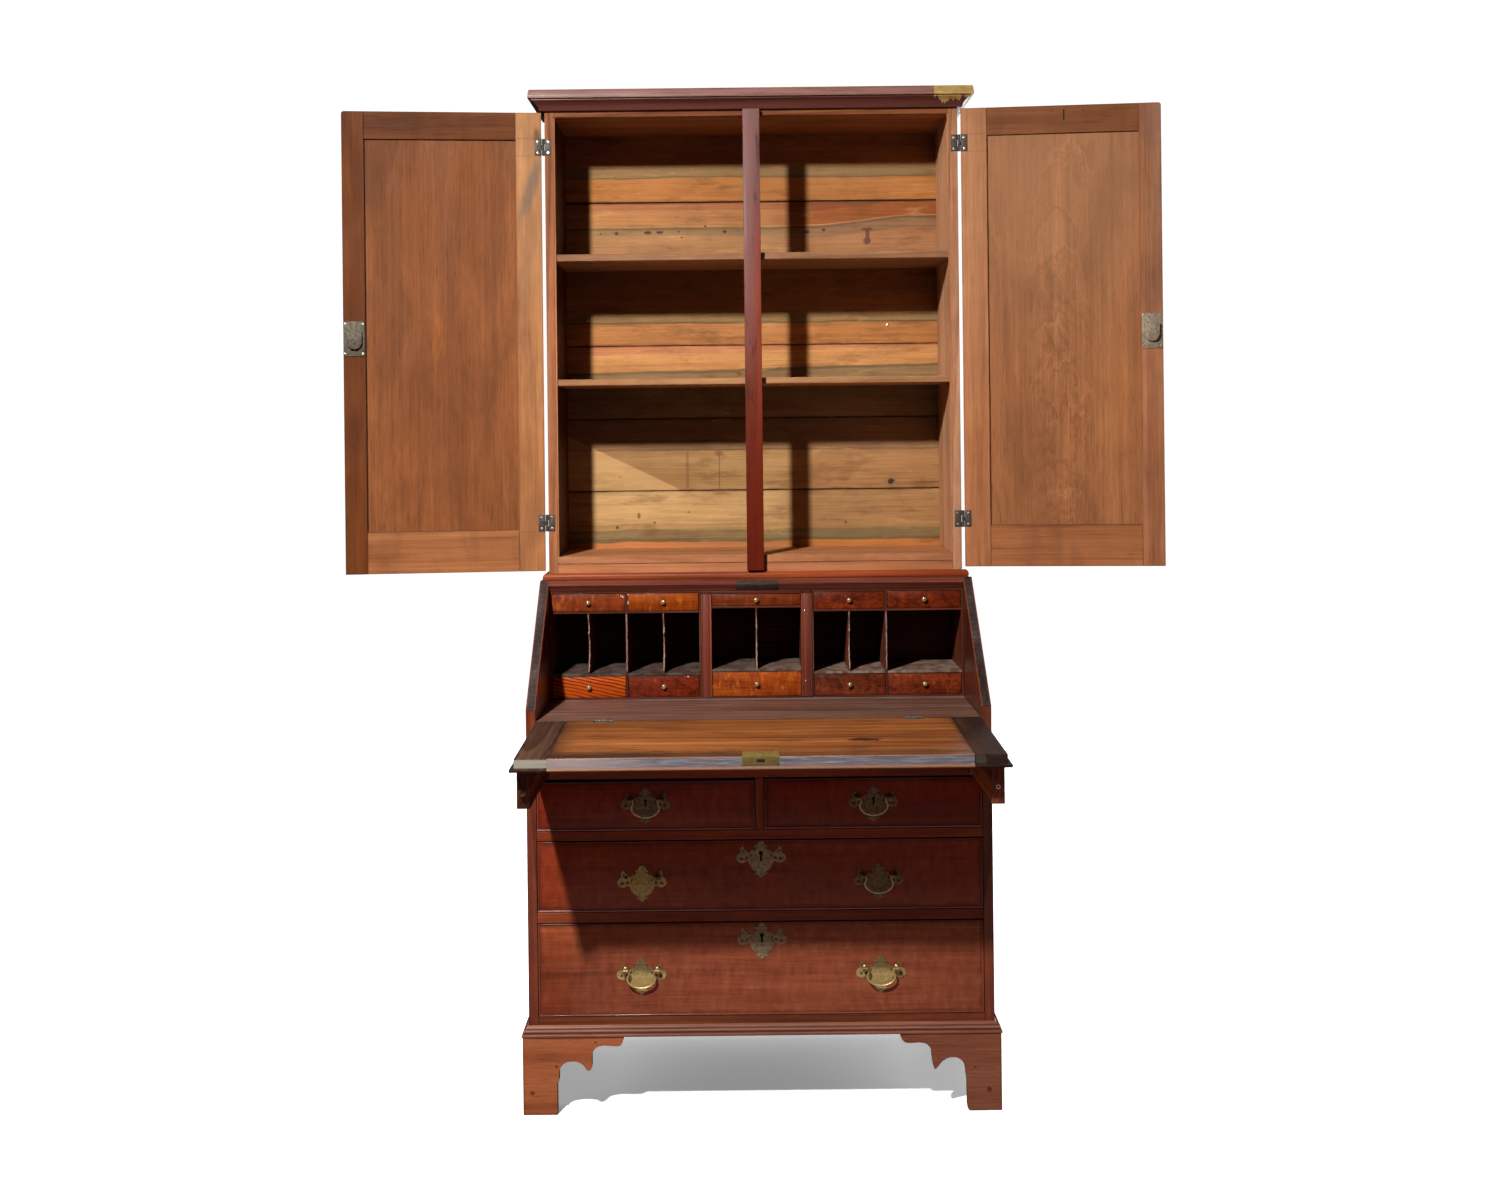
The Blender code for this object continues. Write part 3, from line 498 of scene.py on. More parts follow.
def axis_matrix(origin, axis):
    z = Vector({"x": (1, 0, 0), "-x": (-1, 0, 0), "y": (0, 1, 0), "-y": (0, -1, 0), "z": (0, 0, 1), "-z": (0, 0, -1)}.get(axis, axis)
               if isinstance(axis, str) else axis).normalized()
    x = Vector((0, 0, 1)).cross(z) if abs(z.z) < 0.9 else Vector((1, 0, 0))
    x.normalize()
    y = z.cross(x)
    m = Matrix((x, y, z)).transposed().to_4x4()
    m.translation = Vector(origin)
    return m


def facing(origin, x_axis, y_axis):
    """A matrix whose XY plane is spanned by the two axes; +Z is where the sheet faces."""
    x, y = Vector(x_axis).normalized(), Vector(y_axis).normalized()
    m = Matrix((x, y, x.cross(y))).transposed().to_4x4()
    m.translation = Vector(origin)
    return m


def circle(cx, cy, r, n=16):
    return [(cx + r * math.cos(2 * math.pi * i / n), cy + r * math.sin(2 * math.pi * i / n)) for i in range(n)]


def mirrored(points):
    return points + [(-a, b) for a, b in reversed(points) if abs(a) > 1e-6]


def span(side, a, b):
    return (a, b) if side > 0 else (-b, -a)


# =================================================================== materials
def stops(*colours):
    n = len(colours) - 1
    return [(i / n, lin(*c)) for i, c in enumerate(colours)]


M = {}
def smoky(g, colour, p, local):
    """Door frames: a slanting grey, smoke-stained streak beside a hinge, a small burn, purple-brown clouds, and painted
    light: the stiles darker low down and paler up high.
    """
    pos = g.add("ShaderNodeTexCoord").outputs["Object"]
    x, _, z = g.xyz(pos)
    rag = g.noise(g.vec("MULTIPLY", pos, (34, 34, 20)), 1.0, 4.0, 0.6)
    cloud = g.noise(g.vec("MULTIPLY", pos, (13, 13, 4)), 1.0, 3.0, 0.6)
    colour = g.mix(g.math("MULTIPLY", g.span(cloud, 0.50, 0.68), 0.40), colour, lin(112, 72, 56))
    streak = g.noise(g.vec("MULTIPLY", p, (150, 150, 2.2)), 1.0, 4.0, 0.65)
    colour = g.vec("SCALE", colour, g.span(streak, 0.28, 0.72, 0.84, 1.14, smooth=False))
    for cx, cz, lean, rx, rz, shade, much in ((-0.497, 1.962, 0.30, 0.015, 0.085, (92, 74, 68), 0.62), (-0.482, 2.078, 0.0, 0.010, 0.018, (60, 38, 30), 0.6),
                                              (0.905, 2.085, 0.0, 0.030, 0.040, (126, 84, 70), 0.35)):
        dx = g.math("SUBTRACT", g.math("SUBTRACT", x, cx), g.math("MULTIPLY", g.math("SUBTRACT", z, cz), lean))
        d = g.math("SQRT", g.math("ADD", g.math("POWER", g.math("DIVIDE", dx, rx), 2.0),
                                  g.math("POWER", g.math("DIVIDE", g.math("SUBTRACT", z, cz), rz), 2.0)))
        d = g.math("ADD", d, g.math("MULTIPLY", g.math("SUBTRACT", rag, 0.5), 1.6))
        colour = g.mix(g.math("MULTIPLY", g.span(d, 1.35, 0.25), much), colour, lin(*shade))
    # painted light: the stiles, all but the left lock stile, darker and redder low down, paler and greyer up high
    far = g.math("ABSOLUTE", x)
    rails = g.math("MULTIPLY", g.span(far, 0.526, 0.534), g.span(far, 0.878, 0.872))
    stiles = g.math("MULTIPLY", g.math("SUBTRACT", 1.0, rails), g.span(x, -0.84, -0.80))
    painted_light_grade = g.mix(g.span(z, 1.35, 2.0, smooth=False), g.vec("MULTIPLY", colour, (0.90, 0.87, 0.83)), g.vec("MULTIPLY", colour, (1.10, 1.28, 1.38)))
    colour = g.mix(stiles, colour, painted_light_grade)
    _, deep, _ = g.xyz(local)
    return g.mix(g.span(deep, -0.0085, -0.0097), colour, g.vec("MULTIPLY", colour, (0.56, 0.32, 0.26)))


def figured(g, colour, p, local):
    """Door panels: fine dark vessel lines, soft brown clouds and, on one door, a faint flame down the middle."""
    pos = g.add("ShaderNodeTexCoord").outputs["Object"]
    x, _, z = g.xyz(pos)
    lx, _, lz = g.xyz(local)
    cloud = g.noise(g.vec("MULTIPLY", p, (8, 8, 2.6)), 1.0, 5.0, 0.62, 0.8)
    colour = g.mix(g.math("MULTIPLY", g.span(cloud, 0.46, 0.66), 0.50), colour, lin(106, 66, 42))
    colour = g.mix(g.math("MULTIPLY", g.span(cloud, 0.46, 0.28), 0.40), colour, lin(184, 116, 66))
    streak = g.noise(g.vec("MULTIPLY", p, (120, 120, 1.6)), 1.0, 4.0, 0.65)
    colour = g.vec("SCALE", colour, g.span(streak, 0.28, 0.72, 0.84, 1.14, smooth=False))
    # flame: uneven arches nested up the board's middle
    bend = g.noise(g.vec("MULTIPLY", p, (13, 13, 4.5)), 1.0, 5.0, 0.62)
    drift = g.noise(g.vec("MULTIPLY", p, (2, 2, 2.4)), 1.0, 2.0, 0.5)
    off = g.math("ADD", lx, g.math("MULTIPLY", g.math("SUBTRACT", drift, 0.5), 0.10))
    arch = g.math("ADD", g.math("MULTIPLY", g.math("POWER", off, 2.0), 19.0), lz)
    arch = g.math("ADD", arch, g.math("MULTIPLY", bend, 0.42))
    wave_ = g.noise(g.join(g.math("MULTIPLY", arch, 46.0), g.math("MULTIPLY", off, 5.0), 0.0), 1.0, 2.0, 0.5)
    keep = g.math("MULTIPLY", g.span(g.math("ABSOLUTE", off), 0.10, 0.02), g.span(x, 0.40, 0.60, 0.16, 1.0))
    line = g.math("MULTIPLY", g.span(wave_, 0.50, 0.62), g.math("MULTIPLY", keep, 0.34))
    colour = g.mix(line, colour, lin(104, 62, 38))
    glint = g.math("MULTIPLY", g.span(wave_, 0.44, 0.34), g.math("MULTIPLY", keep, 0.25))
    colour = g.mix(glint, colour, lin(196, 134, 90))
    dash = g.noise(g.vec("MULTIPLY", p, (900, 900, 26)), 1.0, 2.0, 0.5)
    colour = g.mix(g.math("MULTIPLY", g.span(dash, 0.58, 0.70), 0.50), colour, lin(80, 46, 28))
    up = g.math("MULTIPLY", g.span(z, 1.45, 2.05), g.span(x, 0.40, 0.60))
    colour = g.mix(g.math("MULTIPLY", up, 0.28), colour, lin(186, 140, 108))
    _, deep, _ = g.xyz(local)
    return g.mix(g.span(deep, -0.0024, -0.0033), colour, g.vec("MULTIPLY", colour, (0.56, 0.32, 0.26)))


M["door"] = wood("wood_door_frame", stops((126, 76, 46), (154, 98, 62), (168, 110, 72), (184, 124, 84)), rings=0.14, ring_gap=0.013,
                 wide=(18, 1.2), fine=(360, 6.0), mottle=0.22, mottle_size=(18, 14), grime=lin(80, 46, 32), grime_width=0.0035,
                 grime_amount=0.45, roughness=(0.50, 0.64), blotch=0.12, pores=0.34, extra=smoky, specular=0.14)
M["door_panel"] = wood("wood_door_panel", stops((118, 72, 44), (140, 87, 55), (152, 97, 62), (170, 112, 74)), rings=0.06, ring_gap=0.02,
                       wide=(10, 0.8), fine=(430, 7.0), mottle=0.30, mottle_size=(10, 6), grime=lin(168, 110, 68), grime_width=0.012,
                       grime_amount=0.35, roughness=(0.50, 0.64), blotch=0.14, pores=0.34, extra=figured, specular=0.14)


def shaded_side(g, colour, p, local):
    """The left side's inner face, painted dark as shade; polished dark outside."""
    nx, _, _ = g.xyz(g.add("ShaderNodeNewGeometry").outputs["Normal"])
    x, _, _ = g.xyz(g.add("ShaderNodeTexCoord").outputs["Object"])
    inner = g.math("MULTIPLY", g.span(nx, 0.5, 0.9), g.span(x, -0.40, -0.43))
    colour = g.mix(g.math("MULTIPLY", inner, 0.86), colour, lin(54, 20, 10))
    outside = g.math("MULTIPLY", g.span(g.math("MULTIPLY", nx, g.math("SIGN", x)), 0.5, 0.9), g.span(g.math("ABSOLUTE", x), 0.4640, 0.4650))
    return g.mix(outside, colour, g.vec("MULTIPLY", colour, (0.36, 0.17, 0.12)))


def shaded_inside(g, colour, p, local):
    """Inner faces of the desk's sides, dark and reddish."""
    nx, _, _ = g.xyz(g.add("ShaderNodeNewGeometry").outputs["Normal"])
    x, _, _ = g.xyz(g.add("ShaderNodeTexCoord").outputs["Object"])
    inner = g.math("MULTIPLY", g.span(g.math("MULTIPLY", nx, g.math("SIGN", x)), -0.5, -0.9), g.span(g.math("ABSOLUTE", x), 0.440, 0.455))
    return g.mix(g.math("MULTIPLY", inner, 0.75), colour, lin(56, 24, 18))


def cornice_faces(g, colour, p, local):
    """A pale top fascia, worn and with a painted highlight, over a cove darkened as painted shade, and a pale repair
    let into one corner.
    """
    pos = g.add("ShaderNodeTexCoord").outputs["Object"]
    x, y, z = g.xyz(pos)
    worn = g.noise(g.vec("MULTIPLY", pos, (9, 9, 160)), 1.0, 3.0, 0.6)
    # pale top fascia: wear and a painted highlight
    colour = g.mix(g.math("MULTIPLY", g.span(z, 2.1560, 2.1575), g.span(worn, 0.25, 0.6, 0.35, 0.8)), colour, lin(150, 108, 98))
    # painted shade on the cove below the fascia
    colour = g.mix(g.math("MULTIPLY", g.math("MULTIPLY", g.span(z, 2.1560, 2.1555), g.span(z, 2.13, 2.132)), 0.55), colour, lin(70, 39, 33))
    tooth = g.noise(g.join(g.math("MULTIPLY", x, 95.0), 0.3, 0.7), 1.0, 3.0, 0.7)
    low = g.math("ADD", 2.1490, g.math("MULTIPLY", g.math("SUBTRACT", tooth, 0.5), 0.045))
    mask = g.math("MULTIPLY", g.span(g.math("SUBTRACT", z, low), -0.0004, 0.0004),
                  g.span(g.math("ADD", x, g.math("MULTIPLY", tooth, 0.006)), 0.4130, 0.4138))
    mask = g.math("MULTIPLY", mask, g.span(g.math("ADD", y, g.math("MULTIPLY", tooth, 0.010)), 0.3480, 0.3440))
    flaw = g.noise(g.vec("MULTIPLY", pos, (60, 60, 300)), 1.0, 4.0, 0.65)
    pale = g.ramp(flaw, [(0.3, lin(150, 116, 60)), (0.7, lin(196, 168, 104))])
    return g.mix(g.math("MULTIPLY", mask, 0.94), colour, pale)


def knots(g, colour, p, local):
    """Feet: small round knots and dark flecks."""
    pos = g.add("ShaderNodeTexCoord").outputs["Object"]
    x, _, z = g.xyz(pos)
    rag = g.noise(pos, 150.0, 3.0, 0.6)
    for cx, cz, r, much in ((0.4684, 0.0436, 0.0060, 0.75), (-0.4750, 0.0452, 0.0050, 0.7), (-0.4249, 0.1002, 0.0040, 0.6),
                            (-0.3437, 0.1487, 0.0036, 0.6), (0.4400, 0.0900, 0.0030, 0.5)):
        colour = blot(g, colour, x, z, cx, cz, r, r * 0.8, (62, 30, 20), much, rag=rag)
    fleck = g.noise(g.vec("MULTIPLY", p, (500, 500, 30)), 1.0, 2.0, 0.5)
    return g.mix(g.math("MULTIPLY", g.span(fleck, 0.60, 0.70), 0.45), colour, lin(84, 42, 24))


def blot(g, colour, x, z, cx, cz, rx, rz, shade, much=0.9, soft=0.35, rag=None):
    """A small stain: an ellipse on the board's face, ragged if a noise is given."""
    d = g.math("SQRT", g.math("ADD", g.math("POWER", g.math("DIVIDE", g.math("SUBTRACT", x, cx), rx), 2.0),
                              g.math("POWER", g.math("DIVIDE", g.math("SUBTRACT", z, cz), rz), 2.0)))
    if rag is not None:
        d = g.math("ADD", d, g.math("MULTIPLY", g.math("SUBTRACT", rag, 0.5), 1.2))
    return g.mix(g.math("MULTIPLY", g.span(d, 1 + soft, 1 - soft), much), colour, lin(*shade))


def front_edge_wear_and_highlight(g, colour, p, local):
    """Pale, rubbed front edges with a painted highlight on the thin partitions, along the open pigeonholes only; front
    faces darker.
    """
    _, ny, _ = g.xyz(g.add("ShaderNodeNewGeometry").outputs["Normal"])
    pos = g.add("ShaderNodeTexCoord").outputs["Object"]
    x, _, z = g.xyz(pos)
    _, side, _ = g.xyz(local)
    n = g.noise(g.vec("MULTIPLY", pos, (60, 60, 90)), 1.0, 3.0, 0.6)
    wob = g.noise(g.join(0.2, 0.4, g.math("MULTIPLY", z, 85.0)), 1.0, 2.0, 0.5)
    shift = g.math("ADD", side, g.math("MULTIPLY", g.math("SUBTRACT", wob, 0.5), 0.003))
    band = g.math("MULTIPLY", g.span(g.math("ABSOLUTE", shift), 0.0013, 0.0006), g.math("MULTIPLY", g.span(z, 0.872, 0.876), g.span(z, 1.003, 0.999)))
    far = g.math("ABSOLUTE", x)
    wall = g.math("MULTIPLY", g.span(far, 0.100, 0.105), g.span(far, 0.165, 0.160))
    band = g.math("MULTIPLY", band, g.math("SUBTRACT", 1.0, g.math("MULTIPLY", wall, 0.85)))
    face = g.span(ny, -0.3, -0.8)
    colour = g.mix(g.math("MULTIPLY", face, 0.5), colour, lin(60, 32, 26))
    # the pale line is a painted highlight along the rubbed front edge
    return g.mix(g.math("MULTIPLY", g.math("MULTIPLY", face, band), g.span(n, 0.32, 0.60, 0.30, 0.85)), colour, lin(164, 150, 142))


M["case"] = wood("wood_case_inside", stops((130, 76, 46), (172, 112, 74), (192, 132, 92), (206, 148, 106)), rings=0.2, ring_gap=0.014,
                 mottle=0.15, mottle_size=(14, 10), grime=lin(90, 48, 30), grime_width=0.003, grime_amount=0.4, roughness=(0.5, 0.65),
                 specular=0.15, extra=shaded_side)
M["outer"] = wood("wood_outer", stops((70, 24, 12), (112, 44, 24), (142, 62, 34), (166, 82, 48)), rings=0.25, ring_gap=0.012,
                  mottle=0.12, mottle_size=(18, 8), grime=lin(28, 14, 10), grime_width=0.008, grime_amount=0.5, roughness=(0.26, 0.42),
                  coat=0.10, coat_rough=0.22, blotch=0.2, extra=shaded_inside)
M["dark"] = wood("wood_dark_moulding", stops((52, 20, 18), (88, 40, 34), (112, 56, 46), (134, 74, 62)), rings=0.15, ring_gap=0.008,
                 grime=lin(30, 14, 12), grime_width=0.004, grime_amount=0.4, roughness=(0.30, 0.48), coat=0.08, coat_rough=0.2,
                 specular=0.35, extra=cornice_faces)


def faded(g, colour, p, local):
    """Greyed and purplish near the top, redder lower down, and red along one side."""
    pos = g.add("ShaderNodeTexCoord").outputs["Object"]
    x, _, z = g.xyz(pos)
    cloud = g.noise(g.vec("MULTIPLY", pos, (40, 40, 6)), 1.0, 3.0, 0.6)
    up = g.span(g.math("ADD", z, g.math("MULTIPLY", g.math("SUBTRACT", cloud, 0.5), 0.25)), 1.45, 2.15, smooth=False)
    colour = g.mix(g.math("MULTIPLY", up, 0.62), colour, lin(138, 106, 106))
    drip = g.noise(g.vec("MULTIPLY", pos, (70, 70, 9)), 1.0, 4.0, 0.65)
    colour = g.mix(g.math("MULTIPLY", g.span(drip, 0.52, 0.66), 0.50), colour, lin(48, 16, 10))
    red = g.math("MULTIPLY", g.span(g.math("ADD", x, g.math("MULTIPLY", g.math("SUBTRACT", cloud, 0.5), 0.02)), 0.002, 0.012), g.span(z, 1.98, 1.80))
    colour = g.mix(g.math("MULTIPLY", red, 0.45), colour, lin(150, 62, 34))
    return g.mix(g.math("MULTIPLY", g.span(z, 1.60, 1.25), 0.75), colour, lin(92, 21, 5))


M["stile"] = wood("wood_centre_stile", stops((62, 22, 12), (94, 38, 22), (112, 48, 28), (132, 62, 36)), rings=0.2, ring_gap=0.009,
                  grime=lin(40, 14, 10), grime_width=0.0012, grime_amount=0.3, roughness=(0.42, 0.58), coat=0.02, specular=0.15, extra=faded)
M["gallery"] = wood("wood_gallery", stops((52, 22, 16), (88, 40, 26), (112, 56, 36), (134, 72, 48)), rings=0.2,
                    grime=lin(26, 14, 10), grime_width=0.002, grime_amount=0.4, roughness=(0.45, 0.65), specular=0.18)


def dust(g, colour, p, local):
    """Grey dust lying on a flat board, and painted shade: the whole floor darker towards the left."""
    pos = g.add("ShaderNodeTexCoord").outputs["Object"]
    cloud = g.noise(g.vec("MULTIPLY", pos, (38, 24, 20)), 1.0, 4.0, 0.65)
    grit = g.noise(pos, 420.0, 2.0, 0.6)
    cover = g.math("ADD", g.math("MULTIPLY", cloud, 0.8), g.math("MULTIPLY", grit, 0.2))
    colour = g.mix(g.math("MULTIPLY", g.span(cover, 0.42, 0.60), 0.62), colour, lin(146, 128, 116))
    # painted shade: the floors of the left and middle bays are darkened
    x, _, _ = g.xyz(pos)
    return g.vec("SCALE", colour, g.span(x, -0.10, 0.24, 0.45, 1.08))


M["dusty"] = wood("wood_dusty_floor", stops((56, 34, 26), (86, 58, 46), (108, 76, 60), (126, 94, 78)), rings=0.1,
                  grime=lin(30, 20, 16), grime_width=0.002, grime_amount=0.3, roughness=(0.7, 0.85), extra=dust)
def tiger(g, colour, p, local):
    """Fine slanting dark stripes of uneven strength."""
    lx, _, lz = g.xyz(local)
    wob = g.noise(g.vec("MULTIPLY", p, (22, 22, 9)), 1.0, 3.0, 0.6)
    run = g.math("ADD", g.math("ADD", lx, g.math("MULTIPLY", lz, 0.24)), g.math("MULTIPLY", wob, 0.012))
    band = g.math("SINE", g.math("MULTIPLY", run, 800.0))
    weak = g.noise(g.join(g.math("MULTIPLY", run, 60.0), g.math("MULTIPLY", lz, 6.0), 0.3), 1.0, 3.0, 0.6)
    return g.mix(g.math("MULTIPLY", g.span(band, -0.1, 0.8), g.span(weak, 0.30, 0.60, 0.45, 0.95)), colour, lin(86, 28, 8))


def burl(g, colour, p, local):
    """Swirling dark clouds with lighter tongues between them."""
    swirl = g.noise(g.vec("MULTIPLY", p, (46, 46, 36)), 1.0, 4.0, 0.62, 1.6)
    small = g.noise(g.vec("MULTIPLY", p, (150, 150, 120)), 1.0, 3.0, 0.6, 0.8)
    mixed = g.math("ADD", g.math("MULTIPLY", swirl, 0.7), g.math("MULTIPLY", small, 0.3))
    colour = g.mix(g.math("MULTIPLY", g.span(mixed, 0.50, 0.62), 0.62), colour, lin(48, 17, 10))
    return g.mix(g.math("MULTIPLY", g.span(mixed, 0.46, 0.34), 0.50), colour, lin(176, 84, 42))


def tongues(g, colour, p, local):
    """Short upright flames, amber on brown."""
    tall = g.noise(g.vec("MULTIPLY", p, (34, 34, 95)), 1.0, 4.0, 0.62, 0.7)
    colour = g.mix(g.math("MULTIPLY", g.span(tall, 0.52, 0.66), 0.50), colour, lin(98, 40, 14))
    return g.mix(g.math("MULTIPLY", g.span(tall, 0.46, 0.32), 0.45), colour, lin(222, 140, 62))


M["stripe"] = wood("wood_striped", stops((142, 66, 26), (178, 88, 38), (198, 104, 46), (222, 132, 66)), rings=0.10, ring_gap=0.0072,
                   slope=0.22, wave=0.006, extra=tiger, grime=lin(30, 12, 8), grime_width=0.0024, grime_amount=0.8, roughness=(0.30, 0.44), coat=0.03,
                   specular=0.2)
M["flame_dark"] = wood("wood_flame_dark", stops((74, 28, 16), (104, 44, 25), (128, 58, 32), (156, 76, 44)), rings=0.10, ring_gap=0.008,
                       slope=0.5, wave=0.025, fine=(240, 12), mottle=0.30, mottle_size=(26, 90), grime=lin(20, 8, 6), grime_width=0.0026, extra=burl,
                       grime_amount=0.85, roughness=(0.30, 0.44), coat=0.03, coat_rough=0.15, specular=0.2)
M["flame"] = wood("wood_flame", stops((104, 44, 18), (142, 67, 28), (168, 86, 38), (194, 112, 54)), rings=0.08, ring_gap=0.007, slope=0.25,
                  wave=0.025, fine=(240, 12), mottle=0.25, mottle_size=(24, 90), grime=lin(24, 10, 6), grime_width=0.0026, grime_amount=0.85, extra=tongues,
                  roughness=(0.30, 0.44), coat=0.03, coat_rough=0.15, specular=0.2)
def left_end(g, colour, p, local):
    """Deeper and redder towards the left end."""
    x, _, _ = g.xyz(g.add("ShaderNodeTexCoord").outputs["Object"])
    return g.mix(g.span(x, -0.355, -0.425), colour, g.vec("MULTIPLY", colour, (0.93, 0.76, 0.60)))


M["drawer"] = wood("wood_drawer_front", stops((98, 36, 17), (122, 48, 24), (138, 58, 30), (158, 74, 40)), rings=0.07, ring_gap=0.017,
                   wide=(14, 0.9), fine=(300, 7.0), mottle=0.34, mottle_size=(34, 75), grime=lin(58, 20, 12), grime_width=0.010, grime_amount=0.45,
                   roughness=(0.30, 0.44), coat=0.05, coat_rough=0.22, blotch=0.12, specular=0.28, pores=0.30, extra=left_end)
M["inside"] = wood("wood_drawer_lining", stops((150, 110, 70), (186, 146, 98), (204, 166, 116), (220, 186, 136)), rings=0.3,
                   ring_gap=0.006, roughness=(0.6, 0.75), grime_width=0.004, grime_amount=0.3)
M["foot"] = wood("wood_foot", stops((122, 60, 32), (146, 78, 42), (160, 90, 52), (176, 106, 64)), rings=0.04, ring_gap=0.009,
                 fine=(260, 9.0), mottle=0.10, mottle_size=(60, 20), grime=lin(70, 32, 20), grime_width=0.006, grime_amount=0.5,
                 roughness=(0.40, 0.55), coat=0.02, blotch=0.1, specular=0.2, extra=knots)
M["rail"] = wood("wood_rail", stops((100, 38, 19), (136, 60, 32), (156, 76, 42), (176, 94, 55)), rings=0.12, grime=lin(40, 18, 12),
                 grime_width=0.003, grime_amount=0.4, roughness=(0.32, 0.46), coat=0.03, specular=0.22, blotch=0.25)
def quirks(g, colour, p, local):
    """Dark in the hollows of the base moulding, old polish and painted shade; a pale line on the bead between them, a
    painted highlight.
    """
    _, _, z = g.xyz(g.add("ShaderNodeTexCoord").outputs["Object"])
    rag = g.noise(g.vec("MULTIPLY", p, (60, 60, 24)), 1.0, 4.0, 0.65)
    at = g.math("ADD", z, g.math("MULTIPLY", g.math("SUBTRACT", rag, 0.5), 0.0024))
    low = g.math("MULTIPLY", g.span(at, 0.1652, 0.1662), g.span(at, 0.1698, 0.1690))
    top = g.math("MULTIPLY", g.span(at, 0.1740, 0.1748), g.span(at, 0.1776, 0.1766))
    colour = g.mix(g.math("MULTIPLY", low, 0.62), colour, lin(50, 22, 15))
    colour = g.mix(g.math("MULTIPLY", top, 0.55), colour, lin(50, 22, 15))
    # painted highlight along the bead
    rub = g.math("MULTIPLY", g.span(at, 0.1700, 0.1708), g.span(at, 0.1734, 0.1726))
    return g.mix(g.math("MULTIPLY", rub, 0.35), colour, lin(190, 110, 66))


M["base_mould"] = wood("wood_base_moulding", stops((100, 38, 19), (136, 60, 32), (156, 76, 42), (176, 94, 55)), rings=0.12, grime=lin(40, 18, 12),
                       grime_width=0.003, grime_amount=0.4, roughness=(0.32, 0.46), coat=0.03, specular=0.22, blotch=0.25, extra=quirks)
M["patch"] = wood("wood_new_repair", stops((176, 138, 66), (196, 158, 82), (208, 172, 96), (218, 184, 110)), rings=0.1, roughness=(0.55, 0.7),
                  grime_width=0.001, grime_amount=0.2, blotch=0.05)


def backboard(name, low, high, left, right=None, sway=0.010, slope=0.0, lift=0.0, marks=(), over=None):
    """A wide old board with sapwood and grey heartwood that meet on a wandering line.

    left, right: (height, colour) from the bottom up, for the two halves of the board.
    """
    reach = 0.03

    def paint(g, colour, p, local):
        plain = colour
        pos = g.add("ShaderNodeTexCoord").outputs["Object"]
        x, _, z = g.xyz(pos)
        wander = g.noise(g.join(g.math("MULTIPLY", x, 3.2), low * 7.0, 0.5), 1.0, 3.0, 0.45)
        at = g.math("ADD", z, g.math("MULTIPLY", g.math("SUBTRACT", wander, 0.5), sway * 3.4))
        shiver = g.noise(g.join(g.math("MULTIPLY", x, 15.0), low * 3.0, 0.8), 1.0, 4.0, 0.6)
        at = g.math("ADD", at, g.math("MULTIPLY", g.math("SUBTRACT", shiver, 0.5), 0.0055))
        at = g.math("SUBTRACT", at, g.math("MULTIPLY", x, slope))
        if lift:
            at = g.math("SUBTRACT", at, g.math("MULTIPLY", g.span(x, 0.12, 0.40), lift))
        fac = g.span(at, low - reach, high + reach, smooth=False)

        def table(zones):
            marks_ = []
            for i, (height, c) in enumerate(zones):
                t = (height - low + reach) / (high - low + 2 * reach)
                if i == 0:
                    marks_.append((0.0, lin(*c)))
                else:
                    marks_.append((max(0.0, t - 0.004), lin(*zones[i - 1][1])))
                    marks_.append((min(1.0, t + 0.004), lin(*c)))
            return g.ramp(fac, marks_)

        zone = table(left)
        if right is not None:
            zone = g.mix(g.span(x, 0.02, 0.16), zone, table(right))
        colour = g.vec("MULTIPLY", colour, zone)
        rag = g.noise(pos, 190.0, 3.0, 0.6)
        for m in marks:
            colour = blot(g, colour, x, z, *m[:5], *(m[5:6] or (0.9,)), rag=rag)
        soil = g.noise(g.vec("MULTIPLY", p, (26, 26, 7)), 1.0, 5.0, 0.66)
        colour = g.mix(g.math("MULTIPLY", g.span(soil, 0.52, 0.68), 0.50), colour, lin(112, 74, 44))
        colour = g.mix(g.math("MULTIPLY", g.span(soil, 0.42, 0.26), 0.26), colour, lin(236, 184, 118))
        scuff = g.noise(g.vec("MULTIPLY", p, (240, 240, 5)), 1.0, 4.0, 0.7)
        colour = g.vec("SCALE", colour, g.span(scuff, 0.28, 0.72, 0.82, 1.12, smooth=False))
        specks = g.span(g.voronoi(g.vec("MULTIPLY", p, (70, 70, 46)), 1.0), 0.055, 0.02)
        colour = g.mix(g.math("MULTIPLY", specks, 0.55), colour, lin(96, 62, 40))
        if over is not None:
            colour = over(g, colour, x, z, rag)
        # painted shade: redder and darker in bands under the top and under the upper shelf, where the shadow falls
        under = g.math("MAXIMUM", g.span(z, 2.035, 2.060), g.math("MULTIPLY", g.span(z, 1.685, 1.710), g.span(z, 1.840, 1.820)))
        colour = g.mix(under, colour, g.vec("MULTIPLY", colour, (0.97, 0.66, 0.54)))
        colour = g.mix(g.span(x, -0.05, 0.25), colour, g.vec("MULTIPLY", colour, (1.12, 1.18, 1.30)))
        _, deep, _ = g.xyz(local)
        return g.mix(g.span(deep, 0.0040, 0.0054), colour, g.vec("MULTIPLY", plain, lin(150, 112, 78)))

    grain = [(0.0, (0.56, 0.50, 0.42)), (0.45, (0.79, 0.765, 0.71)), (1.0, (0.97, 0.95, 0.90))]
    return wood(name, grain, rings=0.10, ring_gap=0.020, wide=(24, 0.9), fine=(260, 6.0), wave=0.016, mottle=0.26, mottle_size=(22, 18),
                grime=lin(70, 40, 24), grime_width=0.0045, grime_amount=0.62, roughness=(0.55, 0.7), blotch=0.14, pores=0.30, extra=paint,
                specular=0.2)


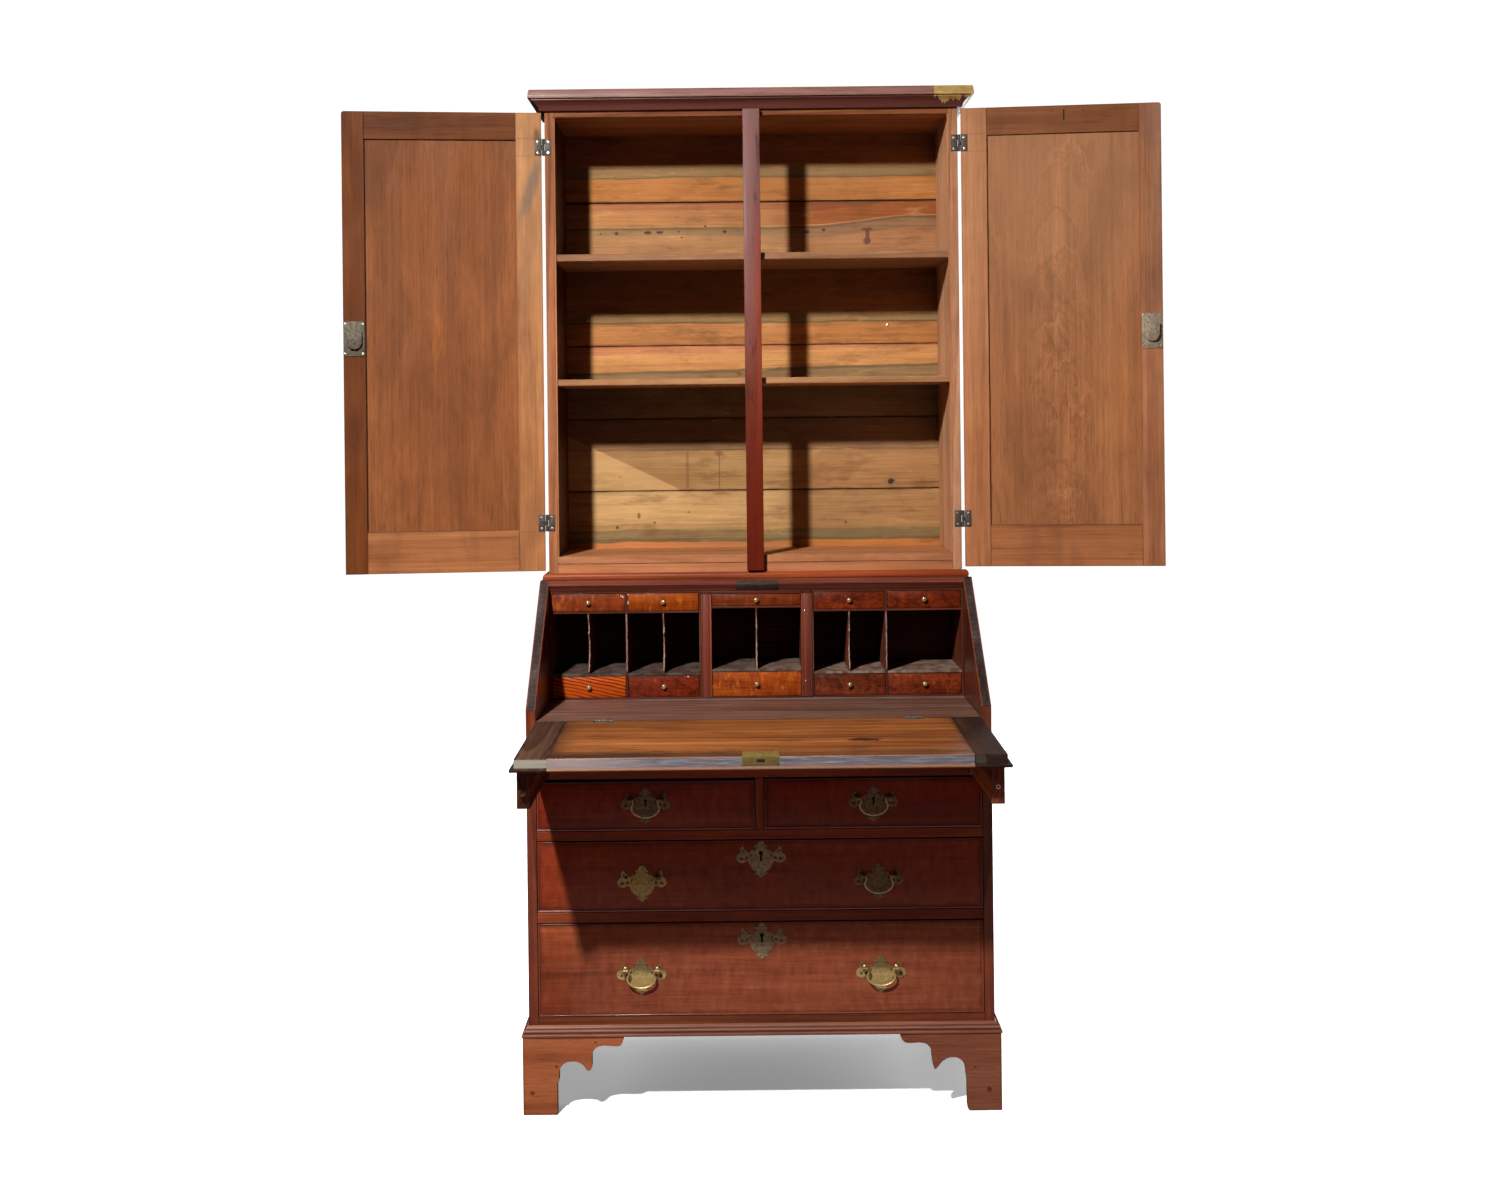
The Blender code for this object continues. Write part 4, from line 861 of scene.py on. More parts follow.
def dried_runs(g, colour, x, z, rag):
    """Old runs, and a paler triangle under a slanting line with a darker strip above it."""
    line = g.math("SUBTRACT", g.math("SUBTRACT", 1.3717, g.math("MULTIPLY", g.math("ADD", x, 0.3898), 0.4865)), z)
    pale = g.math("MULTIPLY", g.span(line, -0.001, 0.0015), g.span(x, -0.17, -0.19))
    colour = g.mix(g.math("MULTIPLY", pale, 0.35), colour, lin(232, 186, 128))
    shade = g.math("MULTIPLY", g.span(line, 0.0, -0.004), g.math("MULTIPLY", g.span(line, -0.075, -0.02), g.span(x, -0.10, -0.16)))
    colour = g.mix(g.math("MULTIPLY", shade, 0.40), colour, lin(140, 98, 58))
    for cx, half, top, foot, much in ((-0.0825, 0.0010, 1.3600, 1.2690, 0.75), (-0.1591, 0.0030, 1.3620, 1.2720, 0.45)):
        wob = g.math("ADD", x, g.math("MULTIPLY", g.math("SUBTRACT", rag, 0.5), 0.002))
        d = g.math("ABSOLUTE", g.math("SUBTRACT", wob, cx))
        run = g.math("MULTIPLY", g.span(d, half * 1.6, half * 0.5), g.math("MULTIPLY", g.span(z, foot - 0.002, foot + 0.002), g.span(z, top, top - 0.004)))
        colour = g.mix(g.math("MULTIPLY", run, much), colour, lin(112, 70, 50))
    return colour


ORANGE, TAN, GREY, PALE = (208, 142, 84), (178, 136, 92), (136, 110, 76), (206, 162, 108)
SPOT = (78, 40, 34)
M["back_5"] = backboard("wood_back_5", 1.959, 2.1446, [(1.959, (206, 136, 76)), (2.0165, GREY), (2.0205, (160, 126, 84)), (2.045, (182, 132, 84))],
                        sway=0.004)
M["back_4"] = backboard("wood_back_4", 1.826, 1.959, [(1.826, (196, 144, 98)), (1.878, (176, 136, 94)), (1.8925, (146, 118, 82)),
                                                      (1.8985, (218, 160, 104)), (1.9025, (208, 144, 90)), (1.940, (196, 124, 82))],
                        [(1.826, (184, 128, 86)), (1.870, (160, 118, 84)), (1.8925, (136, 104, 74)), (1.8985, (206, 136, 90)),
                         (1.9015, (170, 98, 52)), (1.935, (150, 84, 48))], sway=0.003, lift=0.022,
                        marks=[(-0.3234, 1.8859, 0.0048, 0.0042, SPOT), (-0.2488, 1.8872, 0.0090, 0.0036, SPOT), (-0.2199, 1.8872, 0.0085, 0.0034, SPOT),
                               (-0.0635, 1.8878, 0.0046, 0.0040, SPOT), (0.1338, 1.8850, 0.0062, 0.0044, SPOT), (0.1747, 1.8893, 0.0045, 0.0040, SPOT),
                               (0.2780, 1.8905, 0.0130, 0.0034, (100, 62, 48), 0.8), (0.2800, 1.8790, 0.0050, 0.0120, (100, 62, 48), 0.8),
                               (0.2790, 1.8620, 0.0085, 0.0085, (96, 60, 46), 0.85), (-0.3620, 1.8855, 0.0022, 0.0020, SPOT),
                               (-0.1740, 1.8885, 0.0020, 0.0020, SPOT), (-0.1670, 1.8750, 0.0024, 0.0022, SPOT), (-0.1100, 1.9010, 0.0030, 0.0022, SPOT)])
M["back_3"] = backboard("wood_back_3", 1.6145, 1.826, [(1.6145, (208, 142, 88)), (1.6680, (128, 102, 68)), (1.6720, (164, 132, 90)), (1.688, (176, 136, 90))],
                        [(1.6145, (200, 132, 76)), (1.6680, (120, 96, 62)), (1.6720, (160, 126, 84)), (1.688, (172, 130, 84))], sway=0.004)
M["back_2"] = backboard("wood_back_2", 1.439, 1.6145, [(1.439, (150, 120, 82)), (1.535, (156, 124, 84)), (1.5520, (132, 106, 72)),
                                                       (1.5590, (216, 152, 92)), (1.600, (204, 132, 88))], sway=0.003, slope=0.0177,
                        marks=[(-0.0316, 1.5477, 0.0062, 0.0060, (110, 66, 44), 0.85)])
M["back_1"] = backboard("wood_back_1", 1.266, 1.439, [(1.266, PALE), (1.345, (200, 154, 102)), (1.3615, (122, 86, 58)), (1.3640, (160, 122, 86))],
                        [(1.266, (182, 132, 84)), (1.345, (176, 128, 84)), (1.3610, (120, 84, 58)), (1.3630, (160, 120, 84))], sway=0.003,
                        marks=[(0.3299, 1.2832, 0.0170, 0.0150, (140, 108, 76), 0.6), (0.3299, 1.2832, 0.0080, 0.0066, (52, 42, 36), 0.95),
                               (0.4150, 1.2815, 0.0300, 0.0009, (92, 58, 38), 0.9), (-0.3212, 1.2993, 0.0030, 0.0028, (110, 70, 46), 0.85),
                               (-0.0825, 1.3560, 0.0100, 0.0060, (122, 80, 62), 0.7)], over=dried_runs)
M["back_0"] = backboard("wood_back_0", 1.1004, 1.266, [(1.1004, (206, 134, 82)), (1.1410, (134, 112, 78)), (1.1500, (152, 128, 88)),
                                                       (1.1700, (190, 150, 100)), (1.1850, (208, 166, 112))],
                        [(1.1004, (204, 128, 66)), (1.1430, (124, 104, 70)), (1.1500, (140, 114, 76)), (1.1720, (176, 132, 84)),
                         (1.1850, (182, 134, 86))], sway=0.006,
                        marks=[(-0.3292, 1.1782, 0.0040, 0.0036, (84, 54, 38)), (-0.2774, 1.2067, 0.0036, 0.0070, (110, 72, 48), 0.8),
                               (-0.2401, 1.1894, 0.0034, 0.0030, (104, 66, 44), 0.8), (-0.1577, 1.2136, 0.0034, 0.0024, (120, 80, 54), 0.7),
                               (0.2200, 1.1860, 0.0034, 0.0040, (104, 68, 46), 0.8)])
M["pine"] = wood("wood_backboard_outside", stops((120, 84, 54), (152, 110, 72), (168, 126, 84), (184, 142, 98)), rings=0.3, ring_gap=0.012,
                 wide=(30, 0.8), wave=0.02, grime=lin(50, 32, 20), grime_width=0.006, grime_amount=0.6, roughness=(0.6, 0.75), blotch=0.16,
                 pores=0.15)


def writing(g, colour, p, local):
    """The fall: dull and dark towards its ends and its front, an ink stain, rubbed and greyed on its edge with a
    painted sheen there, a painted highlight and painted shade on its lip; polished outside.
    """
    plain = colour
    pos = g.add("ShaderNodeTexCoord").outputs["Object"]
    x, y, z = g.xyz(pos)
    cloud = g.noise(g.vec("MULTIPLY", pos, (9, 14, 9)), 1.0, 3.0, 0.6)
    fine_ = g.noise(g.vec("MULTIPLY", pos, (40, 90, 90)), 1.0, 4.0, 0.65)
    soil = g.noise(g.vec("MULTIPLY", pos, (7, 26, 26)), 1.0, 5.0, 0.66)
    colour = g.mix(g.math("MULTIPLY", g.span(soil, 0.50, 0.70), 0.55), colour, lin(74, 40, 24))
    colour = g.mix(g.math("MULTIPLY", g.span(soil, 0.40, 0.26), 0.35), colour, lin(206, 138, 70))
    thread = g.noise(g.vec("MULTIPLY", pos, (5, 260, 260)), 1.0, 4.0, 0.7)
    colour = g.vec("SCALE", colour, g.span(thread, 0.28, 0.72, 0.58, 1.26, smooth=False))
    colour = g.vec("MULTIPLY", colour, (1.08, 1.17, 1.24))
    near = g.span(g.math("ADD", x, g.math("MULTIPLY", cloud, 0.05)), -0.325, -0.385)
    colour = g.mix(g.math("MULTIPLY", near, 0.60), colour, lin(62, 42, 33))
    far = g.math("ADD", g.math("ABSOLUTE", x), g.math("MULTIPLY", cloud, 0.12))
    colour = g.mix(g.math("MULTIPLY", g.span(far, 0.42, 0.52), 0.75), colour, lin(58, 38, 30))
    dx = g.math("DIVIDE", g.math("SUBTRACT", x, 0.205), 0.034)
    dy = g.math("DIVIDE", g.math("ADD", y, 0.225), 0.017)
    d = g.math("SQRT", g.math("ADD", g.math("POWER", dx, 2.0), g.math("POWER", dy, 2.0)))
    rag = g.noise(pos, 55.0, 4.0, 0.65)
    d = g.math("ADD", d, g.math("MULTIPLY", g.math("SUBTRACT", rag, 0.5), 2.4))
    colour = g.mix(g.math("MULTIPLY", g.span(d, 1.25, 0.55), 0.88), colour, lin(26, 20, 17))
    # dark band behind the front edge, rubbed line on the arris
    yy = g.math("ADD", y, g.math("MULTIPLY", g.math("SUBTRACT", fine_, 0.5), 0.07))
    band = g.math("MULTIPLY", g.span(yy, -0.285, -0.350), g.span(cloud, 0.30, 0.60, 0.60, 1.0))
    band = g.math("MULTIPLY", band, g.span(x, 0.10, -0.25, 0.70, 1.0))
    colour = g.mix(g.math("MULTIPLY", band, 0.92), colour, lin(50, 34, 28))
    dull = g.math("MULTIPLY", g.span(g.math("ADD", x, g.math("MULTIPLY", cloud, 0.10)), -0.10, -0.30), 0.20)
    colour = g.mix(dull, colour, lin(84, 52, 34))
    colour = g.mix(g.math("MULTIPLY", g.span(y, -0.3735, -0.3765), 0.75), colour, lin(176, 112, 64))
    # greyed front edge with a painted sheen; on the lip below it a painted highlight on top and painted shade
    # underneath
    front = g.span(y, -0.3768, -0.3776)
    scratch = g.noise(g.vec("MULTIPLY", pos, (16, 300, 420)), 1.0, 4.0, 0.7)
    greyed_edge_and_sheen = g.ramp(scratch, [(0.30, lin(62, 62, 72)), (0.52, lin(92, 94, 106)), (0.72, lin(146, 144, 150))])
    greyed_edge_and_sheen = g.vec("MULTIPLY", greyed_edge_and_sheen, (1.04, 1.24, 1.28))
    greyed_edge_and_sheen = g.mix(g.span(x, -0.16, -0.36, 0.0, 0.65), greyed_edge_and_sheen, lin(158, 148, 148))
    colour = g.mix(g.math("MULTIPLY", front, g.span(fine_, 0.30, 0.62, 0.98, 0.80)), colour, greyed_edge_and_sheen)
    lip = g.math("MULTIPLY", front, g.span(z, 0.7846, 0.7830))
    colour = g.mix(g.math("MULTIPLY", lip, 0.9), colour, lin(136, 94, 66))
    colour = g.mix(g.math("MULTIPLY", front, g.span(z, 0.7806, 0.7785)), colour, lin(96, 54, 40))
    _, deep, _ = g.xyz(local)
    return g.mix(g.span(deep, -0.0112, -0.0122), colour, g.vec("MULTIPLY", plain, (0.64, 0.33, 0.24)))


def clamped(g, colour, p, local):
    """The fall's ends: the right one darker, both redder on the outer face."""
    x, _, _ = g.xyz(g.add("ShaderNodeTexCoord").outputs["Object"])
    plain = colour
    colour = g.mix(g.math("MULTIPLY", g.span(x, 0.378, 0.432), 0.84), colour, lin(42, 31, 27))
    colour = g.mix(g.span(x, 0.0, -0.1), colour, g.vec("MULTIPLY", colour, (0.87, 1.08, 1.26)))
    _, deep, _ = g.xyz(local)
    return g.mix(g.span(deep, -0.0112, -0.0122), colour, g.vec("MULTIPLY", plain, (1.4, 0.72, 0.50)))


M["fall"] = wood("wood_fall_inside", stops((66, 30, 15), (120, 64, 30), (154, 90, 44), (186, 118, 60)), rings=0.2, ring_gap=0.01,
                 wide=(40, 0.9), fine=(220, 3.0), grime=lin(30, 18, 14), grime_width=0.010, grime_amount=0.6, roughness=(0.34, 0.52),
                 coat=0.02, coat_rough=0.3, blotch=0.25, extra=writing, specular=0.2)
M["fall_end"] = wood("wood_fall_ends", stops((44, 24, 18), (74, 44, 32), (96, 62, 44), (118, 80, 58)), rings=0.2, ring_gap=0.01,
                     wide=(40, 0.9), grime=lin(24, 16, 14), grime_width=0.010, grime_amount=0.6, roughness=(0.60, 0.75), coat=0.0,
                     coat_rough=0.28, specular=0.04, extra=clamped)


def bed_streaks(g, colour, p, local):
    """Long grey scratches and dust that gathers at the back."""
    pos = g.add("ShaderNodeTexCoord").outputs["Object"]
    _, y, _ = g.xyz(pos)
    thread = g.noise(g.vec("MULTIPLY", pos, (6, 170, 170)), 1.0, 5.0, 0.7)
    cloud = g.noise(g.vec("MULTIPLY", pos, (7, 22, 22)), 1.0, 4.0, 0.6)
    colour = g.mix(g.math("MULTIPLY", g.span(thread, 0.52, 0.70), 0.42), colour, lin(128, 112, 106))
    colour = g.mix(g.math("MULTIPLY", g.span(thread, 0.46, 0.30), 0.55), colour, lin(48, 26, 22))
    colour = g.mix(g.math("MULTIPLY", g.span(cloud, 0.50, 0.66), 0.35), colour, lin(92, 48, 34))
    back = g.math("MULTIPLY", g.span(y, 0.255, 0.288), g.span(y, 0.2945, 0.2935))
    return g.mix(g.math("MULTIPLY", back, g.span(cloud, 0.35, 0.60, 0.15, 0.70)), colour, lin(128, 114, 108))


M["bed"] = wood("wood_bed", stops((59, 34, 27), (92, 59, 46), (118, 80, 63), (138, 100, 82)), rings=0.2, ring_gap=0.01,
                wide=(50, 0.9), grime=lin(26, 16, 14), grime_width=0.006, grime_amount=0.6, roughness=(0.40, 0.58), coat=0.04,
                coat_rough=0.25, blotch=0.2, extra=bed_streaks, specular=0.3)

M["pilaster"] = wood("wood_pilaster", stops((54, 22, 16), (90, 42, 31), (110, 57, 44), (137, 78, 61)), rings=0.1, fine=(220, 3.0),
                     grime=lin(40, 20, 16), grime_width=0.001, grime_amount=0.3, roughness=(0.42, 0.58), coat=0.02, specular=0.2)
M["partition"] = wood("wood_partition", stops((52, 22, 16), (88, 40, 26), (112, 56, 36), (134, 72, 48)), rings=0.2,
                       grime=lin(26, 14, 10), grime_width=0.002, grime_amount=0.3, roughness=(0.5, 0.66), specular=0.15, extra=front_edge_wear_and_highlight)
def arrises(g, colour, p, local):
    """Reddish along both corners of the edge, dark and greyed between them."""
    lx, _, _ = g.xyz(local)
    rag = g.noise(g.vec("MULTIPLY", p, (90, 90, 26)), 1.0, 4.0, 0.65)
    at = g.math("ADD", g.math("ABSOLUTE", lx), g.math("MULTIPLY", g.math("SUBTRACT", rag, 0.5), 0.004))
    return g.mix(g.math("MULTIPLY", g.span(at, 0.0068, 0.0084), 0.75), colour, lin(126, 62, 38))


# the slanting edges: greyed by wear, with a painted sheen in the grey-blue colours
M["worn_edge"] = wood("wood_worn_edge", stops((26, 18, 17), (46, 36, 35), (66, 55, 54), (100, 88, 86)), rings=0.1, fine=(300, 8.0), extra=arrises,
                      grime=lin(30, 18, 14), grime_width=0.002, grime_amount=0.5, roughness=(0.35, 0.55), coat=0.05, blotch=0.3)
# end grain of the fall's end blocks: pale grey from scuffs and a painted highlight; the right block is tinted dark
# where it is used
M["end_block"] = wood("wood_end_block", stops((80, 76, 68), (116, 112, 102), (138, 134, 124), (162, 158, 148)), rings=0.3, ring_gap=0.004,
                      grime=lin(50, 36, 30), grime_width=0.0015, grime_amount=0.6, roughness=(0.5, 0.7))
M["loper"] = wood("wood_loper", stops((52, 18, 12), (92, 40, 26), (120, 58, 38), (146, 80, 54)), rings=0.15, fine=(320, 40.0),
                  grime=lin(30, 14, 10), grime_width=0.003, grime_amount=0.5, roughness=(0.42, 0.56), coat=0.02, specular=0.2)
M["bead"] = wood("wood_bead", stops((70, 26, 16), (104, 44, 28), (128, 60, 40), (150, 78, 54)), rings=0.1, roughness=(0.22, 0.34),
                 grime=lin(30, 12, 8), grime_width=0.0004, grime_amount=0.3, coat=0.3, coat_rough=0.14)
# a pale copy of the bead for the bottom beads: a painted highlight
M["bead_low"] = wood("wood_bead_rubbed", stops((96, 54, 50), (132, 86, 80), (158, 112, 106), (184, 142, 136)), rings=0.1, roughness=(0.22, 0.34),
                     grime=lin(40, 16, 12), grime_width=0.0004, grime_amount=0.3, coat=0.3, coat_rough=0.14)
M["groove"] = metal("groove_dark", lin(58, 34, 22), lin(30, 17, 11), (0.8, 0.9), 0.5, 60, metallic=0.0)
M["scribe"] = metal("scribed_line", lin(104, 62, 40), lin(70, 40, 26), (0.7, 0.8), 0.5, 60, metallic=0.0)
M["brass"] = metal("brass_tarnished", lin(202, 174, 110), lin(114, 93, 58), (0.38, 0.58), 0.7, 150, metallic=0.35, spots=lin(66, 50, 30))
def polished_low(g, col, p):
    """Hands have kept the lower half of these plates bright; the upper half is brown."""
    _, _, z = g.xyz(p)
    worn = g.noise(p, 90.0, 3.0, 0.6)
    at = g.math("ADD", z, g.math("MULTIPLY", g.math("SUBTRACT", worn, 0.5), 0.016))
    col = g.mix(g.math("MULTIPLY", g.span(at, 0.288, 0.297), 0.62), col, lin(92, 72, 42))
    return g.mix(g.math("MULTIPLY", g.span(at, 0.288, 0.280), 0.5), col, lin(236, 208, 140))


M["shield"] = metal("brass_escutcheon", lin(170, 152, 118), lin(99, 82, 64), (0.38, 0.58), 0.6, 150, metallic=0.35, spots=lin(60, 44, 32))
M["brass_bright"] = metal("brass_clean", lin(209, 184, 125), lin(124, 101, 63), (0.30, 0.46), 0.9, 150, metallic=0.6, spots=lin(96, 72, 40), extra=polished_low)
# a darker, less metallic copy of the brass for the plates in shade under the fall: painted shade
M["brass_dull"] = metal("brass_shaded", lin(144, 119, 84), lin(74, 58, 43), (0.42, 0.62), 0.5, 150, metallic=0.30, spots=lin(50, 36, 24))
# a paler copy for the bails in shade under the fall, so they stand out: painted light
M["bail_dull"] = metal("brass_bail_shaded", lin(224, 202, 160), lin(150, 126, 92), (0.36, 0.52), 0.5, 150, metallic=0.30)
M["knob"] = metal("brass_knob", lin(214, 190, 140), lin(118, 92, 56), (0.20, 0.34), 0.8, 300, metallic=0.7)
M["knob_dull"] = metal("brass_knob_dull", lin(156, 130, 84), lin(100, 80, 50), (0.4, 0.58), 0.5, 200, metallic=0.4)
def shaded_face(g, col, p):
    """Darker on the upright face: painted shade."""
    _, y, _ = g.xyz(p)
    return g.mix(g.math("MULTIPLY", g.span(y, -0.3766, -0.3774), 0.55), col, lin(92, 78, 36))


M["lock_brass"] = metal("brass_lock_face", lin(160, 138, 74), lin(100, 82, 42), (0.38, 0.55), 0.8, 150, metallic=0.45, spots=lin(92, 72, 44),
                        extra=shaded_face)
M["worn_ring"] = metal("wood_worn_ring", lin(250, 226, 200), lin(232, 190, 160), (0.6, 0.8), 0.7, 400, metallic=0.0)
M["chip"] = metal("old_chip", lin(220, 206, 190), lin(186, 164, 140), (0.7, 0.9), 0.8, 900, metallic=0.0)
M["iron"] = metal("iron_old", lin(122, 112, 96), lin(76, 66, 54), (0.52, 0.74), 0.7, 140, metallic=0.35, spots=lin(98, 66, 46))
M["strike"] = metal("brass_strike_dark", lin(80, 69, 57), lin(44, 37, 33), (0.45, 0.65), 0.6, 150, metallic=0.35, spots=lin(60, 40, 30))
# one lock iron in two copies: the left darker, painted shade; the right paler, painted light
M["iron_left"] = metal("iron_lock_left_shaded", lin(99, 91, 78), lin(62, 54, 44), (0.52, 0.74), 0.7, 140, metallic=0.35, spots=lin(80, 54, 38))
M["iron_lock_in_light"] = metal("iron_lock_right_lit", lin(155, 142, 122), lin(97, 84, 69), (0.52, 0.74), 0.7, 140, metallic=0.35, spots=lin(122, 84, 58))
M["iron_bed"] = metal("iron_fall_hinge", lin(100, 90, 82), lin(56, 46, 42), (0.45, 0.65), 0.7, 140, metallic=0.35, spots=lin(66, 46, 36))
M["iron_dark"] = metal("iron_hinge", lin(83, 77, 70), lin(43, 38, 34), (0.45, 0.7), 0.6, 260, metallic=0.45, spots=lin(74, 52, 38))
M["screw"] = metal("screw_steel", lin(200, 194, 180), lin(110, 100, 88), (0.3, 0.5), 0.9, 300)
M["void"] = metal("hole_dark", lin(16, 12, 10), lin(6, 5, 4), (0.8, 0.9), 0.5, 100, metallic=0.0)


def screw(piece, origin, normal, r=0.0028, tilt=0.3, mat=None):
    """A slotted countersunk head, slot cut as geometry."""
    m = axis_matrix(origin, normal)
    n = 14
    w = r * 0.16
    for side in (1, -1):
        pts = [(r * math.cos(a), side * (w + (r - w) * abs(math.sin(a)))) for a in [math.pi * i / n for i in range(n + 1)]]
        spin = Matrix.Rotation(tilt, 4, "Z")
        piece.plate([pts], 0.0006, mat or M["screw"], m @ spin, bevel=0.00012)
    piece.plate([circle(0, 0, r * 1.02, 14)], 0.00025, M["void"], m, bevel=0.00005)


# =================================================================== camera, light, floor
cam_data = bpy.data.cameras.new("camera")
cam = bpy.data.objects.new("camera", cam_data)
scene.collection.objects.link(cam)
cam.location = (-0.032, -3.728, 1.41)
cam.rotation_mode = "XYZ"
ROLL = math.radians(0.62)
cam.matrix_world = Matrix.Translation(cam.location) @ Matrix.Rotation(math.pi / 2, 4, "X") @ Matrix.Rotation(-ROLL, 4, "Z")
cam_data.sensor_width = 36
cam_data.lens = 43.2
cam_data.shift_x = 0.0067
cam_data.shift_y = -0.1133
cam_data.clip_end = 100
scene.camera = cam

world = bpy.data.worlds.new("studio")
scene.world = world
world.use_nodes = True
wt = world.node_tree
wt.nodes.clear()
out = wt.nodes.new("ShaderNodeOutputWorld")
bg_light = wt.nodes.new("ShaderNodeBackground")
bg_seen = wt.nodes.new("ShaderNodeBackground")
bg_light.inputs[0].default_value = (0.96, 0.98, 1.0, 1)
bg_light.inputs[0].default_value = (1.0, 0.66, 0.52, 1)
bg_light.inputs[1].default_value = 0.015
bg_seen.inputs[0].default_value = (1, 1, 1, 1)
bg_seen.inputs[1].default_value = 1.05
path = wt.nodes.new("ShaderNodeLightPath")
blend = wt.nodes.new("ShaderNodeMixShader")
wt.links.new(path.outputs["Is Camera Ray"], blend.inputs[0])
wt.links.new(bg_light.outputs[0], blend.inputs[1])
wt.links.new(bg_seen.outputs[0], blend.inputs[2])
wt.links.new(blend.outputs[0], out.inputs[0])


def lamp(name, place, target, power, size, colour=(1, 1, 1)):
    data = bpy.data.lights.new(name, "AREA")
    data.shape = "DISK"
    data.size = size
    data.energy = power
    data.color = colour
    obj = bpy.data.objects.new(name, data)
    scene.collection.objects.link(obj)
    obj.location = place
    obj.rotation_euler = (Vector(target) - Vector(place)).to_track_quat("-Z", "Y").to_euler()
    return obj


KEY = (-0.96, -2.12, 2.80)
key = bpy.data.lights.new("key", "SPOT")
key.energy = 540
key.color = (1.0, 0.97, 0.93)
key.shadow_soft_size = 0.07
key.spot_size = math.radians(120)
key.spot_blend = 1.0
key_lamp = bpy.data.objects.new("key", key)
scene.collection.objects.link(key_lamp)
key_lamp.location = KEY
key_lamp.rotation_euler = (Vector((0.50, 0.10, -0.10)) - Vector(KEY)).to_track_quat("-Z", "Y").to_euler()
lamp("fill_front", (1.2, -4.6, 1.9), (0, 0.2, 1.1), 5.8, 2.4, (1.0, 0.53, 0.46))
lamp("fill_back", (0.6, 4.4, 2.4), (0, 0.3, 1.1), 70, 2.4)
lamp("fill_right", (4.4, 1.6, 2.3), (0, 0.3, 1.1), 70, 2.4)
lamp("fill_left", (-4.4, 1.6, 2.3), (0, 0.3, 1.1), 40, 2.4)

floor_mesh = bpy.data.meshes.new("floor")
floor_mesh.from_pydata([(-9, -7, 0), (9, -7, 0), (9, 9, 0), (-9, 9, 0)], [], [(0, 1, 2, 3)])
floor = bpy.data.objects.new("floor", floor_mesh)
scene.collection.objects.link(floor)
# painted light: the floor glows white to the camera everywhere but a patch under the case, where the glow is low and
# the real shadow shows; bounce rays see a darker reddish floor and glossy rays a dark one
g = Graph("floor_paper")
pos = g.add("ShaderNodeTexCoord").outputs["Object"]
fx, fy, _ = g.xyz(pos)
waver = g.noise(pos, 5.0, 3.0, 0.6)
side = g.math("ADD", g.math("ABSOLUTE", fx), g.math("MULTIPLY", waver, 0.04))
near = g.math("MULTIPLY", g.span(side, 0.525, 0.470), g.span(g.math("ADD", fy, g.math("MULTIPLY", waver, 0.10)), -0.20, -0.02))
near = g.math("MULTIPLY", near, g.span(fy, 0.66, 0.42))
glow = g.span(near, 0.0, 1.0, 1.0, 0.24, smooth=False)
bounce = g.ramp(waver, [(0.3, (0.40, 0.30, 0.28)), (0.7, (0.44, 0.335, 0.31))])
g.finish(bounce, 0.9, specular=0.1)
lit = g.add("ShaderNodeBsdfDiffuse")
lit.inputs["Color"].default_value = (1.35, 1.36, 1.38, 1)
shine = g.add("ShaderNodeEmission")
g.put(shine.inputs["Strength"], glow)
both = g.add("ShaderNodeAddShader")
g.tree.links.new(lit.outputs[0], both.inputs[0])
g.tree.links.new(shine.outputs[0], both.inputs[1])
rays = g.add("ShaderNodeLightPath").outputs
dim = g.add("ShaderNodeBsdfDiffuse")
dim.inputs["Color"].default_value = (0.12, 0.12, 0.12, 1)
soft = g.add("ShaderNodeMixShader")
g.tree.links.new(rays["Is Glossy Ray"], soft.inputs[0])
g.tree.links.new(g.shader.outputs[0], soft.inputs[1])
g.tree.links.new(dim.outputs[0], soft.inputs[2])
pick = g.add("ShaderNodeMixShader")
g.tree.links.new(rays["Is Camera Ray"], pick.inputs[0])
g.tree.links.new(soft.outputs[0], pick.inputs[1])
g.tree.links.new(both.outputs[0], pick.inputs[2])
g.tree.links.new(pick.outputs[0], g.tree.nodes["Material Output"].inputs["Surface"])
floor_mesh.materials.append(g.mat)

scene.view_settings.view_transform = "Standard"
scene.view_settings.look = "None"
scene.cycles.use_denoising = True
scene.cycles.max_bounces = 8
scene.cycles.diffuse_bounces = 1
scene.cycles.glossy_bounces = 3
scene.cycles.caustics_reflective = False
scene.cycles.caustics_refractive = False

# =================================================================== dimensions shared with the CAD
GAP = 0.0003
CASE, CIN = 0.4655, 0.4455
DESK, INNER = 0.4825, 0.4625
BED = 0.811

# =================================================================== bookcase: carcase
p = Piece("upper_case_boards")
for s in (-1, 1):
    x0, x1 = span(s, CIN, CASE)
    p.board((x0, 0.3305, 1.0773), (x1, 0.6027, 2.1500), "z", M["case"], tint=(0.90, 0.82, 0.76) if s < 0 else (1.20, 1.42, 1.70))
    xa, xb = span(s, 0.4537, CASE)
    p.board((xa, 0.6027, 1.0773), (xb, 0.6150, 2.1500), "z", M["case"], bevel=0.0004)
    xa, xb = span(s, CIN - 0.0034, CIN)
    p.board((xa, 0.3303, 1.1284), (xb, 0.3342, 2.1186), "z", M["case"], bevel=0.0008, tint=(1.22, 1.18, 1.12))
# the top board's underside is tinted darker: painted shade
p.board((-CIN, 0.3305, 2.1190), (CIN, 0.6027, 2.1360), "x", M["case"], tint=(0.62, 0.50, 0.36))
p.board((-CIN, 0.3305, 1.1120), (CIN, 0.6027, 1.1280), "x", M["case"], tint=(1.0, 0.94, 0.90))
p.board((-CIN, 0.3300, 1.0773), (CIN, 0.3500, 1.1112), "x", M["case"], tint=(0.92, 0.84, 0.80))
p.board((-CIN, 0.3300, 2.1365), (CIN, 0.3500, 2.1500), "x", M["case"])
p.done("carcase", "mahogany_inner", "upper_case")

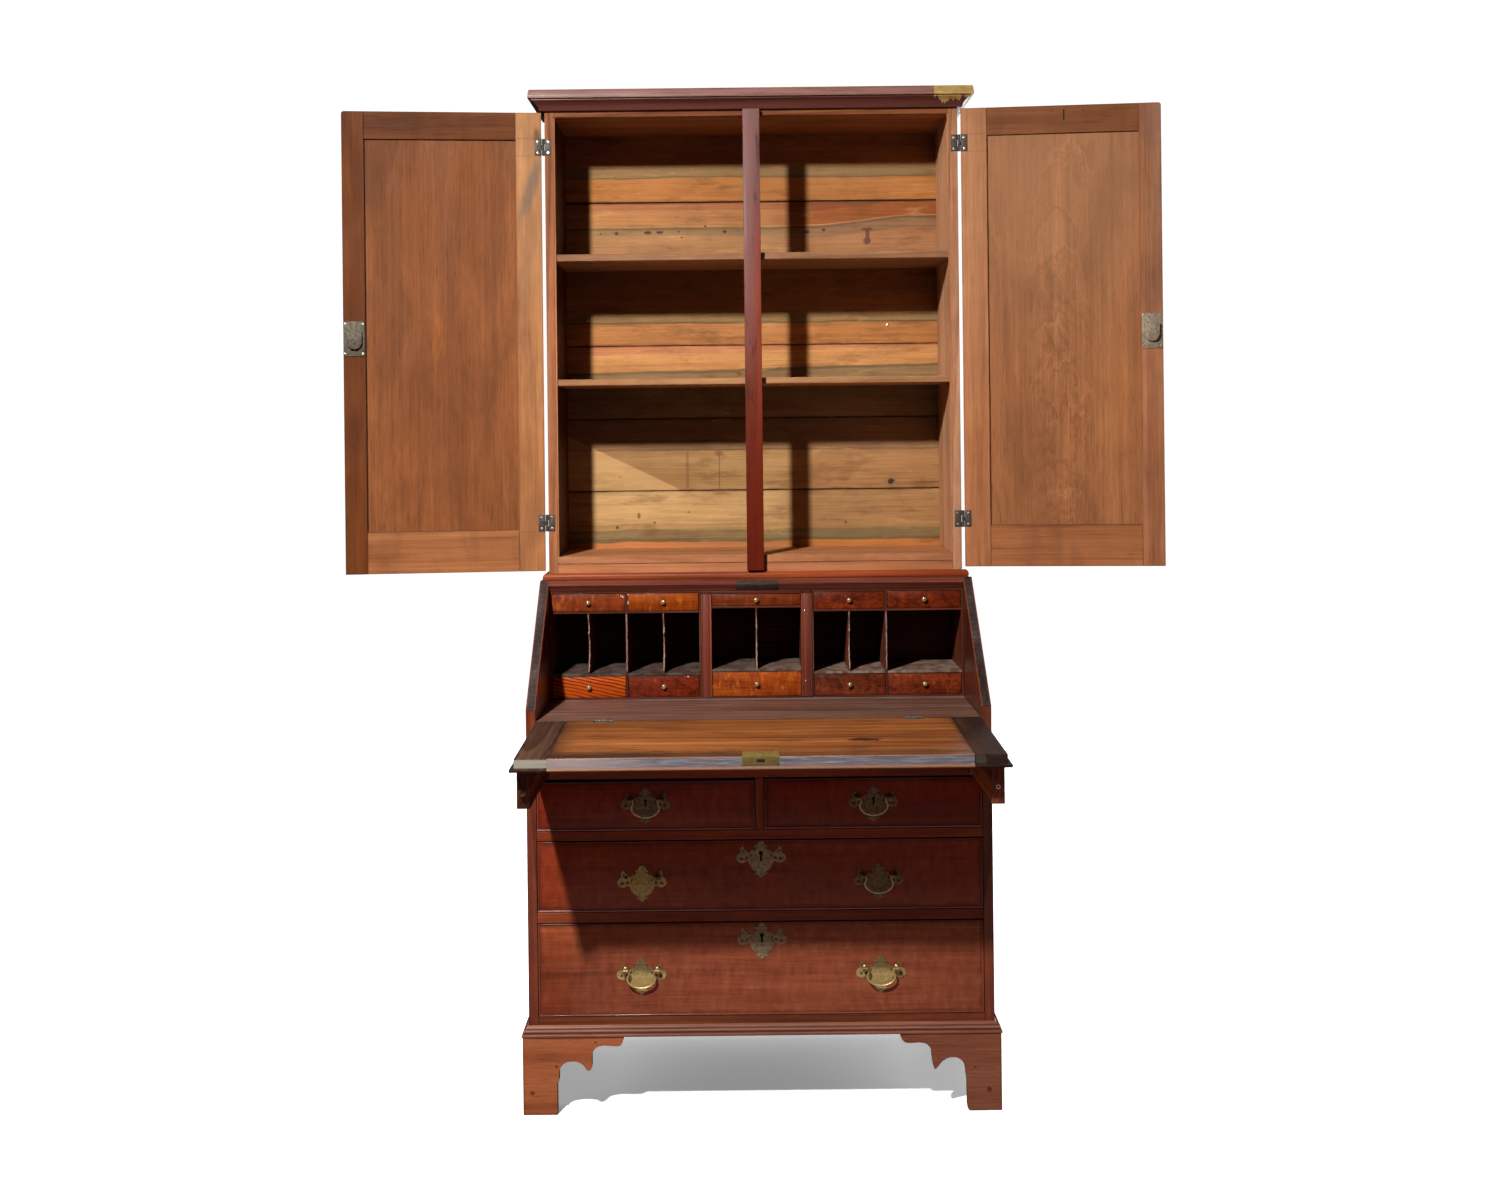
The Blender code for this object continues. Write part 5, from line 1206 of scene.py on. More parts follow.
p = Piece("upper_backboards")
edges = [1.1004, 1.266, 1.439, 1.6145, 1.826, 1.959, 2.1446]
gaps = [0.0, 0.0010, 0.0007, 0.0007, 0.0007, 0.0015, 0.0]
for i, (z0, z1) in enumerate(zip(edges, edges[1:])):
    p.board((-0.4531, 0.6030, z0 + gaps[i]), (0.4531, 0.6148, z1 - gaps[i + 1]), "x", M[f"back_{i}"], bevel=0.0008)
    if i < 5:
        p.board((-0.4531, 0.6068, z1 - gaps[i + 1]), (0.4531, 0.6105, z1 + gaps[i + 1]), "x", M["void"], bevel=0.0)
for x, z in ((-0.3958, 1.6774), (0.3260, 1.6588)):
    p.lathe([(0, -0.0003), (0.0034, -0.0002), (0.0036, 0.0002), (0.0020, 0.0008), (0, 0.0010)], (x, 0.6030, z), "-y", M["screw"], 12)
p.done("carcase", "pine_back", "upper_backboard")

for name, (z0, z1) in (("shelf_lower", (1.514, 1.528)), ("shelf_upper", (1.795, 1.8105))):
    p = Piece(name + "_board")
    p.board((-0.4500, 0.3350, z0), (0.4500, 0.6025, z1), "x", M["case"], tint=(0.70, 0.80, 0.86) if z0 > 1.7 else (1.05, 1.26, 1.24), bevel=0.0016)
    p.done("carcase", "mahogany_inner", name)

p = Piece("centre_stile_board")
p.board((-0.019, 0.3105, 1.0945), (0.019, 0.3297, 2.1315), "z", M["stile"], bevel=0.0012)
for x in (-0.007, 0.008):
    p.lathe([(0, -0.0004), (0.0016, -0.0003), (0.0018, 0.0001), (0, 0.0004)], (x, 0.3105, 2.118), "-y", M["iron"], 10)
p.done("carcase", "mahogany_dark", "centre_stile")

# mouldings
cornice = [(0.0002, 0), (0.0098, 0.0002), (0.0108, 0.0020), (0.0113, 0.0045), (0.0125, 0.0080), (0.0142, 0.0112), (0.0165, 0.0142),
           (0.0195, 0.0172), (0.0225, 0.0194), (0.0258, 0.0212), (0.0268, 0.0218), (0.0268, 0.0248), (0.0336, 0.0252),
           (0.0340, 0.0262), (0.0334, 0.0330), (0.0322, 0.0400), (0.0314, 0.0438), (0.0306, 0.0444), (0.0002, 0.0444)]
p = Piece("cornice_run")
hx, fy, by = CASE + GAP, 0.3297, 0.6150
p.sweep(cornice, ((-hx, by), (-hx, fy), (hx, fy), (hx, by)), 2.132, M["dark"])
p.done("carcase", "mahogany_dark", "cornice")

waist = [(0.0002, 0), (0.0122, 0.0001), (0.0130, 0.0012), (0.0130, 0.0060), (0.0124, 0.0088), (0.0110, 0.0112), (0.0090, 0.0128),
         (0.0060, 0.0138), (0.0030, 0.0141), (0.0002, 0.0141)]
p = Piece("waist_run")
p.sweep(waist, ((-hx, by), (-hx, fy), (hx, fy), (hx, by)), 1.0773, M["rail"], tint=(0.94, 0.84, 0.60))
p.done("carcase", "mahogany_aged", "waist_moulding")

# =================================================================== bookcase: doors (built closed, then turned open)
OPEN = math.radians(173.4)
PIN = (0.4691, 0.32975)


class DoorPiece(Piece):
    def hung(self, side, body, slot, *nodes):
        pivot = Vector((side * PIN[0], PIN[1], 0))
        turn = Matrix.Translation(pivot) @ Matrix.Rotation(side * OPEN, 4, "Z") @ Matrix.Translation(-pivot)
        self.verts = [tuple(turn @ Vector(v)) for v in self.verts]
        return self.done(body, slot, *nodes)


SH, SL, RT, RB = 0.058, 0.049, 0.062, 0.093
DZ = (1.097, 2.130)
DY = (0.3095, 0.3295)
LOCK_Z = 1.622
for s, word in ((-1, "left"), (1, "right")):
    body = f"door_{word}"
    # tints per member, partly the wood's own tone and partly painted light and shade: the left door is toned darker
    # than the right, its lock stile and top rail most
    tone_and_shade = {"left": {"hinge": (1.20, 1.28, 1.18), "lock": (0.38, 0.26, 0.12), "top": (0.43, 0.33, 0.22), "low": (0.95, 0.91, 0.80),
                      "panel": (0.84, 0.74, 0.56)},
             "right": {"hinge": (1.10, 1.10, 1.14), "lock": (1.02, 1.04, 1.20), "top": (0.64, 0.58, 0.56), "low": (1.03, 0.98, 0.90),
                       "panel": (1.02, 1.06, 1.02)}}[word]
    ox, ix = CASE, 0.0225
    px0, px1 = ix + SL, ox - SH
    pz0, pz1 = DZ[0] + RB, DZ[1] - RT
    p = DoorPiece(f"door_{word}_frame_boards")
    p.board((span(s, ox - SH, ox)[0], DY[0], DZ[0]), (span(s, ox - SH, ox)[1], DY[1], DZ[1]), "z", M["door"], tone_and_shade["hinge"], bevel=0.0010)
    arc = [(0.0055 * (1 - math.cos(t)), 0.0055 * (1 - math.sin(t))) for t in (0.0, 0.4, 0.8, 1.2, math.pi / 2)]
    outline = [(ix, DZ[0])] + [(ix + u, DZ[1] - v) for u, v in arc] + [(ix + SL, DZ[1]), (ix + SL, DZ[0])]
    p.prism([(s * u, v) for u, v in outline], "y", DY[0], DY[1], M["door"], "z", tone_and_shade["lock"], bevel=0.0010, across="x")
    a, b = span(s, px0, px1)
    p.board((a, DY[0] + 0.0001, pz1), (b, DY[1] - 0.0002, DZ[1] - 0.0001), "x", M["door"], tone_and_shade["top"], bevel=0.0007)
    p.board((a, DY[0] + 0.0001, DZ[0] + 0.0001), (b, DY[1] - 0.0002, pz0), "x", M["door"], tone_and_shade["low"], bevel=0.0007)
    a, b = span(s, ox - SH + 0.0004, ox - 0.0006)
    for z in (2.052 - 0.0196, 2.052 + 0.0196) + ((1.205 - 0.0196,) if s < 0 else ()):
        p.board((a, DY[1] - 0.0003, z - 0.0003), (b, DY[1] + 0.00012, z + 0.0003), "x", M["scribe"], bevel=0.0)
    if s > 0:
        for x, z, w, h in ((0.2630, 2.1170, 0.0010, 0.0016), (0.2360, 2.1080, 0.0017, 0.0125), (0.1940, 2.1175, 0.0010, 0.0018)):
            p.board((x - w, DY[1] - 0.0003, z - h), (x + w, DY[1] + 0.00012, z + h), "z", M["groove"], bevel=0.0)
    p.hung(s, body, "mahogany_inner", f"door_{word}_frame")
    # panel
    p = DoorPiece(f"door_{word}_panel_board")
    a, b = span(s, px0 - 0.0085, px1 + 0.0085)
    p.board((a, DY[0] + 0.0070, pz0 - 0.0085), (b, DY[0] + 0.0140, pz1 + 0.0085), "z", M["door_panel"], tone_and_shade["panel"], bevel=0.0004)
    face = DY[0] + 0.0140
    a, b = span(s, px0, px1)
    # dark strips at the panel's edges: along the top painted shade in the recess; at the bottom, and on the left door
    # along the lock side, dark gaps
    p.board((a, face - 0.0002, pz1 - 0.0014), (b, face + 0.0002, pz1), "x", M["groove"], bevel=0.0)
    p.board((a, face - 0.0002, pz0), (b, face + 0.0001, pz0 + 0.0006), "x", M["groove"], bevel=0.0)
    if s < 0:
        a, b = span(s, px0, px0 + 0.0022)
        p.board((a, face - 0.0002, pz0), (b, face + 0.0002, pz1), "z", M["groove"], bevel=0.0)
    p.hung(s, body, "mahogany_inner", f"door_{word}_panel")
    # lock
    p = DoorPiece(f"door_{word}_lock_box")
    cx = s * (ix + 0.0240)
    iron = M["iron_left" if s < 0 else "iron_lock_in_light"]
    m = facing((cx, DY[1] + GAP, LOCK_Z), (-1, 0, 0), (0, 0, 1))
    hw, hh = 0.0230, 0.039
    plate_edge = [(-hw, -hh), (hw, -hh), (hw, hh), (-hw, hh)]
    holes = [circle(x, y, 0.0016, 8) for x in (-0.019, 0.019) for y in (-0.0335, 0.0335)]
    p.plate([plate_edge], 0.0024, iron, m, bevel=0.0005)
    lean = -1 if s < 0 else 1
    shield = [(-0.0165, 0.012), (0.0165, 0.012), (0.0165, -0.012), (0.0140, -0.0200), (0.0090, -0.0255), (0.0, -0.0280), (-0.0090, -0.0255),
              (-0.0140, -0.0200), (-0.0165, -0.012)]
    m2 = facing((cx + s * 0.001, DY[1] + 0.0020, LOCK_Z + 0.004), (-1, 0, 0), (0, 0, 1))
    p.plate([shield], 0.0095, iron, m2, bevel=0.0010)
    for x, z, tilt in ((-0.0195, 0.0335, 0.4), (0.0195, 0.0335, 1.1), (-0.0195, -0.0335, 2.0), (0.0195, -0.0335, 0.1)):
        screw(p, (cx + x, DY[1] + GAP + 0.0023, LOCK_Z + z), "y", 0.0023, tilt)
    p.lathe([(0, 0), (0.0030, 0.0), (0.0030, 0.0008), (0.0016, 0.0016), (0, 0.0018)], (cx, DY[1] + 0.0114, LOCK_Z - 0.008), "y", iron, 12)
    p.hung(s, body, "iron_old", f"door_{word}_lock")
    # hinges
    for z, place in ((1.205, "lower"), (2.052, "upper")):
        p = Piece(f"hinge_{word}_{place}_case")
        a, b = span(s, 0.4503, 0.4655)
        pts = [(0.4503, z - 0.019), (0.4676, z - 0.019), (0.4676, z - 0.0066), (0.4652, z - 0.0066), (0.4652, z + 0.0066),
               (0.4676, z + 0.0066), (0.4676, z + 0.019), (0.4503, z + 0.019)]
        pts = [(s * x, y) for x, y in pts]
        p.prism(pts, "y", 0.3302, 0.3319, M["iron_dark"], "z", bevel=0.0003)
        for dz in (-0.0127, 0.0127):
            p.lathe([(0.0019, -0.0061), (0.0029, -0.0061), (0.0032, -0.0058), (0.0032, 0.0058), (0.0029, 0.0061), (0.0019, 0.0061)],
                    (s * PIN[0], PIN[1], z + dz), "z", M["iron_dark"], 16)
        for dz, tilt in ((-0.0125, 0.5), (0.0125, 1.4)):
            screw(p, (s * 0.4575, 0.3306, z + dz), "-y", 0.0029, tilt)
        p.done("carcase", "iron_old", f"hinge_{word}_{place}_case_leaf")
        p = DoorPiece(f"hinge_{word}_{place}_door")
        pts = [(0.4503, z - 0.019), (0.4652, z - 0.019), (0.4652, z - 0.0060), (0.4680, z - 0.0060), (0.4680, z + 0.0060),
               (0.4652, z + 0.0060), (0.4652, z + 0.019), (0.4503, z + 0.019)]
        pts = [(s * x, y) for x, y in pts]
        p.prism(pts, "y", 0.3276, 0.32975, M["iron_dark"], "z", bevel=0.0003)
        p.lathe([(0, -0.0060), (0.0029, -0.0060), (0.0032, -0.0057), (0.0032, 0.0057), (0.0029, 0.0060), (0, 0.0060)],
                (s * PIN[0], PIN[1], z), "z", M["iron_dark"], 16)
        for d in (1, -1):
            p.lathe([(0, 0.0188), (0.0012, 0.0188), (0.0015, 0.0185), (0.0015, 0.0060), (0, 0.0060)], (s * PIN[0], PIN[1], z),
                    "z" if d > 0 else "-z", M["iron_dark"], 10)
        for dz, tilt in ((-0.0125, 0.2), (0.0125, 2.3)):
            screw(p, (s * 0.4575, 0.32935, z + dz), "y", 0.0029, tilt)
        p.hung(s, body, "iron_old", f"hinge_{word}_{place}_door_leaf")

# =================================================================== desk: carcase
SLANT = math.atan2(1.077 - 0.834, 0.296)


def from_pin(u, n):
    """(y, z) of a point u up the slant from the fall's pin and n inside the closed fall's inner face."""
    return (u * math.cos(SLANT) + n * math.sin(SLANT), BED + u * math.sin(SLANT) - n * math.cos(SLANT))


p = Piece("base_case_boards")
for s in (-1, 1):
    x0, x1 = span(s, INNER, DESK)
    p.prism([(0, 0.160), (0, 0.8320), (0.0013, 0.8335), (0.2963, 1.0755), (0.2975, 1.077), (0.6058, 1.077), (0.6058, 0.160)], "x", x0, x1,
            M["outer"], "z", tint=(1.02, 1.10, 1.20) if s < 0 else (1.08, 1.30, 1.45), bevel=0.0012, across="y")
    p.prism([(0.0002, 0.8322), (0, 0.8340), (0.2954, 1.0765), (0.2972, 1.0768), (0.2980, 1.0755), (0.0030, 0.8335)], "x", x0, x1,
            M["worn_edge"], "y", bevel=0.0006, across="x")
    xa, xb = span(s, 0.4707, DESK)
    p.board((xa, 0.6059, 0.1602), (xb, 0.6200, 1.0770), "z", M["outer"], bevel=0.0005)
wall_top, wall_low = from_pin(0.3805, -0.01778), from_pin(0.3805, 0.0004)
p.prism([(0.2949, 1.0520), wall_top, (0.2960, 1.0768), (0.6058, 1.0768), (0.6058, 1.0520)], "x", -INNER, INNER, M["dark"], "x",
        bevel=0.0, tint=(1.20, 1.32, 1.14), across="y")
p.board((-0.4705, 0.6059, 1.0602), (0.4705, 0.6200, 1.0768), "x", M["outer"], bevel=0.0004)
p.board((-INNER, 0.0010, 0.1602), (INNER, 0.6058, 0.1798), "x", M["outer"], bevel=0.0004)
p.done("carcase", "mahogany_aged", "base_case")

p = Piece("strike_plate")
m = facing((0.002, *from_pin(0.3805, -0.0088)), (1, 0, 0), (0, *(Vector(from_pin(0, -1)) - Vector(from_pin(0, 0)))))
m.translation -= Vector((0, *(Vector(from_pin(1, 0)) - Vector(from_pin(0, 0))))) * 0.0002
slot = [(-0.0075, -0.0015), (0.0075, -0.0015), (0.0075, 0.0022), (-0.0075, 0.0022)]
p.plate([[(-0.0475, -0.0072), (0.0475, -0.0072), (0.0475, 0.0086), (-0.0475, 0.0086)], slot], 0.0006, M["strike"], m, bevel=0.0001)
p.plate([slot], 0.0002, M["void"], m, bevel=0.00003)
m2 = facing((0.002, *from_pin(0.3865, -0.0178)), (1, 0, 0), (0, *(Vector(from_pin(1, 0)) - Vector(from_pin(0, 0)))))
p.plate([[(-0.0475, -0.0050), (0.0475, -0.0050), (0.0475, 0.0070), (-0.0475, 0.0070)]], 0.0003, M["strike"], m2, bevel=0.00005)
p.done("carcase", "brass_old")

p = Piece("base_backboards")
cuts = [0.1604, 0.372, 0.588, 0.822, 1.0596]
for z0, z1 in zip(cuts, cuts[1:]):
    p.board((-0.4701, 0.6063, z0 + 0.0006), (0.4701, 0.6198, z1 - 0.0006), "x", M["pine"], bevel=0.0010, tint=(0.80, 0.76, 0.72))
    if z1 < 1.05:
        p.board((-0.4701, 0.6108, z1 - 0.0006), (0.4701, 0.6150, z1 + 0.0006), "x", M["void"], bevel=0.0)
p.done("carcase", "pine_back", "base_backboard")

p = Piece("writing_bed_boards")
TOPZ = BED
p.board((-0.4622, 0.0006, 0.7890), (0.4622, 0.1600, TOPZ), "x", M["bed"], bevel=0.0007, tint=(1.20, 1.34, 1.48))
p.board((-0.4622, 0.1602, 0.7890), (0.4622, 0.2940, TOPZ - 0.0002), "x", M["bed"], bevel=0.0007, tint=(1.26, 1.36, 1.48))
p.board((-0.4622, 0.2942, 0.7890), (0.4622, 0.6057, TOPZ - 0.0002), "x", M["bed"], bevel=0.0007)
p.done("carcase", "mahogany_aged", "writing_bed")

# frieze, blades, divider, runners, dust board
edge = INNER - GAP
p = Piece("drawer_frame_boards")
p.board((-0.4363, 0.0003, 0.6900), (0.4363, 0.0200, 0.7886), "x", M["rail"], tint=(0.78, 0.70, 0.70), bevel=0.0008)
for s in (-1, 1):
    a, b = span(s, 0.4301, 0.4364)
    p.board((a, 0.0201, 0.6968), (b, 0.6000, 0.7886), "y", M["outer"], bevel=0.0004)
    a, b = span(s, 0.4365, edge)
    p.board((a, 0.0003, 0.6900), (b, 0.6000, 0.6969), "y", M["rail"], bevel=0.0004)
    a, b = span(s, 0.4300, edge)
    p.board((a, 0.5795, 0.1803), (b, 0.6000, 0.6899), "z", M["outer"], bevel=0.0004)
    for z0, z1 in ((0.5626, 0.5819), (0.3931, 0.4139)):
        a, b = span(s, 0.4286, edge)
        p.board((a, 0.0601, z0), (b, 0.5794, z1), "y", M["inside"], bevel=0.0004, tint=(0.7, 0.62, 0.55))
    a, b = span(s, 0.4292, edge)
    p.board((a, 0.0221, 0.1804), (b, 0.5794, 0.1974), "y", M["inside"], bevel=0.0004, tint=(0.7, 0.62, 0.55))
p.board((-0.4363, 0.0202, 0.6901), (0.4363, 0.5999, 0.6969), "x", M["inside"], bevel=0.0003, tint=(0.7, 0.62, 0.55))
p.board((-edge, 0.0003, 0.5625), (edge, 0.0600, 0.5820), "x", M["rail"], tint=(1.18, 1.0, 0.80), bevel=0.0009)
p.board((-edge, 0.0003, 0.3930), (edge, 0.0600, 0.4140), "x", M["rail"], tint=(0.90, 0.80, 0.78), bevel=0.0009)
p.board((-edge, 0.0003, 0.1803), (edge, 0.0220, 0.1975), "x", M["rail"], tint=(0.78, 0.96, 1.1), bevel=0.0009)
p.board((-0.009, 0.0003, 0.5821), (0.009, 0.5785, 0.6899), "z", M["rail"], tint=(0.82, 0.74, 0.74), bevel=0.0009, across="x")
p.board((-0.030, 0.0601, 0.5626), (0.030, 0.5794, 0.5818), "y", M["inside"], bevel=0.0004, tint=(0.7, 0.62, 0.55))
p.board((-0.4285, 0.5781, 0.5626), (0.4285, 0.6000, 0.5818), "x", M["inside"], bevel=0.0004, tint=(0.7, 0.62, 0.55))
p.done("carcase", "mahogany_aged", "drawer_frame")

hx = DESK + GAP
base_run = [(0.0002, 0), (0.0134, 0.0001), (0.0140, 0.0010), (0.0140, 0.0034), (0.0134, 0.0046), (0.0120, 0.0056), (0.0100, 0.0062),
            (0.0098, 0.0074), (0.0098, 0.0094), (0.0104, 0.0102), (0.0107, 0.0116), (0.0105, 0.0130), (0.0098, 0.0138), (0.0086, 0.0142),
            (0.0084, 0.0152), (0.0066, 0.0160), (0.0050, 0.0174), (0.0040, 0.0192), (0.0036, 0.0210), (0.0028, 0.0219), (0.0002, 0.0220)]
p = Piece("base_moulding_run")
p.sweep(base_run, ((-hx, 0.618), (-hx, -GAP), (hx, -GAP), (hx, 0.618)), 0.160, M["base_mould"], tint=(0.86, 1.50, 2.9))
p.done("carcase", "mahogany_aged", "base_moulding")

# =================================================================== desk: bracket feet
FOOT_TOP = 0.1597
CURVE = [(0.0710, 0), (0.0712, 0.0640), (0.0722, 0.0665), (0.0742, 0.0690), (0.0748, 0.0720), (0.0749, 0.0860), (0.0757, 0.0915),
         (0.0778, 0.0970), (0.0812, 0.1020), (0.0860, 0.1060), (0.0915, 0.1083), (0.0975, 0.1094), (0.1060, 0.1095), (0.1120, 0.1088),
         (0.1180, 0.1064), (0.1235, 0.1028), (0.1272, 0.0988), (0.1298, 0.0946), (0.1318, 0.0918), (0.1345, 0.0903), (0.1378, 0.0903),
         (0.1404, 0.0922), (0.1424, 0.0960), (0.1431, 0.1005), (0.1431, 0.1180), (0.1438, 0.1250), (0.1458, 0.1310), (0.1490, 0.1352),
         (0.1535, 0.1385), (0.1600, 0.1408), (0.1680, 0.1418), (0.1790, 0.1412), (0.1890, 0.1400), (0.1960, 0.1400), (0.2010, 0.1412),
         (0.2042, 0.1436), (0.2064, 0.1475), (0.2082, 0.1530), (0.2094, 0.1570), (0.2098, FOOT_TOP)]
ROUNDER = [(0.0700, 0.0030), (0.0712, 0.0120), (0.0716, 0.0560), (0.0728, 0.0680), (0.0745, 0.0830), (0.0762, 0.0930), (0.0798, 0.1000), (0.0850, 0.1056),
           (0.0910, 0.1090), (0.0980, 0.1102), (0.1060, 0.1100), (0.1130, 0.1082), (0.1200, 0.1040), (0.1262, 0.0980), (0.1310, 0.0920),
           (0.1345, 0.0875), (0.1370, 0.0858), (0.1394, 0.0872), (0.1412, 0.0930), (0.1428, 0.1010), (0.1436, 0.1120), (0.1448, 0.1230),
           (0.1478, 0.1310), (0.1530, 0.1370), (0.1610, 0.1404), (0.1700, 0.1414), (0.1830, 0.1405), (0.1930, 0.1402), (0.2000, 0.1420),
           (0.2048, 0.1470), (0.2080, 0.1530), (0.2097, FOOT_TOP)]
PLAIN = [(0.070, 0), (0.074, 0.080), (0.105, 0.115), (0.150, 0.130), (0.170, FOOT_TOP)]
FX, FY, FT, FB = DESK + 0.012, -0.012, 0.020, 0.618


def bracket(piece, curve, where, mitre, tint, along):
    """where(d, z, depth) places a point; the corner end is mitred if asked."""
    outline = [(0, 0)] + curve + [(0, FOOT_TOP)]
    if curve[0][1] > 0:
        outline = [(0, 0), (curve[0][0] - 0.004, 0)] + curve + [(0, FOOT_TOP)]
    bm = bmesh.new()
    front = [bm.verts.new(where(d, z, 0.0)) for d, z in outline]
    back = [bm.verts.new(where(max(d, FT - 0.0002) if mitre else d, z, FT)) for d, z in outline]
    bm.faces.new(front)
    bm.faces.new(back)
    n = len(outline)
    for i in range(n):
        j = (i + 1) % n
        bm.faces.new((front[i], front[j], back[j], back[i]))
    bmesh.ops.recalc_face_normals(bm, faces=bm.faces)
    cap = [f for f in bm.faces if len(f.verts) == n]
    geom = list({e for f in cap for e in f.edges})
    bmesh.ops.bevel(bm, geom=geom, offset=0.0009, segments=2, affect="EDGES", profile=0.5)
    co = [v.co for v in bm.verts]
    lo = [min(c[i] for c in co) for i in range(3)]
    hi = [max(c[i] for c in co) for i in range(3)]
    piece.take(bm, M["foot"], piece.board_coords(lo, hi, along, tint, None, "z"))


for s, word in ((-1, "left"), (1, "right")):
    curve = CURVE if s < 0 else ROUNDER
    p = Piece(f"foot_front_{word}_brackets")
    bracket(p, curve, lambda d, z, t: (s * (FX - d), FY + t, z), True, (1.16, 1.24, 1.45) if s < 0 else (0.74, 0.88, 1.52), "x")
    bracket(p, CURVE, lambda d, z, t: (s * (FX - t), FY + d, z), True, (0.95, 0.92, 0.92), "y")
    p.done("carcase", "mahogany_aged", f"foot_front_{word}")
    p = Piece(f"foot_rear_{word}_brackets")
    bracket(p, CURVE, lambda d, z, t: (s * (FX - t), FB - d, z), False, (0.95, 0.92, 0.92), "y")
    bracket(p, PLAIN, lambda d, z, t: (s * (FX - FT - 0.0002 - d), FB - 0.0015 - t, z), False, (0.8, 0.78, 0.76), "x")
    p.done("carcase", "mahogany_aged", f"foot_rear_{word}")

# =================================================================== gallery
GY, CELL = 0.2945, 0.514
ROWS = {"under": (0.8145, 0.8635), "hole": (0.8685, 1.0030), "over": (1.0075, 1.0480)}
MROWS = {"under": (0.8145, 0.8705), "hole": (0.8755, 1.0120), "over": (1.0165, 1.0440)}
SIDE = (0.1280, 0.2875), (0.2925, 0.4580)
MX = 0.1000
GZ = (0.8113, 1.0512)


def scallop(low, high, y0, y1):
    """The shaped front edge of a pigeonhole partition, as a (y, z) outline."""
    h = high - low
    front = [(0.0, 1.0), (0.0, 0.965), (0.0012, 0.93), (0.0045, 0.885), (0.0090, 0.845), (0.0125, 0.80), (0.0140, 0.755), (0.0128, 0.715),
             (0.0095, 0.685), (0.0078, 0.665), (0.0095, 0.645), (0.0150, 0.60), (0.0205, 0.54), (0.0240, 0.47), (0.0250, 0.39),
             (0.0235, 0.31), (0.0195, 0.235), (0.0135, 0.17), (0.0070, 0.115), (0.0025, 0.07), (0.0, 0.035), (0.0, 0.0)]
    return [(y0 + d, low + t * h) for d, t in front] + [(y1, low), (y1, high)]


def halves(a, b, wall=0.004):
    m = (a + b) / 2
    return m - wall / 2, m + wall / 2


def bay(name, node, x0, x1, cells, rows, walls, splits):
    """walls: full-height partitions (a, b); cells: drawer columns (a, b); splits: thin partitions in the pigeonhole row."""
    p = Piece(name)
    g_tint = (1, 1, 1)
    p.board((x0, GY, GZ[0]), (x1, CELL + 0.0058, rows["under"][0]), "x", M["gallery"], bevel=0.0003)
    p.board((x0, GY, rows["over"][1]), (x1, CELL + 0.0058, GZ[1]), "x", M["gallery"], bevel=0.0003)
    p.board((x0, CELL, rows["under"][0]), (x1, CELL + 0.0058, rows["over"][1]), "x", M["gallery"], bevel=0.0002, tint=(0.7, 0.65, 0.65))
    for a, b in walls:
        thin = b - a < 0.015 and abs(a + b) < 0.8
        p.board((a, GY, rows["under"][0]), (b, CELL, rows["over"][1]), "z", M["partition" if thin else "gallery"], bevel=0.0005, across="y",
                tint=(1, 1, 1))
    for a, b in cells:
        p.board((a, GY + 0.0004, rows["under"][1]), (b, CELL, rows["hole"][0]), "x", M["dusty"], bevel=0.0005)
        p.board((a, GY + 0.0004, rows["hole"][1]), (b, CELL, rows["over"][0]), "x", M["gallery"], bevel=0.0005)
    for a, b in splits:
        p.prism(scallop(rows["hole"][0], rows["hole"][1], GY + 0.0006, CELL), "x", a, b, M["partition"], "z", bevel=0.0006, across="y",
                tint=(1.2, 1.15, 1.1))
    p.done("carcase", "mahogany_inner", node)


WALL_OUT = 0.4622


def neg(pairs):
    return [(-b, -a) for a, b in pairs]


side_walls = [(0.1248, SIDE[0][0]), (SIDE[0][1], SIDE[1][0]), (SIDE[1][1], WALL_OUT)]
bay("gallery_left_bay", "gallery_left", -WALL_OUT, -0.1248, neg(SIDE), ROWS, neg(side_walls), neg([halves(*SIDE[0]), halves(*SIDE[1])]))
bay("gallery_right_bay", "gallery_right", 0.1248, WALL_OUT, SIDE, ROWS, side_walls, [halves(*SIDE[0])])


# the middle bay with its two pilasters
p = Piece("gallery_centre_bay")
p.board((-0.1245, GY, GZ[0]), (0.1245, CELL + 0.0058, MROWS["under"][0]), "x", M["gallery"], bevel=0.0003)
p.board((-0.1245, GY, MROWS["over"][1]), (0.1245, CELL + 0.0058, GZ[1]), "x", M["gallery"], bevel=0.0003, tint=(0.8, 0.75, 0.75))
p.board((-0.1245, CELL, MROWS["under"][0]), (0.1245, CELL + 0.0058, MROWS["over"][1]), "x", M["gallery"], bevel=0.0002,
        tint=(0.7, 0.65, 0.65))
for s in (-1, 1):
    a, b = span(s, MX, 0.1245)
    p.board((a, GY + 0.0016, MROWS["under"][0]), (b, CELL, MROWS["over"][1]), "z", M["gallery"], bevel=0.0004, across="y")
    tint = (1.30, 1.18, 1.16) if s < 0 else (1.1, 0.98, 0.98)
    a, b = span(s, MX + 0.0002, 0.1045)
    p.board((a, GY, 0.8118), (b, GY + 0.0040, 1.0506), "z", M["gallery"], bevel=0.0009, tint=(1.7, 1.6, 1.55))
    a, b = span(s, 0.1048, 0.1200)
    p.board((a, GY + 0.0006, 0.8118), (b, GY + 0.0040, 1.0506), "z", M["pilaster"], bevel=0.0009, tint=tint)
    a, b = span(s, 0.1203, 0.1243)
    p.board((a, GY, 0.8118), (b, GY + 0.0040, 1.0506), "z", M["gallery"], bevel=0.0009, tint=(1.7, 1.6, 1.55))
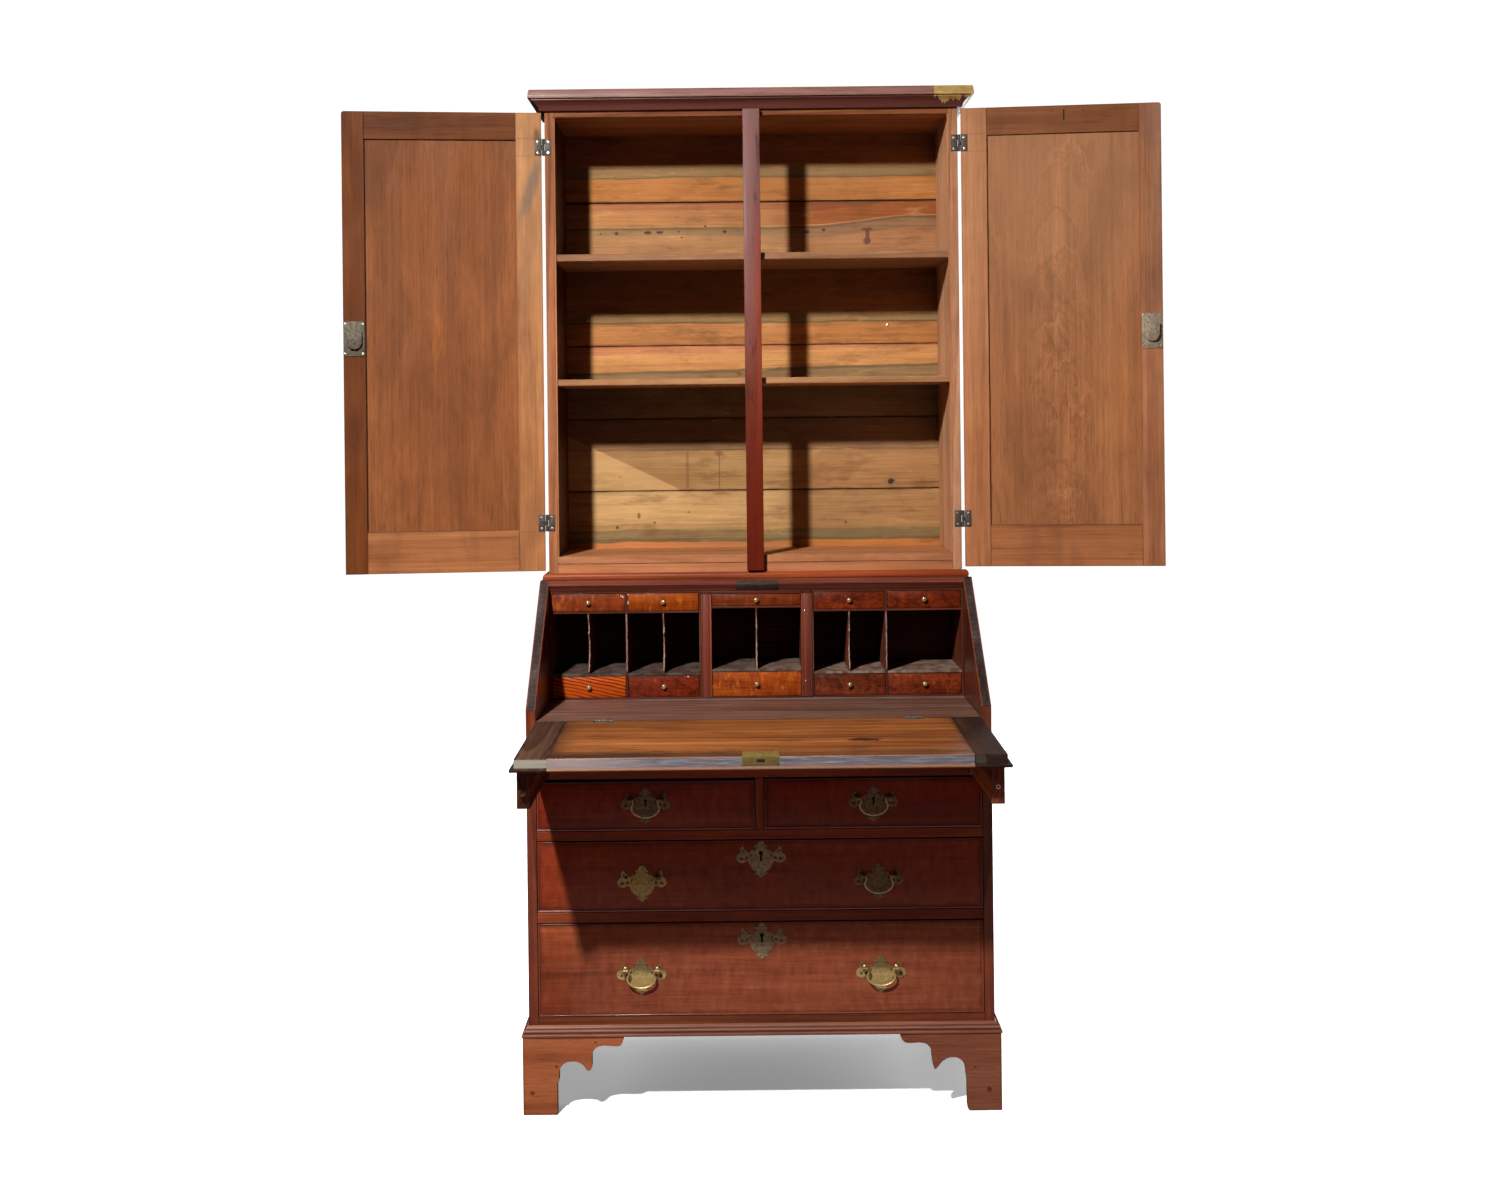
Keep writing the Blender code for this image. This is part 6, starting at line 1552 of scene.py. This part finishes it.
for z in (0.8480, 1.0040):
    p.lathe([(0, -0.0003), (0.0018, -0.0002), (0.0020, 0.0002), (0.0012, 0.0006), (0, 0.0007)], (0.1090, GY + 0.0004, z), "-y", M["screw"], 10)
p.board((-MX, GY + 0.0004, MROWS["under"][1]), (MX, CELL, MROWS["hole"][0]), "x", M["dusty"], bevel=0.0005)
p.board((-MX, GY + 0.0004, MROWS["hole"][1]), (MX, CELL, MROWS["over"][0]), "x", M["gallery"], bevel=0.0005)
p.prism(scallop(MROWS["hole"][0], MROWS["hole"][1], GY + 0.0006, CELL), "x", -0.002, 0.002, M["partition"], "z", bevel=0.0006, across="y",
        tint=(1.2, 1.15, 1.1))
p.done("carcase", "mahogany_inner", "gallery_centre")

# =================================================================== small drawers
KNOB = [(0.0, 0.0), (0.0024, 0.0), (0.0022, 0.0012), (0.0021, 0.0030), (0.0026, 0.0040), (0.0044, 0.0050), (0.0054, 0.0064), (0.0055, 0.0076),
        (0.0049, 0.0090), (0.0034, 0.0099), (0.0016, 0.0102), (0.0, 0.0102)]


def small_drawer(name, column, row, mat, tint, along="x", chips=()):
    a, b = column[0] + 0.0007, column[1] - 0.0007
    low, high = row[0] + 0.0006, row[1] - 0.0010
    y0, y1 = GY + 0.0015, GY + 0.195
    p = Piece(name + "_box")
    p.board((a, y0, low), (b, y0 + 0.008, high), along, mat, tint, bevel=0.0006, across="z" if along == "x" else "x")
    p.board((a + 0.0002, y0 + 0.0081, low), (b - 0.0002, y1, low + 0.004), "x", M["inside"], bevel=0.0002, tint=(0.75, 0.66, 0.58))
    for x0, x1 in ((a + 0.0002, a + 0.0045), (b - 0.0045, b - 0.0002)):
        p.board((x0, y0 + 0.0081, low + 0.0041), (x1, y1, high - 0.0041), "y", M["inside"], bevel=0.0004, tint=(0.75, 0.66, 0.58))
    p.board((a + 0.0046, y1 - 0.0044, low + 0.0041), (b - 0.0046, y1, high - 0.0041), "x", M["inside"], bevel=0.0004,
            tint=(0.75, 0.66, 0.58))
    x, z = (a + b) / 2, (low + high) / 2
    p.lathe(KNOB, (x, y0 + 0.0001, z), "-y", M["knob"], 20)
    for cx, cz in chips:
        p.plate([circle(0, 0, 0.0017, 7)], 0.0004, M["chip"], facing((cx, y0 + 0.0003, cz), (1, 0, 0), (0, 0, 1)), bevel=0.0001)
    p.done(name, "mahogany_inner", name)


columns = {"far_left": neg(SIDE)[1], "left": neg(SIDE)[0], "centre": (-MX, MX), "right": SIDE[0], "far_right": SIDE[1]}
looks = {
    ("upper", "far_left"): (M["flame"], (0.66, 0.50, 0.50)), ("upper", "left"): (M["flame"], (0.80, 0.62, 0.16)),
    ("upper", "centre"): (M["flame"], (0.48, 0.35, 0.36)), ("upper", "right"): (M["flame_dark"], (0.78, 0.54, 0.32)),
    ("upper", "far_right"): (M["flame_dark"], (0.72, 0.46, 0.20)), ("lower", "far_left"): (M["stripe"], (1.10, 0.72, 0.26)),
    ("lower", "left"): (M["flame_dark"], (1.04, 0.64, 0.36)), ("lower", "centre"): (M["flame"], (1.0, 0.78, 0.38)),
    ("lower", "right"): (M["flame_dark"], (0.66, 0.58, 0.52)), ("lower", "far_right"): (M["flame_dark"], (1.0, 0.80, 0.52)),
}
chips_at = {("upper", "far_left"): ((-0.3020, 1.0425), (-0.2985, 1.0400)), ("upper", "left"): ((-0.2860, 1.0445), (-0.2862, 1.0280), (-0.2866, 1.0245)),
            ("lower", "left"): ((-0.1540, 0.8600),)}
for (row, word), (mat, tint) in looks.items():
    rows = MROWS if word == "centre" else ROWS
    small_drawer(f"small_drawer_{row}_{word}", columns[word], rows["over" if row == "upper" else "under"], mat, tint,
                 chips=chips_at.get((row, word), ()))

# =================================================================== fall
SAG = math.radians(1.4)


class FallPiece(Piece):
    """Built level, then let down to the fall's lean."""

    def laid(self, body, slot, *nodes):
        pivot = Vector((0, 0, BED))
        turn = Matrix.Translation(pivot) @ Matrix.Rotation(SAG, 4, "X") @ Matrix.Translation(-pivot)
        self.verts = [tuple(turn @ Vector(v)) for v in self.verts]
        return self.done(body, slot, *nodes)

    def slab(self, lo, hi, mat, coords):
        """A board with square edges that shares its coordinates with its neighbours."""
        bm = bmesh.new()
        bmesh.ops.create_cube(bm, size=1.0)
        bmesh.ops.scale(bm, vec=Vector(hi) - Vector(lo), verts=bm.verts)
        bmesh.ops.translate(bm, vec=(Vector(lo) + Vector(hi)) / 2, verts=bm.verts)
        self.take(bm, mat, coords)

    def solid(self, points, a, b, mat, coords, bevel=0.0):
        """A (y, z) outline from x = a to b with shared coordinates."""
        bm = bmesh.new()
        rings = [[bm.verts.new((x, y, z)) for y, z in points] for x in (a, b)]
        caps = [bm.faces.new(rings[0]), bm.faces.new(rings[1])]
        n = len(points)
        for i in range(n):
            j = (i + 1) % n
            bm.faces.new((rings[0][i], rings[0][j], rings[1][j], rings[1][i]))
        bmesh.ops.recalc_face_normals(bm, faces=bm.faces)
        if bevel:
            bmesh.ops.bevel(bm, geom=list({e for f in caps for e in f.edges}), offset=bevel, segments=2, affect="EDGES", profile=0.5)
        self.take(bm, mat, coords)


FL, FH, FTOP, FBOT, FLIP = 0.378, 0.4605, BED, BED - 0.0253, BED - 0.0183
END = 0.3985
p = FallPiece("fall_boards")
main = p.board_coords((-END, -0.386, FBOT), (END, -0.0006, FTOP), "x", (1, 1, 1), (0.05, 0.10), "y")
REAR = -0.0206
nose = [(REAR, FTOP), (-FL + 0.0014, FTOP), (-FL + 0.0004, FTOP - 0.0004), (-FL, FTOP - 0.0014), (-FL, FLIP + 0.0004), (-FL - 0.0004, FLIP),
        (-FL - 0.0062, FLIP), (-FL - 0.0074, FLIP - 0.0006), (-FL - 0.0080, FLIP - 0.0018), (-FL - 0.0078, FLIP - 0.0034),
        (-FL - 0.0066, FLIP - 0.0050), (-FL - 0.0044, FLIP - 0.0062), (-FL - 0.0014, FLIP - 0.0068), (-FL + 0.0020, FBOT), (REAR, FBOT)]
p.solid(nose, -END, END, M["fall"], main, 0.0002)
hollows = [(-0.3400, -0.3000), (0.3000, 0.3400)]
strips = [(-END, -0.3400, 0), (-0.3400, -0.3000, 1), (-0.3000, 0.3000, 0), (0.3000, 0.3400, 1), (0.3400, END, 0)]
for x0, x1, deep in strips:
    if deep:
        p.slab((x0, REAR, FBOT), (x1, -0.0042, FTOP - 0.0020), M["fall"], main)
        p.solid([(-0.0042, FTOP - 0.0042), (-0.0006, FTOP - 0.0042), (-0.0006, FTOP - 0.00644), (-0.0042, FTOP - 0.0109)], x0, x1, M["fall"], main)
        p.solid([(-0.0042, FTOP - 0.0109), (-0.0042, FBOT + 0.0144), (-0.0042, FBOT + 0.0143), (-0.0160, FBOT)], x0, x1, M["fall"], main)
    else:
        p.solid([(REAR, FTOP), (REAR, FBOT), (-0.0160, FBOT), (-0.0006, FTOP - 0.00644), (-0.0006, FTOP - 0.0006), (-0.0012, FTOP)], x0, x1,
                M["fall"], main)
for s in (-1, 1):
    a, b = span(s, END + 0.0004, FH)
    ends = p.board_coords((a, -0.386, FBOT), (b, -0.0006, FTOP), "y", (1, 1, 1) if s < 0 else (1.02, 0.98, 0.98), (0.02, 0.09), "x")
    inner = [(-0.0012, FTOP), (-FL + 0.0030, FTOP), (-FL + 0.0012, FTOP - 0.0008), (-FL, FTOP - 0.0026), (-FL, FLIP), (-0.0103, FLIP),
             (-0.0006, FTOP - 0.0065), (-0.0006, FTOP - 0.0006)]
    p.solid(inner, a, b, M["fall_end"], ends, 0.0006)
    a, b = span(s, END + 0.0004, 0.4690)
    lip = [(-0.0104, FLIP - 0.0001), (-FL - 0.0060, FLIP - 0.0001), (-FL - 0.0074, FLIP - 0.0008), (-FL - 0.0078, FLIP - 0.0022),
           (-FL - 0.0066, FLIP - 0.0048), (-FL - 0.0040, FLIP - 0.0064), (-FL + 0.0020, FBOT), (-0.0160, FBOT)]
    p.solid(lip, a, b, M["fall_end"], ends, 0.0014)
    # small pieced-in block at the head of each end
    xa, xb = (-0.4606, -0.3990) if s < 0 else (0.4010, 0.4560)
    h = 0.0003
    if s < 0:
        p.board((xa, -FL - 0.0003, FLIP + 0.0006), (xb + 0.0010, -FL + 0.0010, FTOP - 0.0016), "x", M["end_block"], bevel=0.0003)
        p.board((xb + 0.0005, -FL - 0.0003, FTOP - 0.0095), (xb + 0.0058, -FL + 0.0010, FTOP - 0.0016), "x", M["end_block"], bevel=0.0003)
    else:
        p.board((xa, -FL - 0.0002, FLIP + 0.0010), (xa + 0.0190, -FL + 0.0010, FTOP - 0.0020), "x", M["end_block"], bevel=0.0003,
                tint=(0.22, 0.20, 0.21))
p.laid("fall", "mahogany_aged", "fall_board")

p = FallPiece("fall_lock_plates")
flat = facing((0, -0.3530, FTOP - 0.0012), (1, 0, 0), (0, 1, 0))
hole = [(x, y - 0.004) for x, y in circle(0, 0, 0.0026, 12)]
p.plate([[(-0.0345, -0.0246), (0.0345, -0.0246), (0.0345, 0.0246), (-0.0345, 0.0246)]], 0.0013, M["lock_brass"], flat, bevel=0.0003)
front = facing((0, -FL + 0.0001, FTOP - 0.0078), (1, 0, 0), (0, 0, 1))
bolt = [(-0.0075, -0.0030), (0.0075, -0.0030), (0.0075, 0.0030), (-0.0075, 0.0030)]
p.plate([[(-0.0345, -0.0079), (0.0345, -0.0079), (0.0345, 0.0078), (-0.0345, 0.0078)], bolt], 0.0009, M["lock_brass"], front, bevel=0.0002)
p.plate([bolt], 0.0002, M["void"], front, bevel=0.00005)
for x in (-0.0290, 0.0290):
    screw(p, (x, -FL - 0.0005, FTOP - 0.0078), "-y", 0.0022, 0.6, M["lock_brass"])
for x, y in ((-0.0290, -0.3370), (0.0290, -0.3370), (-0.0290, -0.3660), (0.0290, -0.3660)):
    screw(p, (x, y, FTOP - 0.0002), "z", 0.0022, 0.9, M["lock_brass"])
p.laid("fall", "brass_old", "fall_lock")

for s, word in ((-1, "left"), (1, "right")):
    x = s * 0.320
    for bed in (True, False):
        p = Piece(f"fall_hinge_{word}_bed") if bed else FallPiece(f"fall_hinge_{word}_fall")
        y0, y1 = (0.0036, 0.0200) if bed else (-0.0200, -0.0036)
        p.board((x - 0.0193, y0, BED - 0.0016), (x + 0.0193, y1, BED + 0.0002), "x", M["iron_bed"], bevel=0.0004)
        ring = [(0.0019, -0.0061), (0.0027, -0.0061), (0.0030, -0.0058), (0.0030, 0.0058), (0.0027, 0.0061), (0.0019, 0.0061)]
        if bed:
            for dx in (-0.01315, 0.01315):
                p.lathe(ring, (x + dx, 0, BED), "x", M["iron_bed"], 18)
                p.board((x + dx - 0.0060, 0.0020, BED - 0.0016), (x + dx + 0.0060, 0.0040, BED - 0.0002), "x", M["iron_bed"], bevel=0.0)
        else:
            p.lathe([(0, -0.0060), (0.0027, -0.0060), (0.0030, -0.0057), (0.0030, 0.0057), (0.0027, 0.0060), (0, 0.0060)], (x, 0, BED), "x",
                    M["iron_bed"], 18)
            for d in ("x", "-x"):
                p.lathe([(0, 0.0192), (0.0011, 0.0192), (0.0014, 0.0189), (0.0014, 0.0055), (0, 0.0055)], (x, 0, BED), d, M["iron_bed"], 10)
            p.board((x - 0.0058, -0.0040, BED - 0.0016), (x + 0.0058, -0.0020, BED - 0.0002), "x", M["iron_bed"], bevel=0.0)
        for dx, tilt in ((-0.0125, 0.4), (0.0125, 1.3)):
            screw(p, (x + dx, (y0 + y1) / 2 + (0.001 if bed else -0.001), BED + 0.0001), "z", 0.0026, tilt)
        if bed:
            p.done("carcase", "iron_old", f"fall_hinge_{word}_bed_leaf")
        else:
            p.laid("fall", "iron_old", f"fall_hinge_{word}_fall_leaf")

# =================================================================== lopers
for s, word in ((-1, "left"), (1, "right")):
    p = Piece(f"loper_{word}_bar")
    x0, x1 = span(s, 0.4370, 0.4620)
    head, za, zb = -0.3235, 0.6975, 0.7850
    low = zb + (head + 0.013) * math.tan(SAG)
    rear = head + 0.500
    outline = [(head + 0.0008, za), (rear, za), (rear, zb), (0, zb), (head + 0.013, low), (head + 0.0075, low - 0.0010),
               (head + 0.0032, low - 0.0040), (head + 0.0006, low - 0.0085), (head, low - 0.013), (head, za + 0.0008)]
    # the right loper is tinted much paler than the left: painted light
    p.prism(outline, "x", x0, x1, M["loper"], "y", tint=(1.0, 0.95, 0.95) if s < 0 else (1.9, 2.2, 1.7), bevel=0.0012, across="z")
    kx, kz = s * 0.4495, 0.7300
    if s < 0:
        p.lathe([(0, -0.0005), (0.0040, -0.0005), (0.0036, 0.0018), (0.0034, 0.0050), (0.0042, 0.0068), (0.0062, 0.0084), (0.0070, 0.0102),
                 (0.0070, 0.0116), (0.0062, 0.0134), (0.0044, 0.0146), (0.0020, 0.0150), (0, 0.0150)], (kx, head, kz), "-y", M["knob_dull"], 20)
    else:
        ring = [(0.0022, -0.0004), (0.0046, -0.0004), (0.0044, 0.0002), (0.0038, 0.0006), (0.0028, 0.0005), (0.0022, 0.0001)]
        p.lathe(ring, (kx, head, kz), "-y", M["worn_ring"], 20)
        p.plate([circle(0, 0, 0.0023, 14)], 0.0002, M["void"], facing((kx, head - 0.00005, kz), (1, 0, 0), (0, 0, 1)), bevel=0.00005)
    p.done(f"loper_{word}", "mahogany_aged", f"loper_{word}")

# =================================================================== large drawers, plates and bails
PLATE = [(0.0, -0.0405), (0.0022, -0.0392), (0.0040, -0.0372), (0.0068, -0.0352), (0.0102, -0.0338), (0.0128, -0.0326), (0.0134, -0.0312),
         (0.0122, -0.0302), (0.0104, -0.0298), (0.0096, -0.0288), (0.0104, -0.0276), (0.0136, -0.0258), (0.0178, -0.0228), (0.0212, -0.0188),
         (0.0236, -0.0142), (0.0252, -0.0098), (0.0264, -0.0078), (0.0284, -0.0066), (0.0310, -0.0070), (0.0340, -0.0090), (0.0374, -0.0102),
         (0.0412, -0.0102), (0.0450, -0.0090), (0.0482, -0.0066), (0.0505, -0.0034), (0.0515, 0.0004), (0.0510, 0.0042), (0.0492, 0.0074),
         (0.0466, 0.0096), (0.0440, 0.0108), (0.0428, 0.0122), (0.0432, 0.0144), (0.0434, 0.0170), (0.0424, 0.0200), (0.0404, 0.0230),
         (0.0386, 0.0256), (0.0374, 0.0250), (0.0364, 0.0222), (0.0348, 0.0196), (0.0328, 0.0176), (0.0308, 0.0164), (0.0290, 0.0146),
         (0.0276, 0.0124), (0.0256, 0.0112), (0.0236, 0.0116), (0.0222, 0.0134), (0.0210, 0.0158), (0.0190, 0.0170), (0.0170, 0.0164),
         (0.0158, 0.0150), (0.0146, 0.0152), (0.0138, 0.0170), (0.0128, 0.0184), (0.0108, 0.0188), (0.0100, 0.0198), (0.0104, 0.0212),
         (0.0126, 0.0222), (0.0136, 0.0240), (0.0128, 0.0258), (0.0104, 0.0266), (0.0086, 0.0270), (0.0078, 0.0286), (0.0072, 0.0312),
         (0.0054, 0.0334), (0.0034, 0.0346), (0.0018, 0.0358), (0.0, 0.0364)]
PIERCED = [
    [(0.0262, 0.0010), (0.0280, -0.0016), (0.0310, -0.0022), (0.0330, -0.0004), (0.0322, 0.0018), (0.0300, 0.0030), (0.0276, 0.0040)],
    [(0.0372, -0.0020), (0.0392, -0.0042), (0.0424, -0.0040), (0.0440, -0.0014), (0.0430, 0.0014), (0.0400, 0.0022), (0.0378, 0.0008)],
    [(0.0196, 0.0040), (0.0214, 0.0020), (0.0232, 0.0034), (0.0226, 0.0070), (0.0206, 0.0092), (0.0190, 0.0080)],
    [(0.0372, 0.0140), (0.0390, 0.0130), (0.0404, 0.0146), (0.0398, 0.0176), (0.0380, 0.0186), (0.0368, 0.0166)],
    [(0.0066, 0.0208), (0.0080, 0.0200), (0.0090, 0.0214), (0.0084, 0.0232), (0.0068, 0.0234)],
]
KEYHOLE = [(-0.0014, -0.0050), (0.0014, -0.0050), (0.0012, 0.0016), (0.0024, 0.0028), (0.0026, 0.0044), (0.0016, 0.0060), (0.0, 0.0066),
           (-0.0016, 0.0060), (-0.0026, 0.0044), (-0.0024, 0.0028), (-0.0012, 0.0016)]
POST_X, POST_Y, FRONT_Y = 0.033, -0.0105, 0.0010


def mirror_x(points):
    return [(-a, b) for a, b in reversed(points)]


def back_plate(p, x, z, metal_, keyhole, scale=1.0, lift=0.0, pierce=True, key=1.35):
    """A pierced back plate of bat's-wing outline standing 1.3 mm off the drawer front."""
    m = facing((x, FRONT_Y - 0.0001, z + lift), (1, 0, 0), (0, 0, 1))
    sheet = [mirrored([(a * scale, b * scale) for a, b in PLATE])]
    holes = []
    if pierce:
        for h in PIERCED:
            holes += [[(a * scale, b * scale) for a, b in h], mirror_x([(a * scale, b * scale) for a, b in h])]
    if keyhole:
        holes.append([(a * key, b * key + 0.003) for a, b in KEYHOLE])
    p.plate(sheet + holes, 0.0013, metal_, m, bevel=0.0003)
    if keyhole:
        p.plate([[(a * key * 0.98, b * key * 0.98 + 0.003) for a, b in KEYHOLE]], 0.0002, M["void"], m, bevel=0.00004)


def post(p, x, z, metal_):
    """Cast post with its flared foot, bored across for the bail."""
    p.lathe([(0, 0.0), (0.0062, 0.0), (0.0064, 0.0008), (0.0050, 0.0018), (0.0036, 0.0030), (0.0036, 0.0048), (0.0030, 0.0060), (0.0, 0.0060)],
            (x, FRONT_Y - 0.0013, z), "-y", metal_, 18)
    shell = []
    n = 12
    for r0, r1, h0, h1 in ((0.0029, 0.0048, -0.0054, 0.0054),):
        p.lathe([(r0, h0), (r1 - 0.0006, h0), (r1, h0 + 0.0006), (r1, h1 - 0.0006), (r1 - 0.0006, h1), (r0, h1)], (x, POST_Y, z), "x", metal_, 18)


def bead(p, x0, x1, z0, z1, mat, tint, w=0.0036, out=0.0012):
    """Cock bead round a drawer front: a thin half-round strip that stands proud on all four edges."""
    y0, y1 = FRONT_Y - out, FRONT_Y + 0.0100
    # the bottom bead of the upper drawers is the pale copy, a painted highlight; the top bead is tinted dark, painted
    # shade under the rail above
    p.board((x0, y0, z0), (x1, y1, z0 + w), "x", M["bead_low"] if z0 > 0.3 else mat, tint, bevel=0.0014, segments=3)
    p.board((x0, y0, z1 - w), (x1, y1, z1), "x", mat, (0.62, 0.55, 0.55), bevel=0.0014, segments=3)
    p.board((x0, y0, z0 + w), (x0 + w, y1, z1 - w), "z", mat, tint, bevel=0.0014, segments=3)
    p.board((x1 - w, y0, z0 + w), (x1, y1, z1 - w), "z", mat, tint, bevel=0.0014, segments=3)


def large_drawer(name, x0, x1, z0, z1, tint, handles, shields, metal_):
    p = Piece(name + "_box")
    w = 0.0036
    p.board((x0 + w + 0.0001, FRONT_Y, z0 + w + 0.0001), (x1 - w - 0.0001, FRONT_Y + 0.020, z1 - w - 0.0001), "x", M["drawer"], tint, bevel=0.0003)
    p.board((x0, FRONT_Y + 0.0101, z0), (x1, FRONT_Y + 0.0200, z1), "x", M["drawer"], tint, bevel=0.0004)
    bead(p, x0, x1, z0, z1, M["bead"], (1, 1, 1), w)
    a, b, ya, yb, top = x0 + 0.0012, x1 - 0.0012, FRONT_Y + 0.0202, 0.5398, z1 - 0.0122
    p.board((a, ya, z0 + 0.0002), (b, yb, z0 + 0.0108), "x", M["inside"], bevel=0.0004, tint=(0.86, 0.80, 0.76))
    p.board((a, ya, z0 + 0.0110), (a + 0.0096, yb, top), "y", M["inside"], bevel=0.0008)
    p.board((b - 0.0096, ya, z0 + 0.0110), (b, yb, top), "y", M["inside"], bevel=0.0008)
    p.board((a + 0.0098, yb - 0.0098, z0 + 0.0110), (b - 0.0098, yb, top), "x", M["inside"], bevel=0.0008)
    for x, z, pz, state in handles:
        back_plate(p, x, z, M["brass"] if state == "bare" else metal_, state == "key")
        for dx in (-POST_X, POST_X):
            if state != "bare" or dx > 0:
                post(p, x + dx, pz, metal_)
            else:
                p.plate([circle(0, 0, 0.0034, 14)], 0.00022, M["void"], facing((x + dx, FRONT_Y - 0.0013, pz), (1, 0, 0), (0, 0, 1)), bevel=0.00005)
    for x, z in shields:
        back_plate(p, x, z, M["shield"], True, 1.0, key=1.75)
    p.done(name, "mahogany_aged", name)


SX = INNER - 0.001
large_drawer("drawer_short_left", -SX, -0.010, 0.5832, 0.6850, (1.12, 0.86, 0.98), [(-0.2360, 0.6360, 0.6470, "key")], [], M["brass_dull"])
large_drawer("drawer_short_right", 0.010, SX, 0.5832, 0.6875, (0.78, 0.47, 0.42), [(0.2360, 0.6360, 0.6470, "key")], [], M["brass_dull"])
large_drawer("drawer_middle", -SX, SX, 0.4152, 0.5607, (0.98, 1.06, 1.28),
             [(-0.2450, 0.4750, 0.4860, "bare"), (0.2450, 0.4750, 0.4860, "plain")], [(0.002, 0.5235)], M["brass_dull"])
large_drawer("drawer_bottom", -SX, SX, 0.1987, 0.3912, (1.18, 1.86, 2.7),
             [(-0.2480, 0.2830, 0.2940, "plain"), (0.2480, 0.2830, 0.2940, "plain")], [(0.002, 0.3540)], M["brass_bright"])

BAIL = [(0.0376, 0.0), (0.0330, 0.0), (0.0285, 0.0), (0.0264, -0.0004), (0.0256, -0.0018), (0.0254, -0.0040), (0.0258, -0.0068),
        (0.0270, -0.0098), (0.0282, -0.0126), (0.0288, -0.0154), (0.0284, -0.0184), (0.0272, -0.0216), (0.0250, -0.0248), (0.0218, -0.0280),
        (0.0176, -0.0308), (0.0124, -0.0330), (0.0062, -0.0344), (0.0, -0.0349)]
RADII = [0.0019] * 3 + [0.0018, 0.0017, 0.0017, 0.0018, 0.0019, 0.0020, 0.0021, 0.0021, 0.0021, 0.0021, 0.0022, 0.0022, 0.0023, 0.0024, 0.0025]
for name, x, z, metal_ in (("short_left", -0.2360, 0.6470, M["bail_dull"]), ("short_right", 0.2360, 0.6470, M["bail_dull"]),
                           ("middle_right", 0.2450, 0.4860, M["bail_dull"]), ("bottom_left", -0.2480, 0.2940, M["brass_bright"]),
                           ("bottom_right", 0.2480, 0.2940, M["brass_bright"])):
    p = Piece(f"bail_{name}_wire")
    pts = [(x - a, POST_Y, z + b) for a, b in BAIL] + [(x + a, POST_Y, z + b) for a, b in reversed(BAIL[:-1])]
    p.tube(pts, RADII + list(reversed(RADII[:-1])), metal_, 14)
    p.done(f"bail_{name}", "brass_old", f"bail_{name}")
